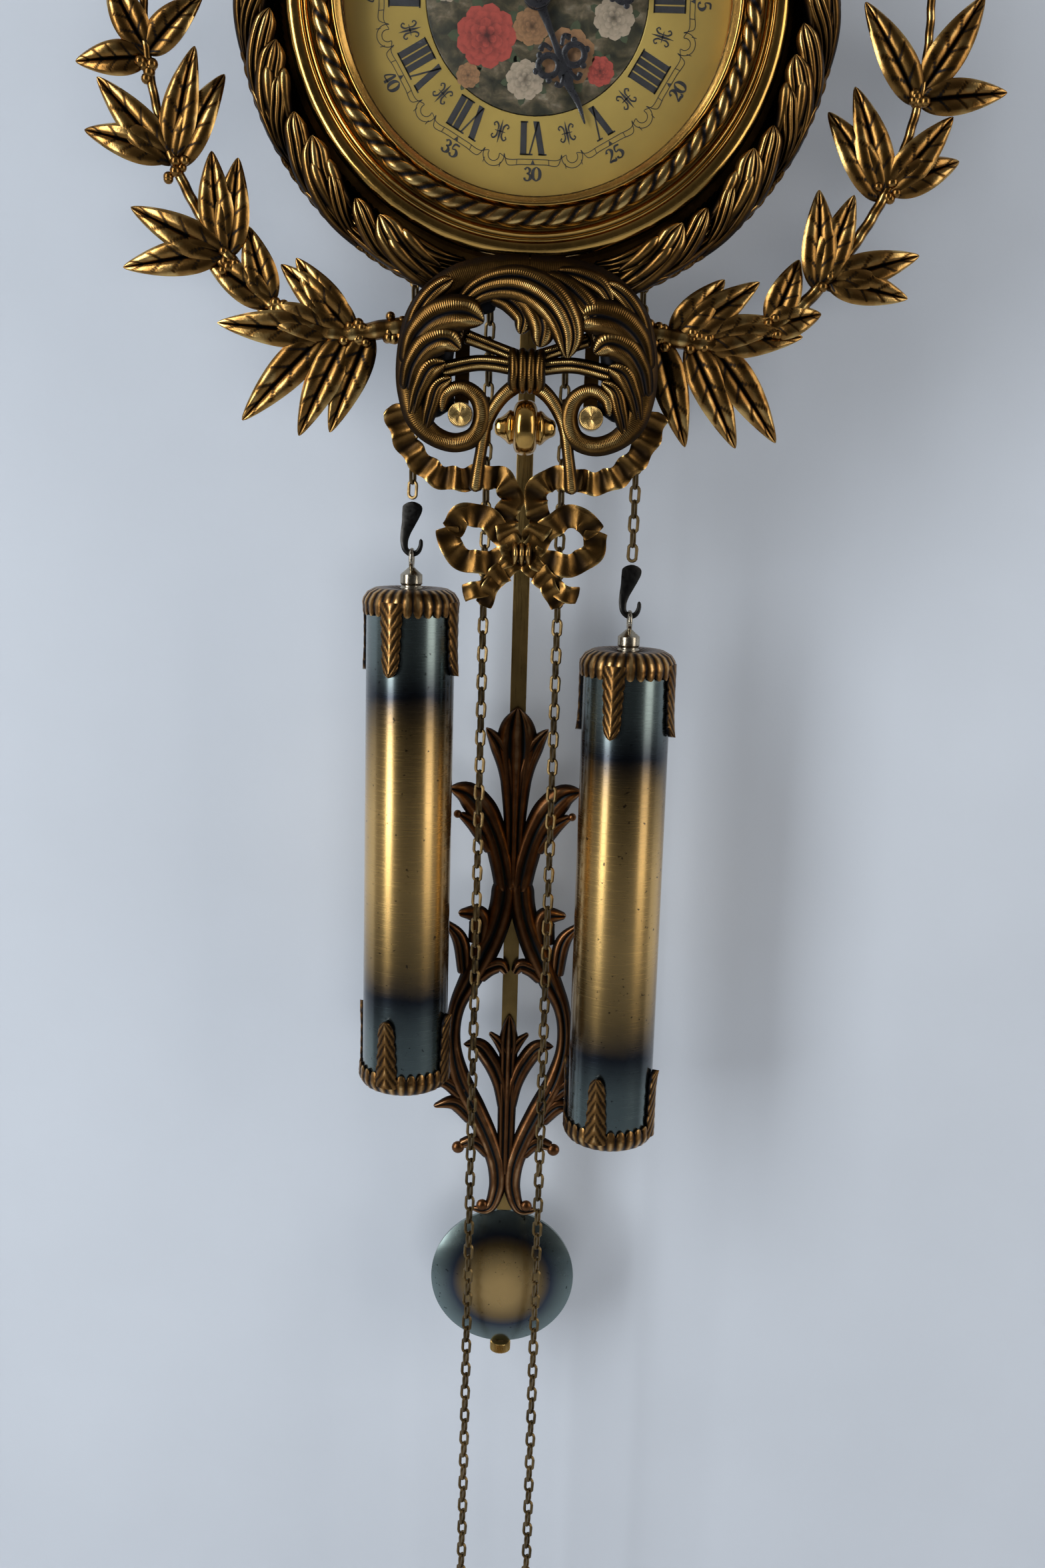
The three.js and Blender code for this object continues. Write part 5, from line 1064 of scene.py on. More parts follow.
class CLOCK_OT_glass(bpy.types.Operator):
    """Makes the polished glass rim and the domed glass, and finishes the hinge"""

    bl_idname = "clock.glass"
    bl_label = "Glass and Rim"

    def execute(self, context):
        front, inner, groove = RIM_BACK + RIM_DEPTH, GLASS_RADIUS - GLASS_LAP, GLASS_RADIUS + 0.3
        rim = rounded_profile([
            [groove, RIM_BACK], [RIM_RADIUS, RIM_BACK], [RIM_RADIUS, front - 1.6], [RIM_RADIUS - 1, front],
            [RIM_RADIUS - 1.9, front], [inner, front - 3.2], [inner, front - 4], [groove, front - 4]], 0.35)
        x, level = reach_of("glass_rim") - HINGE_RADIUS, front_of("glass_rim") - HINGE_RADIUS
        barrel = upright(washer(HINGE_BORE, HINGE_RADIUS, 4, 12, 0.2), x, level, 32)
        route = [[RIM_RADIUS - 2, front - 0.6, 8, 4, 0.6], [RIM_RADIUS - 0.6, level - 0.5, 8, 4, 0.6],
                 [x, level + 1.2, 8, 4, 0.5]]
        arm = stroke(route, band_section(5), 16, (0, 0), faces=(-1, 0.2, 0))
        make_piece("polished_glass_rim", [turned(rim, 256), barrel, arm], "rim_gilt", "glass_door",
                   ["glass_rim"], sharp=35)
        flat = front_of("glass") - DOME_RISE
        outside = [[(GLASS_RADIUS - DOME_FLANGE) * share, flat + DOME_RISE * (1 - share * share)]
                   for share in np.linspace(1, 0.002, 26)]
        inside = [[radius, level - GLASS_THICKNESS] for radius, level in reversed(outside)]
        edge = [GLASS_RADIUS, flat - GLASS_THICKNESS]
        make_piece("domed_glass", [turned([[GLASS_RADIUS, flat], *outside, *inside, edge], 160)],
                   "clear_glass", "glass_door", ["glass"], sharp=70)
        dress(["hinge_pin"], "brass")
        return {"FINISHED"}


# Acanthus collar

COLLAR_START, COLLAR_END = -76.0, 66.0
COLLAR_INNER = 104.0
COLLAR_BACK = 84.0
LOBE_SIZES = (1.12, 0.86, 0.72)
LOBE_LIFTS = (-0.2, 1.1, 1.8)
FOOT_LEAVES = ((106.6, 16), (110.4, 22), (114.2, 28), (117.6, 36))


def gutter_part(side):
    """The gutter of the collar, with ribs on its inner wall and a scalloped outer border."""
    inner, outer = COLLAR_INNER, COLLAR_RADIUS
    angles = np.radians(np.linspace(COLLAR_START, COLLAR_END, 420))[:, None]
    section = np.array([
        [inner, COLLAR_BACK], [inner, 92.5], [inner + 1, 94.2], [inner + 3.5, 89.5], [outer - 7, 90],
        [outer - 4, 93.5], [outer - 2, 94.6], [outer - 0.7, 93.5], [outer - 1, 88], [outer - 3, COLLAR_BACK]])
    # Dark in the gutter's floor and bright on its outer crest: painted shade and painted highlight over
    # toning
    tone = np.array([0.05, 0.12, 0.3, 0.03, 0.1, 0.3, 0.7, 0.6, 0.4, 0.1])
    rows = np.arange(len(section))[None, :]
    ribs = 0.45 * np.cos(angles * 210) * (rows < 3)
    scallops = 0.6 * np.abs(np.cos(angles * 60)) * (rows > 5) * (rows < 9)
    radius = section[None, :, 0] + ribs + scallops
    front = np.broadcast_to(section[None, :, 1], radius.shape)
    rings = np.stack([side * radius * np.cos(angles), front, radius * np.sin(angles)], -1)
    return loft(rings, np.clip(tone[None, :] + 0.25 * np.sign(ribs), 0, 1))


def collar_side(side, step):
    """Half of the collar: the gutter, broad fluted lobes that sweep inwards to rounded tips in
    groups of a large and two smaller ones, and long leaves from its foot along the border."""
    parts = [gutter_part(side)]

    def draw(rows, flutes, groove, steps, blunt, fade):
        """A stroke along [angle, radius, front, half width, half depth] rows"""
        route = [[side * around(a, r)[0], f, around(a, r)[1], w, d] for a, r, f, w, d in rows]
        parts.append(stroke(route, fluted(flutes, groove), steps, blunt, fade=fade))

    rng = np.random.default_rng(5)
    for i, tip in enumerate(np.arange(COLLAR_START + 20, COLLAR_END + 4, step)):
        tip += rng.uniform(-1.0, 1.0)
        big = LOBE_SIZES[i % 3] * rng.uniform(0.92, 1.06)
        lift = LOBE_LIFTS[i % 3] + rng.uniform(-0.5, 0.5)
        draw([[tip - 23 * big, 118.6, 90.5, 1, 1.4], [tip - 17 * big, 118.2, 93.2, 2.8 * big, 2.4],
              [tip - 10 * big, 115.4, 96.2, 4.9 * big, 3.4], [tip - 4.6 * big, 111.2, 98.4, 5.5 * big, 3.6],
              [tip - 1.2, 107.6 + lift, 99.8, 4.9 * big, 3],
              [tip + 1.2, 105.6 + lift, 100.2, 3.0 * big, 2]], 3, 0.42, 46, (0.1, 0.12), (0.2, 1.15))
        if i % 3 == 0:
            for outwards, back in ((3.6, 3.0), (-2.2, 4.6)):
                end = tip - back
                draw([[end - 11, 113 + outwards, 96.5, 1, 1.6], [end - 6, 110.6 + outwards, 98.8, 2.3, 2.6],
                      [end - 2.4, 108.4 + outwards, 100.2, 2.5, 2.6], [end, 107 + outwards, 100.4, 1.7, 1.8]],
                     1, 0.2, 26, (0.1, 0.16), (0.4, 1.15))
            draw([[tip - 22, 118.4, 92, 1, 1.6], [tip - 17, 119, 94.6, 2, 2.2],
                  [tip - 11.5, 118.4, 96, 2.4, 2.4], [tip - 7, 119.2, 95, 1.6, 1.8],
                  [tip - 5, 120.4, 93.4, 0.7, 1]], 2, 0.4, 34, (0.1, 0.12), (0.4, 1))
    start = COLLAR_START + 1
    for k, (level, reach) in enumerate(FOOT_LEAVES):
        draw([[start, level - 1.2, 91, 1.6, 2.4],
              [start + 0.3 * reach, level + 0.2, 96.5 - 0.7 * k, 2.5, 3.4],
              [start + 0.7 * reach, level - 0.6, 97.5 - 1.2 * k, 2.5, 3.2],
              [start + reach, level - 1.8 + 0.5 * k, 97 - 1.6 * k, 1.7, 2.2]],
             2, 0.4, 50, (0.06, 0.1), (0.5, 1.1))
    for angle in np.arange(COLLAR_START + 2, COLLAR_START + 45, 1.0):
        x, z = around(angle, COLLAR_RADIUS - 1.1)
        parts.append(ball((side * x, 94.0, z), (0.6, 0.6, 0.6), 0.7, 5))
    return parts


class CLOCK_OT_collar(bpy.types.Operator):
    """Makes the right and left half of the acanthus collar round the bezel"""

    bl_idname = "clock.collar"
    bl_label = "Acanthus Collar"

    def execute(self, context):
        step = math.degrees(context.scene.clock_sizes.lobe_step)
        for name, side in (("right", 1), ("left", -1)):
            make_piece(f"acanthus_collar_{name}", collar_side(side, step), "cast_gilt", "case",
                       [f"collar_{name}"])
        return {"FINISHED"}


# Laurel. Angles are in degrees about the dial, counted from its right-hand side upwards.

# angle, share of the branch's radius, share of the stem's thickness
STEM_SHARES = [
    [-78, 0.8, 1.7], [-66, 0.88, 1.6], [-58, 0.97, 1.3], [-48, 1.01, 1.1], [-38, 1.01, 1], [-24, 1.01, 0.8],
    [-9, 1, 0.7], [8, 0.99, 0.65], [24, 0.98, 0.6], [38, 0.95, 0.5], [50, 0.9, 0.35],
]
# angle, heading in degrees, share of the leaf's length
RIGHT_LEAF_SHARES = [
    [-65, 47, 0.72], [-64.5, 33, 0.93], [-67, -74, 1.05], [-61.5, 16, 0.83], [-61, 5, 0.96],
    [-62.5, -64, 1.08], [-59.5, -52, 1.1], [-51.5, 20, 0.55], [-50.5, 69, 0.65], [-42, 92, 0.88],
    [-41.5, 74, 0.86], [-41, 19, 0.94], [-40, -13, 0.78], [-26.5, 124, 0.92], [-26, 108, 1],
    [-25.5, 50, 0.88], [-25, 24, 0.71], [-12.5, 123, 1], [-12, 5, 0.8], [-11, 58, 1],
]
LEFT_LEAF_SHARES = [
    [-61, 41, 0.92], [-60, 56, 0.82], [-63, -66, 1], [-58.5, 17, 0.8], [-57.5, 2, 1.05],
    [-57, -46, 1.15], [-60, -62, 1.05], [-48.5, 33, 0.78], [-48, 71, 0.72], [-39, 23, 1],
    [-38, -12, 0.96], [-37.5, 82, 0.85], [-39, 98, 0.87], [-24, 45, 1], [-23, 17, 0.83],
    [-23.5, 100, 1], [-24.5, 118, 0.93], [-9, -8, 0.65], [-8, 60, 0.7], [-8.5, 133, 0.72],
]
UPPER_LEAF_SHARES = [
    [6, 150, 0.9], [7, 110, 0.95], [7, 45, 0.85], [23, 158, 0.85], [24, 118, 0.9], [24, 62, 0.8],
    [38, 165, 0.75], [39, 90, 0.7], [50, 132, 0.7],
]
BERRY_ANGLES = [-67, -61, -50, -40, -25, -11, 7, 24, 38]
FOOT_ANGLE = -55
STEM_RADIUS = 2.6
BERRY_SPREAD = 4.2


def laurel_side(side, leaves, sizes):
    """One branch: a knotty stem, leaves set on it, clusters of berries at its joints, and knots and
    a fluted sheath at its foot."""
    table = np.array(STEM_SHARES, float)
    plane = ORNAMENT_BACK + 2.9
    rng = np.random.default_rng(7 if side > 0 else 11)

    def place(angle):
        """Point of the stem at an angle"""
        return around(angle, LAUREL_RADIUS * np.interp(angle, table[:, 0], table[:, 1])) * [side, 1]

    rows = [[*np.insert(place(angle), 1, plane), STEM_RADIUS * thick, STEM_RADIUS * thick]
            for angle, _, thick in table]
    # The stem's round section paints a highlight on its front and shade on its back
    parts = [stroke(rows, round_section(12), 160, (0.01, 0.02), pleat=(9.0, 0.25))]
    for angle, heading, share in [*leaves, *UPPER_LEAF_SHARES]:
        turn = heading if side > 0 else 180 - heading
        parts.append(laurel_leaf(place(angle), plane + rng.uniform(-0.5, 0.6), turn, LEAF_LENGTH * share,
                                 LEAF_HALF_WIDTH * (0.85 + 0.2 * share), sizes.leaf_vein_count,
                                 rng.uniform(-0.6, 2.4), rng.uniform(-1.6, 1.6)))
    radius = sizes.berry_radius / MM
    for angle in BERRY_ANGLES:
        base, near_foot = place(angle), angle < FOOT_ANGLE
        for _ in range(12 if near_foot else 6):
            x, z = base + rng.uniform(-BERRY_SPREAD, BERRY_SPREAD, 2) * (1.15 if near_foot else 1)
            size = radius * rng.uniform(0.85, 1.1)
            parts.append(ball((x, plane + 0.6 + rng.uniform(0, 1.4), z), (size, size, size), 0.85, 9))
    for k in range(3):
        x, z = place(-76 + 5 * k)
        parts.append(ball((x, plane, z), (3.6 - 0.5 * k, 2.9, 3.4 - 0.5 * k), 0.5, 12))
    x, z = place(-74)
    sheath = [[x - side * 9, plane, z - 4, 3.6, 2.6], [x, plane, z, 4.4, 3],
              [x + side * 8, plane, z + 5, 3.2, 2.4]]
    parts.append(stroke(sheath, fluted(4, 0.5), 30, (0.1, 0.2)))
    return parts


class CLOCK_OT_laurel(bpy.types.Operator):
    """Makes the two laurel branches with veined leaves and berries"""

    bl_idname = "clock.laurel"
    bl_label = "Laurel Branches"

    def execute(self, context):
        sizes = context.scene.clock_sizes
        for name, side, leaves in (("right", 1, RIGHT_LEAF_SHARES), ("left", -1, LEFT_LEAF_SHARES)):
            make_piece(f"laurel_{name}", laurel_side(side, leaves, sizes), "cast_gilt", "case",
                       [f"laurel_branch_{name}"], sharp=60)
        return {"FINISHED"}


# Cartouche, baluster, ribbon and crest. Rows of castings are [across, up, half width, forwards] in
# hundredths of the cartouche's half width, and rows of ribbons are [across, down].

SCROLL_SHARES = hundredths([
    [0, 91, 12, 0], [34, 88, 12, 1], [64, 77, 12.5, 2], [86, 54, 13, 3], [95, 20, 13, 3], [95, -10, 12, 3],
    [88, -34, 10, 3], [74, -46, 8.5, 2], [57, -50, 8, 2], [42, -44, 8, 3], [36, -28, 7.5, 4],
    [41, -12, 7, 6], [54, -5, 6, 8], [67, -12, 5.5, 8], [70, -25, 4.5, 7],
])
PAIR_LOBE_SHARES = hundredths([
    [[98, 32, 6, 6], [90, 54, 7.5, 12], [76, 71, 7.5, 17], [62, 80, 5.5, 18]],
    [[100, 10, 7, 7], [90, 36, 12, 13], [72, 50, 15, 18], [52, 53, 14, 20], [36, 47, 8, 17]],
    [[100, -10, 6, 6], [93, 13, 10, 12], [80, 28, 12, 17], [66, 32, 11, 19], [55, 25, 7, 16]],
    [[95, -30, 5, 5], [88, -6, 8, 10], [78, 10, 9, 14], [67, 14, 6, 13]],
    [[84, -42, 4, 4], [79, -22, 7, 8], [72, -4, 7, 10], [62, 2, 4.5, 10]],
])
BAND_SHARES = hundredths([
    [[0, 18, 6, 0], [28, 28, 5.5, 0], [52, 36, 6, 6]],
    [[0, 11, 7, 0], [40, 15, 6.5, 1], [72, 8, 7, 5]],
])
LEG_SHARES = hundredths([
    [3, 2, 7, 1], [20, -12, 6, 3], [31, -30, 5.5, 2], [37, -60, 5, 1], [41, -90, 6, 0],
])
HANGING_LOBE_SHARES = hundredths([
    [[-62, 50, 6, 6], [-40, 72, 11, 14], [-8, 77, 15, 22], [20, 62, 16, 27], [33, 38, 13, 26],
     [33, 20, 8, 22]],
    [[-20, 72, 7, 14], [2, 62, 11, 22], [12, 44, 11, 24], [10, 28, 7, 20]],
    [[-32, 68, 6, 12], [-14, 62, 9, 18], [-4, 50, 8, 19], [-6, 38, 5, 17]],
    [[12, 84, 7, 14], [36, 72, 10, 20], [50, 56, 10, 20], [52, 40, 6, 17]],
    [[22, 88, 5, 10], [44, 84, 8, 16], [60, 76, 8, 18], [68, 64, 5, 16]],
])
BOSS_SHARES = (0.545, -0.27, 0.1)
TAIL_SHARES = (0.41, -0.87)
STRAP_SPREAD = 27.5
CAST_FORWARDS = 0.72
CAST_DEPTH = 3.4


def cast_stroke(rows, side, centre, plane, flutes, groove=0.45, steps=52, **options):
    """A fluted stroke of cast ornament along rows of shares. It is deeper where it is wider."""
    size = CARTOUCHE_HALF
    route = [[side * a * size, plane + CAST_FORWARDS * f * size, centre + u * size, h * size,
              CAST_DEPTH * (0.5 + 4 * h)] for a, u, h, f in rows]
    return stroke(route, fluted(flutes, groove), steps, **options)


def cartouche_parts():
    """The casting: lobes that hang in its middle, then on either side a scroll with a thin sheet
    behind it, lobes, bands, a leg, a boss and two posts, and four folds below its upper edge."""
    centre, size = -CARTOUCHE_DROP, CARTOUCHE_HALF

    def draw(rows, side, flutes, **options):
        """A stroke of this casting"""
        return cast_stroke(rows, side, centre, CARTOUCHE_PLANE, flutes, **options)

    parts = [draw(HANGING_LOBE_SHARES[0], 1, 3, groove=0.36, blunt=(0.1, 0.12), fade=(0.7, 1.1))]
    for rows in HANGING_LOBE_SHARES[1:]:
        parts.append(draw(rows, 1, 2, groove=0.36, blunt=(0.1, 0.14), fade=(0.55, 1.1)))
    for side in (-1, 1):
        parts.append(draw(SCROLL_SHARES, side, 1, groove=0.1, steps=130, blunt=(0.0, 0.03), fade=(0.75, 1.0)))
        sheet = [[0.86 * a, 0.88 * u, 0.2, -0.1] for a, u, _, _ in SCROLL_SHARES[1:7]]
        parts.append(draw(sheet, side, 3, groove=0.15, steps=60, fade=(0.2, 0.2)))
        for rows in PAIR_LOBE_SHARES:
            parts.append(draw(rows, side, 2, groove=0.34, blunt=(0.08, 0.14), fade=(0.5, 1.1)))
        parts += [draw(rows, side, 2, groove=0.3, blunt=(0, 0.04)) for rows in BAND_SHARES]
        parts.append(draw(LEG_SHARES, side, 1, groove=0.1, blunt=(0.02, 0.04)))
        z, radius = centre + BOSS_SHARES[1] * size, BOSS_SHARES[2] * size
        front = CARTOUCHE_PLANE + radius
        boss = rounded_profile([[0.01, 95], [radius + 0.4, 95], [radius, front], [0.01, front]], 0.6)
        parts.append(turned(boss, 48, (side * BOSS_SHARES[0] * size, z), 1.0))
        post = rounded_profile([[0.01, ORNAMENT_BACK], [2.4, ORNAMENT_BACK], [2.4, 97], [0.01, 97]], 0.3)
        parts.append(turned(post, 24, (side * STRAP_SPREAD, z), 0.4))
        tail = (side * TAIL_SHARES[0] * size, centre + TAIL_SHARES[1] * size)
        parts.append(turned(post * [0.5, 1], 16, tail, 0.3))
    for k in range(4):
        x = (k - 1.5) * 3.6
        fold = [[x * 1.15, 97, centre + 13.8, 1.7, 2], [x, 100.5, centre + 9, 2.5, 3.4],
                [x * 0.95, 101.5, centre + 4, 2.6, 3.6], [x, 100, centre - 1, 2.2, 3],
                [x * 0.8, 97.5, centre - 4, 1.4, 2]]
        parts.append(stroke(fold, fluted(1, 0.15, 11), 32, (0.12, 0.14), fade=(0.7, 0.8)))
    return parts


# along, radius, in hundredths of the half length and the largest radius
BALUSTER_SHARES = hundredths([
    [-100, 2], [-100, 20], [-96, 27], [-82, 35], [-66, 48], [-56, 59], [-51, 62], [-46, 61], [-42, 58],
    [-39.5, 66], [-36, 78], [-28, 91], [-18, 97], [-8, 99.5], [0, 100],
])


def baluster_part():
    """A turned piece that lies across the cartouche: its profile is mirrored about its middle bead."""
    node = "baluster"
    profile = np.concatenate([BALUSTER_SHARES, BALUSTER_SHARES[-2::-1] * [-1, 1]])
    route = smooth_route(np.stack([profile[:, 0], profile[:, 1], 0 * profile[:, 0]], -1), 170)
    middle, radius = depth_of(node)
    height = (top_of(node) + foot_of(node)) / 2
    angle = even_angles(96)[None, :]
    reach = route[:, :1] * reach_of(node) + 0 * angle
    across = np.clip(route[:, 1:2], 0.01, 1) * radius
    return loft(np.stack([reach, middle + across * np.cos(angle), height + across * np.sin(angle)], -1), 1.0)


RIBBON_SHARES = hundredths([
    [[112, 20], [98, 54], [85, 69], [71, 78], [54, 80], [36, 77], [18, 80], [10, 94], [15, 112], [7, 134]],
    [[7, 140], [20, 122], [36, 110], [50, 110], [62, 124]],
    [[7, 142], [30, 149], [48, 148], [60, 138], [64, 120]],
    [[5, 146], [20, 162], [33, 186]],
    [[14, 156], [34, 172], [50, 176]],
])
CREST_SHARES = hundredths([
    [[6, 8], [24, -8], [48, -10], [66, 4]],
    [[6, 16], [34, 26], [58, 20], [66, 0]],
    [[5, 18], [30, 34], [58, 48]],
])
CREST_LEAF_SHARES = hundredths([
    [[0, -5, 12, 2], [0, 14, 15, 6], [0, 36, 5, 2]],
    [[5, -6, 8, 2], [16, 12, 9, 6], [27, 25, 3, 4]],
    [[-5, -6, 8, 2], [-16, 12, 9, 6], [-27, 25, 3, 4]],
])


def ribbon_parts(table, centre, tails, knot_drop):
    """A ribbon on both sides of a knot of three folds: pleated bands along the rows of the table,
    whose rows from the given number on are tails that narrow away from the knot."""
    parts = []
    size = CARTOUCHE_HALF
    for side in (-1, 1):
        for i, rows in enumerate(table):
            widths = [RIBBON_HALF_WIDTH * (0.75 if i >= tails and k else 1.0) for k in range(len(rows))]
            route = [[side * a * size, RIBBON_PLANE, centre - d * size, width, 0.75]
                     for (a, d), width in zip(rows, widths)]
            pleat = (10.4, 1.2) if i == 0 else (12.5, 0.9)
            parts.append(stroke(route, band_section(11, 0.9), 90, (0.03, 0.03), pleat=pleat))
    level = centre - knot_drop * size
    for k in range(3):
        x = (k - 1) * 2.6
        fold = [[x * 1.2, RIBBON_PLANE, level + 4.6, 1, 1.4], [x, RIBBON_PLANE + 2.6, level, 1.7, 2.2],
                [x * 1.2, RIBBON_PLANE, level - 4.6, 1, 1.4]]
        parts.append(stroke(fold, fluted(1, 0.15, 9), 22, (0.1, 0.1)))
    return parts


class CLOCK_OT_cartouche(bpy.types.Operator):
    """Makes the acanthus cartouche, the baluster across it, the ribbon festoon and the crest"""

    bl_idname = "clock.cartouche"
    bl_label = "Cartouche and Ribbons"

    def execute(self, context):
        make_piece("acanthus_cartouche", cartouche_parts(), "chased_gilt", "case", ["cartouche"])
        make_piece("polished_baluster", [baluster_part()], "polished_gilt", "case", ["baluster"])
        make_piece("ribbon_bow", ribbon_parts(RIBBON_SHARES, -CARTOUCHE_DROP, 3, 1.41), "cast_gilt",
                   "case", ["ribbon_festoon"])
        crest = ribbon_parts(CREST_SHARES, CREST_RISE, 2, 0.12)
        for rows in CREST_LEAF_SHARES:
            crest.append(cast_stroke(rows, 1, CREST_RISE, RIBBON_PLANE, 3, blunt=(0.05, 0.1)))
        foot = [[0, ORNAMENT_BACK + 4, CREST_RISE - 20, 7, 4.5],
                [0, ORNAMENT_BACK + 5, CREST_RISE - 4, 6, 4.5]]
        crest.append(stroke(foot, fluted(3, 0.3), 24, (0.1, 0.1)))
        make_piece("crest_palmette", crest, "cast_gilt", "case", ["crest_bow"])
        return {"FINISHED"}


# Pendulum. Rows of the lyre are [across, down, half width] in hundredths of its half width, its
# height and its half width.

LYRE_MIDDLE_SHARES = hundredths([
    [[0, 34, 10], [0, 21, 10.5], [0, 13, 15], [0, 7, 19], [0, 3.3, 15], [0, 0.4, 5]],
    [[0, 91.5, 8], [0, 82, 8.5], [0, 74, 9], [0, 68, 8.5], [0, 63.5, 9], [0, 59, 3]],
])
LYRE_PAIR_SHARES = hundredths([
    [[5, 19, 6], [13, 11, 8], [23, 7, 8], [37, 4.2, 2]],
    [[7, 35, 11], [14, 29, 12], [25, 23.5, 12], [42, 19, 14], [60, 16.3, 11], [80, 15.5, 3]],
    [[25, 27, 8], [45, 22.5, 9], [67, 20.3, 3]],
    [[10, 32, 12], [12, 37, 12], [20, 42, 12], [34, 47, 13], [49, 52, 11], [64, 57, 8], [69, 65, 7.5],
     [61, 71, 10], [40, 78, 11], [22, 84, 10], [10, 90, 9], [10, 94.5, 8], [22, 98.5, 6], [42, 98.5, 5.5]],
    [[40, 45, 10], [42, 39.5, 10], [66, 39.2, 3]],
    [[56, 51, 7], [66, 43.5, 7], [85, 40.5, 2]],
    [[40, 51.5, 8], [25, 49.7, 8], [12, 49.2, 7], [4, 50.7, 3.5]],
    [[55, 75, 9], [80, 72.5, 7], [107, 73.7, 2]],
    [[42, 80, 8], [66, 76.8, 8], [92, 77.6, 2]],
    [[20, 87, 7], [40, 84.5, 7], [58, 85.3, 5]],
    [[3, 67, 5], [12, 64.3, 5], [24, 62.5, 2]],
    [[3, 78, 6], [10, 72, 8], [22, 68, 9], [40, 65, 7.5], [56, 65, 2]],
])
LYRE_CURLS = [[0.28, 0.975, 0.075], [0.6, 0.857, 0.08], [0.69, 0.203, 0.05]]


def lyre_parts():
    """The lyre: fluted leaves along its middle, and on either side its arms, leaves and curls. A
    stroke is deeper where it is wider, up to the lyre's own depth."""
    depth = LYRE_DEPTH / 1.25
    back = LYRE_BACK + 0.25 * depth

    def draw(rows, side, flutes, steps):
        """A stroke of the lyre along rows of shares"""
        route = [[side * a * LYRE_HALF_WIDTH, back, -LYRE_TOP - d * LYRE_HEIGHT, 1.3 * h * LYRE_HALF_WIDTH,
                  depth * min(1.0, 0.45 + 5 * h)] for a, d, h in rows]
        return stroke(route, fluted(flutes, 0.36), steps, (0.04, 0.06), fade=(0.75, 1))

    parts = [draw(rows, 1, 3, 70) for rows in LYRE_MIDDLE_SHARES]
    for side in (-1, 1):
        for rows in LYRE_PAIR_SHARES:
            parts.append(draw(rows, side, 2, 150 if len(rows) > 8 else 40))
        for across, down, share in LYRE_CURLS:
            radius = share * LYRE_HALF_WIDTH
            centre = (side * across * LYRE_HALF_WIDTH, back + depth * 0.4, -LYRE_TOP - down * LYRE_HEIGHT)
            parts.append(ball(centre, (radius, depth * 0.6, radius), 0.8, 12))
    return parts


BOB_HALF_DEPTH = 7.0
BOB_RIM = 0.9
NUT_RADIUS = 5.0
NUT_RIDGES = 36


def bob_part():
    """A lens: its half depth falls with the 2.6th power of the share of its radius."""
    share = np.linspace(0.002, 1, 40)
    half = BOB_HALF_DEPTH * (1 - 0.86 * share**2.6)
    rim = [[BOB_RADIUS, PENDULUM_PLANE + BOB_RIM], [BOB_RADIUS, PENDULUM_PLANE - BOB_RIM]]
    face = np.stack([BOB_RADIUS * share * 0.995, PENDULUM_PLANE + half], -1)
    rear = face[::-1] * [1, -1] + [0, 2 * PENDULUM_PLANE]
    tone = np.concatenate([share, [1, 1], share[::-1]])
    return turned(np.concatenate([face, rim, rear]), 160, (0, BOB_CENTRE), tone)


def rating_nut_parts():
    """A nut with a knurled edge and a core that stands in for the threaded end of the rod."""
    top, foot = top_of("rating_nut"), foot_of("rating_nut")
    nut = rounded_profile([[1, foot], [NUT_RADIUS, foot], [NUT_RADIUS, top], [1, top]], 0.5)
    radius = nut[None, :, 0]

    def knurl(angle):
        """Ridges on the outer edge"""
        return 0.25 * np.cos(angle * NUT_RIDGES) * (radius > NUT_RADIUS - 0.6), 0 * angle * radius

    core = [[0.01, foot], [1.2, foot], [1.2, top], [0.01, top]]
    return [upright(nut, 0, PENDULUM_PLANE, 144, 1.0, knurl), upright(core, 0, PENDULUM_PLANE, 16)]


def rod_part():
    """A flat strip with slightly rounded edges."""
    node = "pendulum_rod"
    wide, deep = reach_of(node), depth_of(node)[1]
    corners = rounded_profile([[wide, deep], [-wide, deep], [-wide, -deep], [wide, -deep]], 0.25)
    across, forwards = corners[:, 0], PENDULUM_PLANE + corners[:, 1]
    levels = np.linspace(foot_of(node), top_of(node), 40)
    return loft(np.stack([np.stack([across, forwards, 0 * across + z], -1) for z in levels]))


class CLOCK_OT_pendulum(bpy.types.Operator):
    """Makes the cast lyre, the spun bob with its shaded lacquer, the rod and the rating nut"""

    bl_idname = "clock.pendulum"
    bl_label = "Pendulum"

    def execute(self, context):
        make_piece("cast_lyre", lyre_parts(), "cast_copper", "pendulum", ["pendulum_lyre"])
        make_piece("spun_bob", [bob_part()], "bob_lacquer", "pendulum", ["pendulum_bob"])
        make_piece("knurled_nut", rating_nut_parts(), "brass", "pendulum", ["rating_nut"])
        make_piece("flat_rod", [rod_part()], "rod_brass", "pendulum", ["pendulum_rod"])
        dress(["suspension_cock"], "brass")
        dress(["suspension_spring"], "dark_steel")
        return {"FINISHED"}


# Chains and weights

END_RING_RADIUS = 5.7
END_RING_WIRE = 1.2
END_RING_RISE = 7
STRAND_TWIST = 22


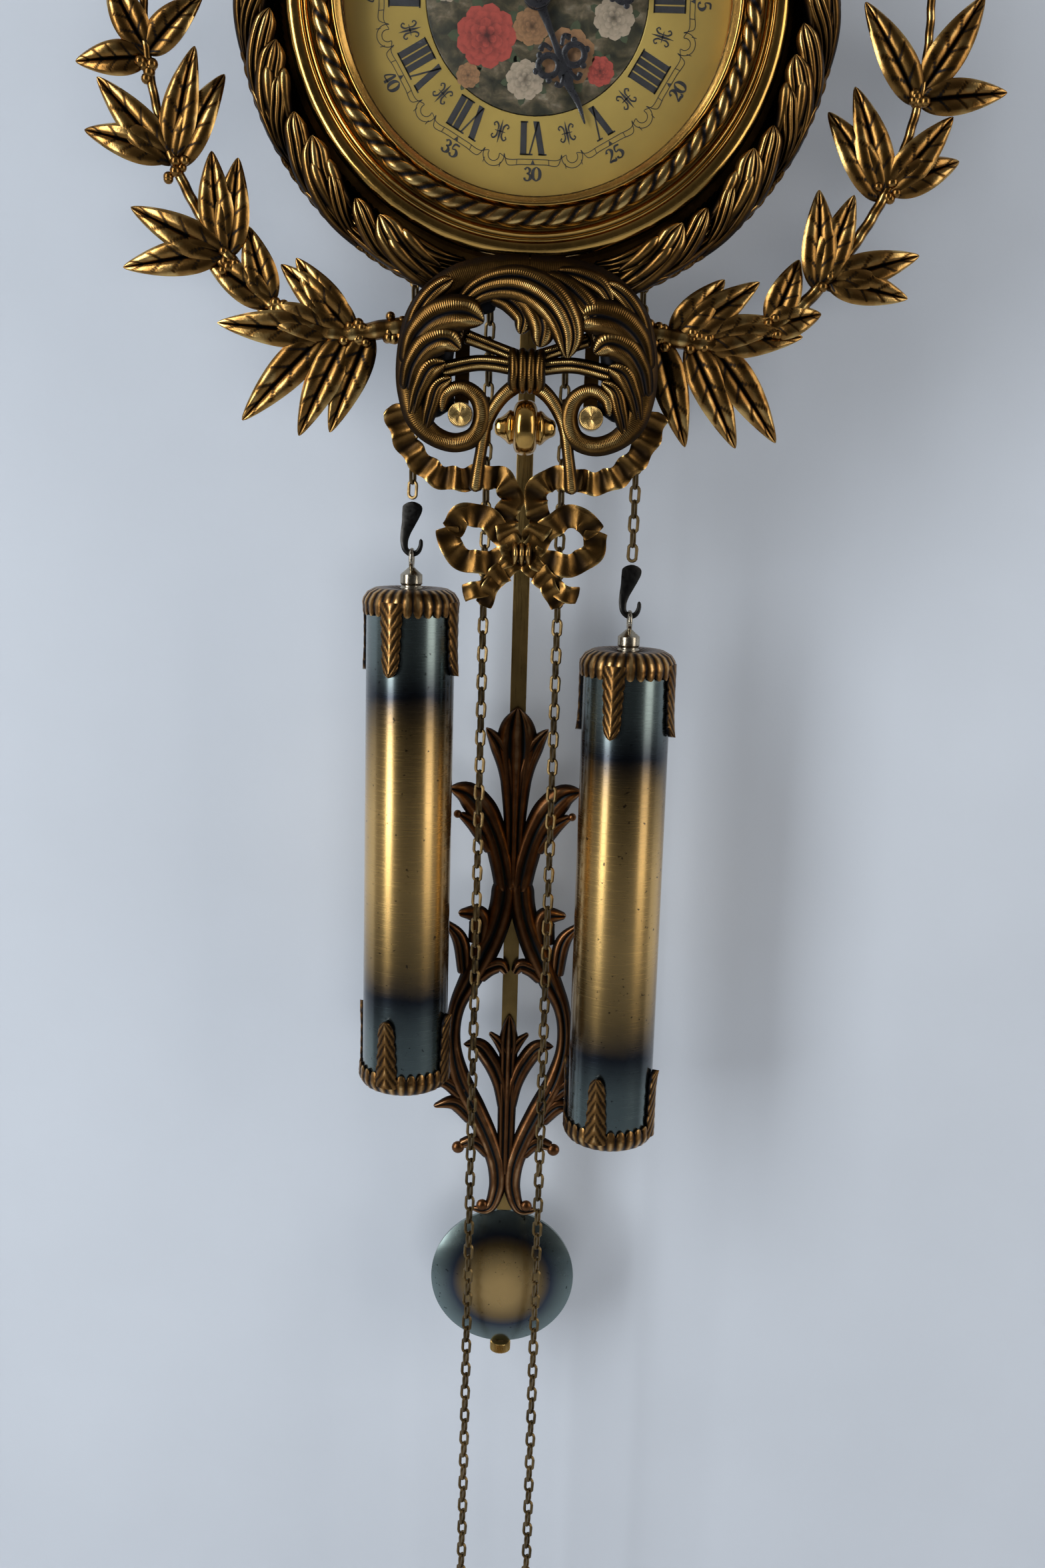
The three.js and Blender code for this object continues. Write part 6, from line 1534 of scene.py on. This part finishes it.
def chain_link(place, along, side):
    """One link: a round wire carried along a stadium, two half circles joined by straight sides.
    The stadium's plane holds the along and the side direction."""
    along, side = np.asarray(along, float), np.asarray(side, float)
    normal = np.cross(along, side)
    angle = even_angles(14)
    bend = (LINK_WIDTH - 2 * CHAIN_WIRE) / 2
    straight = (LINK_LENGTH - LINK_WIDTH) / 2
    centre = (np.outer(bend * np.cos(angle), side)
              + np.outer(bend * np.sin(angle) + straight * np.sign(np.sin(angle + 1e-6)), along))
    out = np.outer(np.cos(angle), side) + np.outer(np.sin(angle), along)
    wire = even_angles(6)
    rings = (np.asarray(place) + centre[:, None] + CHAIN_WIRE * (out[:, None] * np.cos(wire)[None, :, None]
             + normal[None, None, :] * np.sin(wire)[None, :, None]))
    return loft(rings, 1.0, loop=True)


def strand(x, low, high):
    """Links from the low end upwards. Their planes stand at right angles in turn, the strand being
    twisted a little out of the wall's plane."""
    count = int((high - low - LINK_LENGTH) // CHAIN_PITCH) + 1
    start, twist = low + LINK_LENGTH / 2, math.radians(STRAND_TWIST)
    sides = ((math.cos(twist), math.sin(twist), 0), (-math.sin(twist), math.cos(twist), 0))
    return [chain_link((x, CHAIN_PLANE, start + CHAIN_PITCH * k), (0, 0, 1), sides[k % 2])
            for k in range(count)]


def bow_over_wheel(centre):
    """Four links along the upper rim of a chain wheel, flat and upright in turn."""
    radius = WHEEL_RADIUS + 0.3
    links = []
    for k in range(-1, 3):
        turn = (k - 0.5) * CHAIN_PITCH / radius
        place = (centre + radius * math.sin(turn), CHAIN_PLANE, -WHEEL_DROP + radius * math.cos(turn))
        across = (0, 1, 0) if k % 2 else (-math.sin(turn), 0, -math.cos(turn))
        links.append(chain_link(place, (math.cos(turn), 0, -math.sin(turn)), across))
    return links


class CLOCK_OT_chains(bpy.types.Operator):
    """Makes the four chain strands of single links, the bows over the chain wheels and the end rings"""

    bl_idname = "clock.chains"
    bl_label = "Chains"

    def execute(self, context):
        for name, side in (("right", 1), ("left", -1)):
            node = f"{name}_chain_weight_side"
            links = strand(middle_of(node), foot_of(node), top_of(node))
            make_piece(f"links_{node}", links, "chain_brass", f"{name}_line", [node])
            node = f"{name}_chain_free_side"
            x, low = middle_of(node), foot_of(node)
            ring = [[x + END_RING_RADIUS * np.cos(a), CHAIN_PLANE,
                     low + END_RING_RISE + END_RING_RADIUS * np.sin(a), END_RING_WIRE, END_RING_WIRE]
                    for a in np.linspace(0, TURN, 33)]
            parts = strand(x, low + 12.6, top_of(node)) + [stroke(ring, round_section(10), 64, (0, 0))]
            make_piece(f"links_{node}", parts, "chain_brass", f"{name}_free_chain", [node])
            node = f"{name}_chain_over_wheel"
            make_piece(f"links_{node}", bow_over_wheel(side * WHEEL_SPREAD), "chain_brass", "case", [node])
        return {"FINISHED"}


# across, share of the height, half width
HOOK_SHARES = [
    [4, 0.33, 0.8], [3.9, 0.2, 1], [2.4, 0.09, 1.2], [-0.2, 0.06, 1.3], [-2.7, 0.13, 1.4],
    [-3.4, 0.27, 1.7], [-2.8, 0.44, 2.3], [-1.6, 0.6, 3.1], [-0.6, 0.75, 4], [0.1, 0.87, 4.4],
    [0.3, 0.98, 3.6],
]
CAP_INNER = WEIGHT_RADIUS + 0.25
CAP_OUTER = WEIGHT_RADIUS + 1.75
# radius, rise above the tube's end, depth of the flutes, depth of the scallops, relief
CAP_SECTION = np.array([
    [0.4, 0, 0, 0, 0.3], [5.4, 0, 0, 0, 0.6], [6.6, 1.2, 0.2, 0, 0.6], [11, 2.4, 0.7, 0, 0.8],
    [16.5, 2.2, 1, 0, 1], [19.8, 0.4, 1.1, 0, 1], [CAP_OUTER - 0.2, -2.2, 1, 0, 1],
    [CAP_OUTER + 0.3, -4.1, 0.9, 0, 1], [CAP_OUTER + 0.1, -5.4, 0.9, 0.2, 0.9],
    [CAP_OUTER, -6.6, 0.8, 0.8, 0.9], [CAP_OUTER, -8.2, 0.6, 1.6, 0.9], [CAP_OUTER - 0.4, -9.6, 0.3, 2.4, 1],
    [CAP_INNER, -9.6, 0, 2.4, 0.1], [CAP_INNER, -1.75, 0, 0, 0], [0.4, -1.75, 0, 0, 0],
])
CAP_FLUTES = 14
CAP_LEAF_LENGTH = 33.0
CAP_LEAF_HALF_WIDTH = 5.4
CAP_LEAF_TEETH = 6
CAP_TURN = 70.0
EYE_RADIUS = 3.9
EYE_WIRE = 1.1
EYE_DROP = 5.0


def cap_dome(x, rim, sign):
    """A dome over a beaded rim, with flutes and a scalloped edge by the cosine of the angle."""
    depth, hem, level = CAP_SECTION[None, :, 2], CAP_SECTION[None, :, 3], CAP_SECTION[None, :, 4]
    profile = np.stack([CAP_SECTION[:, 0], rim + sign * CAP_SECTION[:, 1]], -1)

    def ripple(angle):
        """How far the flutes sink and the scallops rise at an angle"""
        wave = np.abs(np.cos(angle * CAP_FLUTES))
        return -0.5 * depth * (1 - wave), sign * 1.3 * hem * (1 - wave**0.6)

    angle = even_angles(224)[:, None]
    groove = 1 - 0.8 * (1 - np.abs(np.cos(angle * CAP_FLUTES))) * (depth > 0.15)
    tone = np.clip(np.clip(groove, 0, 1) * level, 0, 1)
    return upright(profile, x, CHAIN_PLANE, 224, tone, ripple)


def cap_leaves(x, rim, sign):
    """Four leaves bent round the tube. The width narrows to a blunt tip with scallops along its
    edges, and the relief is a rib between slanting barbs."""
    t = np.linspace(0, 1, 64)[:, None]
    s = np.linspace(-1, 1, 15)[None, :]
    scallop = 0.84 + 0.16 * np.abs(np.sin(np.pi * CAP_LEAF_TEETH * t)) ** 0.6
    tip = np.sqrt(np.clip((1 - t) / 0.14, 0, 1))
    width = CAP_LEAF_HALF_WIDTH * (1 - 0.35 * t) * scallop * tip + 0.05
    barbs = np.abs(np.sin(np.pi * (CAP_LEAF_TEETH * t + 1.7 * np.abs(s)))) ** 0.7
    rib = np.exp(-(s / 0.16) ** 2)
    rise = 0.7 + 0.9 * (1 - s**2) + 0.45 * barbs * (1 - rib) + 0.5 * rib + 1.3 * t**6
    tone = np.clip(0.15 + 0.7 * barbs * (1 - 0.4 * rib) + 0.4 * rib, 0, 1)
    across = np.concatenate([s * width, -s * width], 1)
    reach = CAP_INNER + 0.3 + np.concatenate([rise, 0 * rise], 1)
    tone = np.concatenate([tone, 0 * tone], 1)
    level = rim - sign * (3 + CAP_LEAF_LENGTH * t) + 0 * across
    leaves = []
    for k in range(4):
        turn = math.radians(CAP_TURN + 90 * k) + across / WEIGHT_RADIUS
        rings = np.stack([x + reach * np.cos(turn), CHAIN_PLANE - reach * np.sin(turn), level], -1)
        leaves.append(loft(rings, tone))
    return leaves


def cap_parts(x, rim, sign):
    """A cast cap. The sign is 1 for the top cap, whose leaves hang, and -1 for the foot cap."""
    return [cap_dome(x, rim, sign), *cap_leaves(x, rim, sign)]


def tube_part(node):
    """The lacquered tube, with the share of its height as its relief."""
    foot, top = foot_of(node), top_of(node)
    share = np.linspace(0, 1, 60)
    wall = np.stack([WEIGHT_RADIUS + 0 * share, foot + (top - foot) * share], -1)
    profile = np.concatenate([[[0.01, foot]], wall, [[0.01, top]]])
    return upright(profile, middle_of(node), CHAIN_PLANE, 96, np.concatenate([[0], share, [1]]))


def foot_nut(x, low):
    """The hexagonal nut under the foot cap."""
    profile = rounded_profile([[0.3, low], [4.9, low], [4.9, low + 2.4], [0.3, low + 2.4]], 0.4)
    return upright(profile, x, CHAIN_PLANE, 6, 0.8)


def eye_parts(node):
    """A ring of round wire on a turned nut with a groove."""
    x, high, low = middle_of(node), top_of(node), foot_of(node)
    ring = [[x, CHAIN_PLANE + EYE_RADIUS * np.cos(a), high - EYE_DROP + EYE_RADIUS * np.sin(a),
             EYE_WIRE, EYE_WIRE] for a in np.linspace(0, TURN, 29)]
    nut = rounded_profile([
        [0.3, low], [5, low], [5, low + 2.2], [4.5, low + 2.5], [4.5, low + 3.6], [5, low + 3.9],
        [5, low + 8], [2.2, low + 10.4], [1.4, low + 11.2], [0.3, low + 11.2]], 0.25)
    return [stroke(ring, round_section(10), 56, (0, 0), faces=(1, 0, 0)), upright(nut, x, CHAIN_PLANE, 48)]


def hook_part(node):
    """A plate cut to the shape of a hook."""
    x, low, high = middle_of(node), foot_of(node), top_of(node)
    half = depth_of(node)[1]
    route = [[x + across, CHAIN_PLANE, low + share * (high - low), wide, half]
             for across, share, wide in HOOK_SHARES]
    return stroke(route, band_section(5), 72, (0.04, 0.07))


class CLOCK_OT_weights(bpy.types.Operator):
    """Makes the two weights with cast caps, shaded tubes, eye nuts and flat hooks"""

    bl_idname = "clock.weights"
    bl_label = "Weights"

    def execute(self, context):
        for name in ("right", "left"):
            body = f"{name}_weight"
            node = f"{name}_weight_tube"
            x = middle_of(node)
            make_piece(f"shaded_{node}", [tube_part(node)], "weight_lacquer", body, [node])
            node = f"{name}_weight_top_cap"
            make_piece(f"cast_{node}", cap_parts(x, top_of(node), 1), "cast_antique", body, [node])
            node = f"{name}_weight_foot_cap"
            low = foot_of(node)
            parts = [*cap_parts(x, low + 2, -1), foot_nut(x, low)]
            make_piece(f"cast_{node}", parts, "cast_antique", body, [node])
            node = f"{name}_weight_eye"
            make_piece(f"turned_{node}", eye_parts(node), "nickel", body, [node])
            node = f"{name}_weight_hook"
            make_piece(f"forged_{node}", [hook_part(node)], "dark_steel", f"{name}_line", [node])
        return {"FINISHED"}


# Case and movement

class CLOCK_OT_case(bpy.types.Operator):
    """Makes the smooth drum and its flange, and finishes the plates, wheels and striking work"""

    bl_idname = "clock.case"
    bl_label = "Case and Movement"

    def execute(self, context):
        make_drum()
        dress(["back_plate", "movement_front_plate", "movement_back_plate", "time_great_wheel",
               "centre_wheel", "third_wheel", "escape_wheel", "strike_great_wheel", "pin_wheel", "fly",
               "time_chain_wheel", "strike_chain_wheel", "minute_wheel", "hour_wheel"], "brass")
        dress(["anchor_and_crutch", "cannon_pinion", "hammer", "bell_stand"], "dark_steel")
        make_bell()
        return {"FINISHED"}


def cut_away(piece, low, high):
    """Cuts a box between two corners out of a piece with a Boolean modifier, and applies it."""
    bpy.ops.mesh.primitive_cube_add(size=1)
    tool = bpy.context.object
    tool.data.transform(Matrix.Translation((Vector(low) + Vector(high)) / 2)
                        @ Matrix.Diagonal((*(Vector(high) - Vector(low)), 1)))
    modifier = piece.modifiers.new("cut", "BOOLEAN")
    modifier.operation, modifier.solver, modifier.object = "DIFFERENCE", "EXACT", tool
    bpy.context.view_layer.update()
    result = bpy.data.meshes.new_from_object(piece.evaluated_get(bpy.context.evaluated_depsgraph_get()))
    piece.modifiers.clear()
    piece.data = result
    bpy.data.objects.remove(tool)


DRUM_BACK, DRUM_FRONT = 3.3, 90.3
DRUM_INNER, DRUM_OUTER = 86.5, 88.0
FLANGE_BACK, FLANGE_FRONT = 80.1, 83.1
FLANGE_RADIUS = 114.0
STRAP_PLANE = 81.8
STRAP_LEVELS = (-105, -125, -145, -165.6)
TONGUE_LEVELS = (101, 113, 125.6)
FLAT_SECTION = np.array([[1, 1, 0.6], [-1, 1, 0.6], [-1, -1, 0.6], [1, -1, 0.6]], float)
# opposite corners: the slot of the pendulum and those of the chains
CASE_SLOTS = [
    ((-18, -40, -95), (18, -24, -44)),
    ((-56.05, -70.75, -95), (-9.95, -57.25, -44)),
    ((9.95, -70.75, -95), (56.05, -57.25, -44)),
]


def make_drum():
    """The drum with its flange and the slots in its wall, and the flat straps that carry the crest
    and the cartouche. The straps stand a little proud of the flange."""
    shell = rounded_profile([
        [DRUM_INNER, DRUM_BACK], [DRUM_OUTER, DRUM_BACK], [DRUM_OUTER, FLANGE_BACK - 1.2],
        [DRUM_OUTER + 1.2, FLANGE_BACK], [FLANGE_RADIUS, FLANGE_BACK], [FLANGE_RADIUS, FLANGE_FRONT],
        [DRUM_OUTER + 0.8, FLANGE_FRONT], [DRUM_OUTER, FLANGE_FRONT + 0.8], [DRUM_OUTER, DRUM_FRONT],
        [DRUM_INNER, DRUM_FRONT]], 0.4)
    piece = make_piece("smooth_drum", [turned(shell, 256, relief=0.6)], "case_gilt", "case", ["drum_case"],
                       sharp=35)
    for low, high in CASE_SLOTS:
        cut_away(piece, [v * MM for v in low], [v * MM for v in high])
    tongue = [[0, STRAP_PLANE, z, 14, 1.5] for z in TONGUE_LEVELS]
    parts = [stroke(tongue, FLAT_SECTION, 12, (0, 0))]
    for side in (-1, 1):
        strap = [[side * STRAP_SPREAD, STRAP_PLANE, z, 3, 1.5] for z in STRAP_LEVELS]
        parts.append(stroke(strap, FLAT_SECTION, 20, (0, 0)))
    make_piece("case_straps", parts, "case_gilt", "case")


def make_bell():
    """The bell's wall follows a quarter circle from crown to mouth."""
    back, radius, deep, wall, bore = back_of("bell"), 22.0, 18.0, 1.5, 2.2
    centre = (middle_of("bell"), (top_of("bell") + foot_of("bell")) / 2)
    bend = np.radians(np.linspace(8, 90, 24))
    outside = np.stack([radius * np.sin(bend), back + deep * (1 - np.cos(bend))], -1)
    inside = outside[::-1] - [wall, 0]
    inside[:, 1] = np.maximum(inside[:, 1], back + wall)
    profile = np.concatenate([[[bore, back]], outside, inside[inside[:, 0] > bore], [[bore, back + wall]]])
    make_piece("cast_bell", [turned(profile, 96, centre)], "nickel", "case", ["bell"])


# Stage

class CLOCK_OT_stage(bpy.types.Operator):
    """Makes the pale wall that runs down to a floor, the soft lamps and the camera"""

    bl_idname = "clock.stage"
    bl_label = "Wall, Light and Camera"

    def execute(self, context):
        make_backdrop()
        make_light()
        make_camera(context.scene)
        return {"FINISHED"}


WALL, FLOOR, BEND = 0.004, -1.75, 0.5
# name, place, target, size, power, colour
LAMPS = [
    ("window_left", (-1.6, -1.5, 0.35), (0, 0, -0.15), (0.62, 2.6), 43, (0.93, 0.97, 1.0)),
    ("window_right", (1.9, -1.2, 0.2), (0, 0, -0.3), (0.9, 2.4), 16, (1.0, 0.97, 0.92)),
    ("soft_fill", (0.2, -2.6, -0.6), (0, 0, -0.3), (1.6, 0.8), 18, (1.0, 0.98, 0.95)),
]
ROOM_STOPS = [(0.02, (0.05, 0.05, 0.052)), (0.4, (0.24, 0.25, 0.27)), (0.7, (0.62, 0.65, 0.7))]
ROOM_STRENGTH = 0.8
CAMERA_ACROSS = 0.0032
CAMERA_HEIGHT = -0.1862
CAMERA_TIP = 11.5
CAMERA_ROLL = 1.66


def make_backdrop():
    """A wall that bends into a floor well below the clock. Its faces look towards the room."""
    angle = np.linspace(0, np.pi / 2, 16)
    curve = np.stack([WALL - BEND * (1 - np.cos(angle)), FLOOR + BEND * (1 - np.sin(angle))], -1)
    profile = np.concatenate([[[WALL, 3], [WALL, 1]], curve, [[-2.5, FLOOR], [-4.5, FLOOR]]])
    across = np.linspace(-4, 4, 9)[:, None]
    grid = np.stack(np.broadcast_arrays(across, profile[:, 0], profile[:, 1]), -1)
    index = np.arange(9 * len(profile)).reshape(9, -1)
    faces = np.stack([index[:-1, :-1], index[:-1, 1:], index[1:, 1:], index[1:, :-1]], -1).reshape(-1, 4)
    mesh = bpy.data.meshes.new("backdrop")
    mesh.from_pydata(grid.reshape(-1, 3), [], faces.tolist())
    mesh.shade_smooth()
    mesh.materials.append(finishes["pale_plaster"])
    backdrop = bpy.data.objects.new("backdrop", mesh)
    bpy.context.scene.collection.objects.link(backdrop)


def add_lamp(name, place, target, size, power, colour):
    """A rectangular area lamp at a place, turned towards its target."""
    lamp = bpy.data.lights.new(name, "AREA")
    lamp.shape, lamp.size, lamp.size_y = "RECTANGLE", size[0], size[1]
    lamp.energy, lamp.color = power, colour
    holder = bpy.data.objects.new(name, lamp)
    holder.location = place
    holder.rotation_euler = (Vector(target) - Vector(place)).to_track_quat("-Z", "Y").to_euler()
    bpy.context.scene.collection.objects.link(holder)
    return holder


def make_light():
    """A tall window light from the upper left, a weaker one from the right, a soft fill that isn't
    mirrored in the metal or seen through the glass, and a dim room whose tone changes with the
    direction: pale behind the clock and darker behind the viewer."""
    *_, fill = [add_lamp(*row) for row in LAMPS]
    fill.visible_glossy = fill.visible_transmission = False
    world = bpy.data.worlds.new("room")
    bpy.context.scene.world = world
    world.use_nodes = True
    tree = world.node_tree
    tree.nodes.clear()
    place = add_node(tree, "TexCoord").outputs["Generated"]
    depth = add_node(tree, "SeparateXYZ", {0: place}).outputs["Y"]
    share = sums(tree, "ADD", sums(tree, "MULTIPLY", depth, 0.5), 0.5)
    ground = add_node(tree, "Background", {0: ramp(tree, share, ROOM_STOPS), 1: ROOM_STRENGTH})
    output = add_node(tree, "OutputWorld")
    tree.links.new(ground.outputs[0], output.inputs[0])


def make_camera(scene):
    """Looks along +Y from in front of the weights, tipped down and rolled a little."""
    sizes = scene.clock_sizes
    camera = bpy.data.cameras.new("camera")
    camera.lens = sizes.camera_lens
    camera.sensor_width = 36
    holder = bpy.data.objects.new("camera", camera)
    holder.location = (CAMERA_ACROSS, -sizes.camera_distance, CAMERA_HEIGHT)
    tip = Matrix.Rotation(math.radians(90 - CAMERA_TIP), 4, "X")
    roll = Matrix.Rotation(math.radians(CAMERA_ROLL), 4, "Z")
    holder.rotation_euler = (tip @ roll).to_euler()
    scene.collection.objects.link(holder)
    scene.camera = holder


class CLOCK_PT_pieces(bpy.types.Panel):
    """Lists the pieces of the clock in the sidebar"""

    bl_idname = "CLOCK_PT_pieces"
    bl_label = "Gilt Wall Clock"
    bl_space_type = "VIEW_3D"
    bl_region_type = "UI"
    bl_category = "Clock"

    def draw(self, context):
        for operator in OPERATORS:
            self.layout.operator(operator.bl_idname, text=operator.bl_label)
        for group in (context.scene.clock_sizes, context.scene.clock_colours):
            for key in type(group).__annotations__:
                self.layout.prop(group, key)


OPERATORS = (CLOCK_OT_case, CLOCK_OT_dial, CLOCK_OT_hands, CLOCK_OT_bezel, CLOCK_OT_glass, CLOCK_OT_collar,
             CLOCK_OT_laurel, CLOCK_OT_cartouche, CLOCK_OT_pendulum, CLOCK_OT_chains, CLOCK_OT_weights,
             CLOCK_OT_stage)
CLASSES = (ClockSizes, ClockColours, *OPERATORS, CLOCK_PT_pieces)


def register():
    """Registers the classes and hangs the two groups of properties on the scene"""
    for item in CLASSES:
        bpy.utils.register_class(item)
    bpy.types.Scene.clock_sizes = bpy.props.PointerProperty(type=ClockSizes)
    bpy.types.Scene.clock_colours = bpy.props.PointerProperty(type=ClockColours)


def unregister():
    """Takes the two groups off the scene and unregisters the classes"""
    del bpy.types.Scene.clock_sizes
    del bpy.types.Scene.clock_colours
    for item in reversed(CLASSES):
        bpy.utils.unregister_class(item)


def main():
    """Makes the finishes, then each group of pieces in its order"""
    register()
    bpy.context.scene.view_settings.view_transform = "Standard"
    make_finishes(bpy.context.scene.clock_colours)
    for operator in OPERATORS:
        group, name = operator.bl_idname.split(".")
        getattr(getattr(bpy.ops, group), name)()


if __name__ == "__main__":
    main()
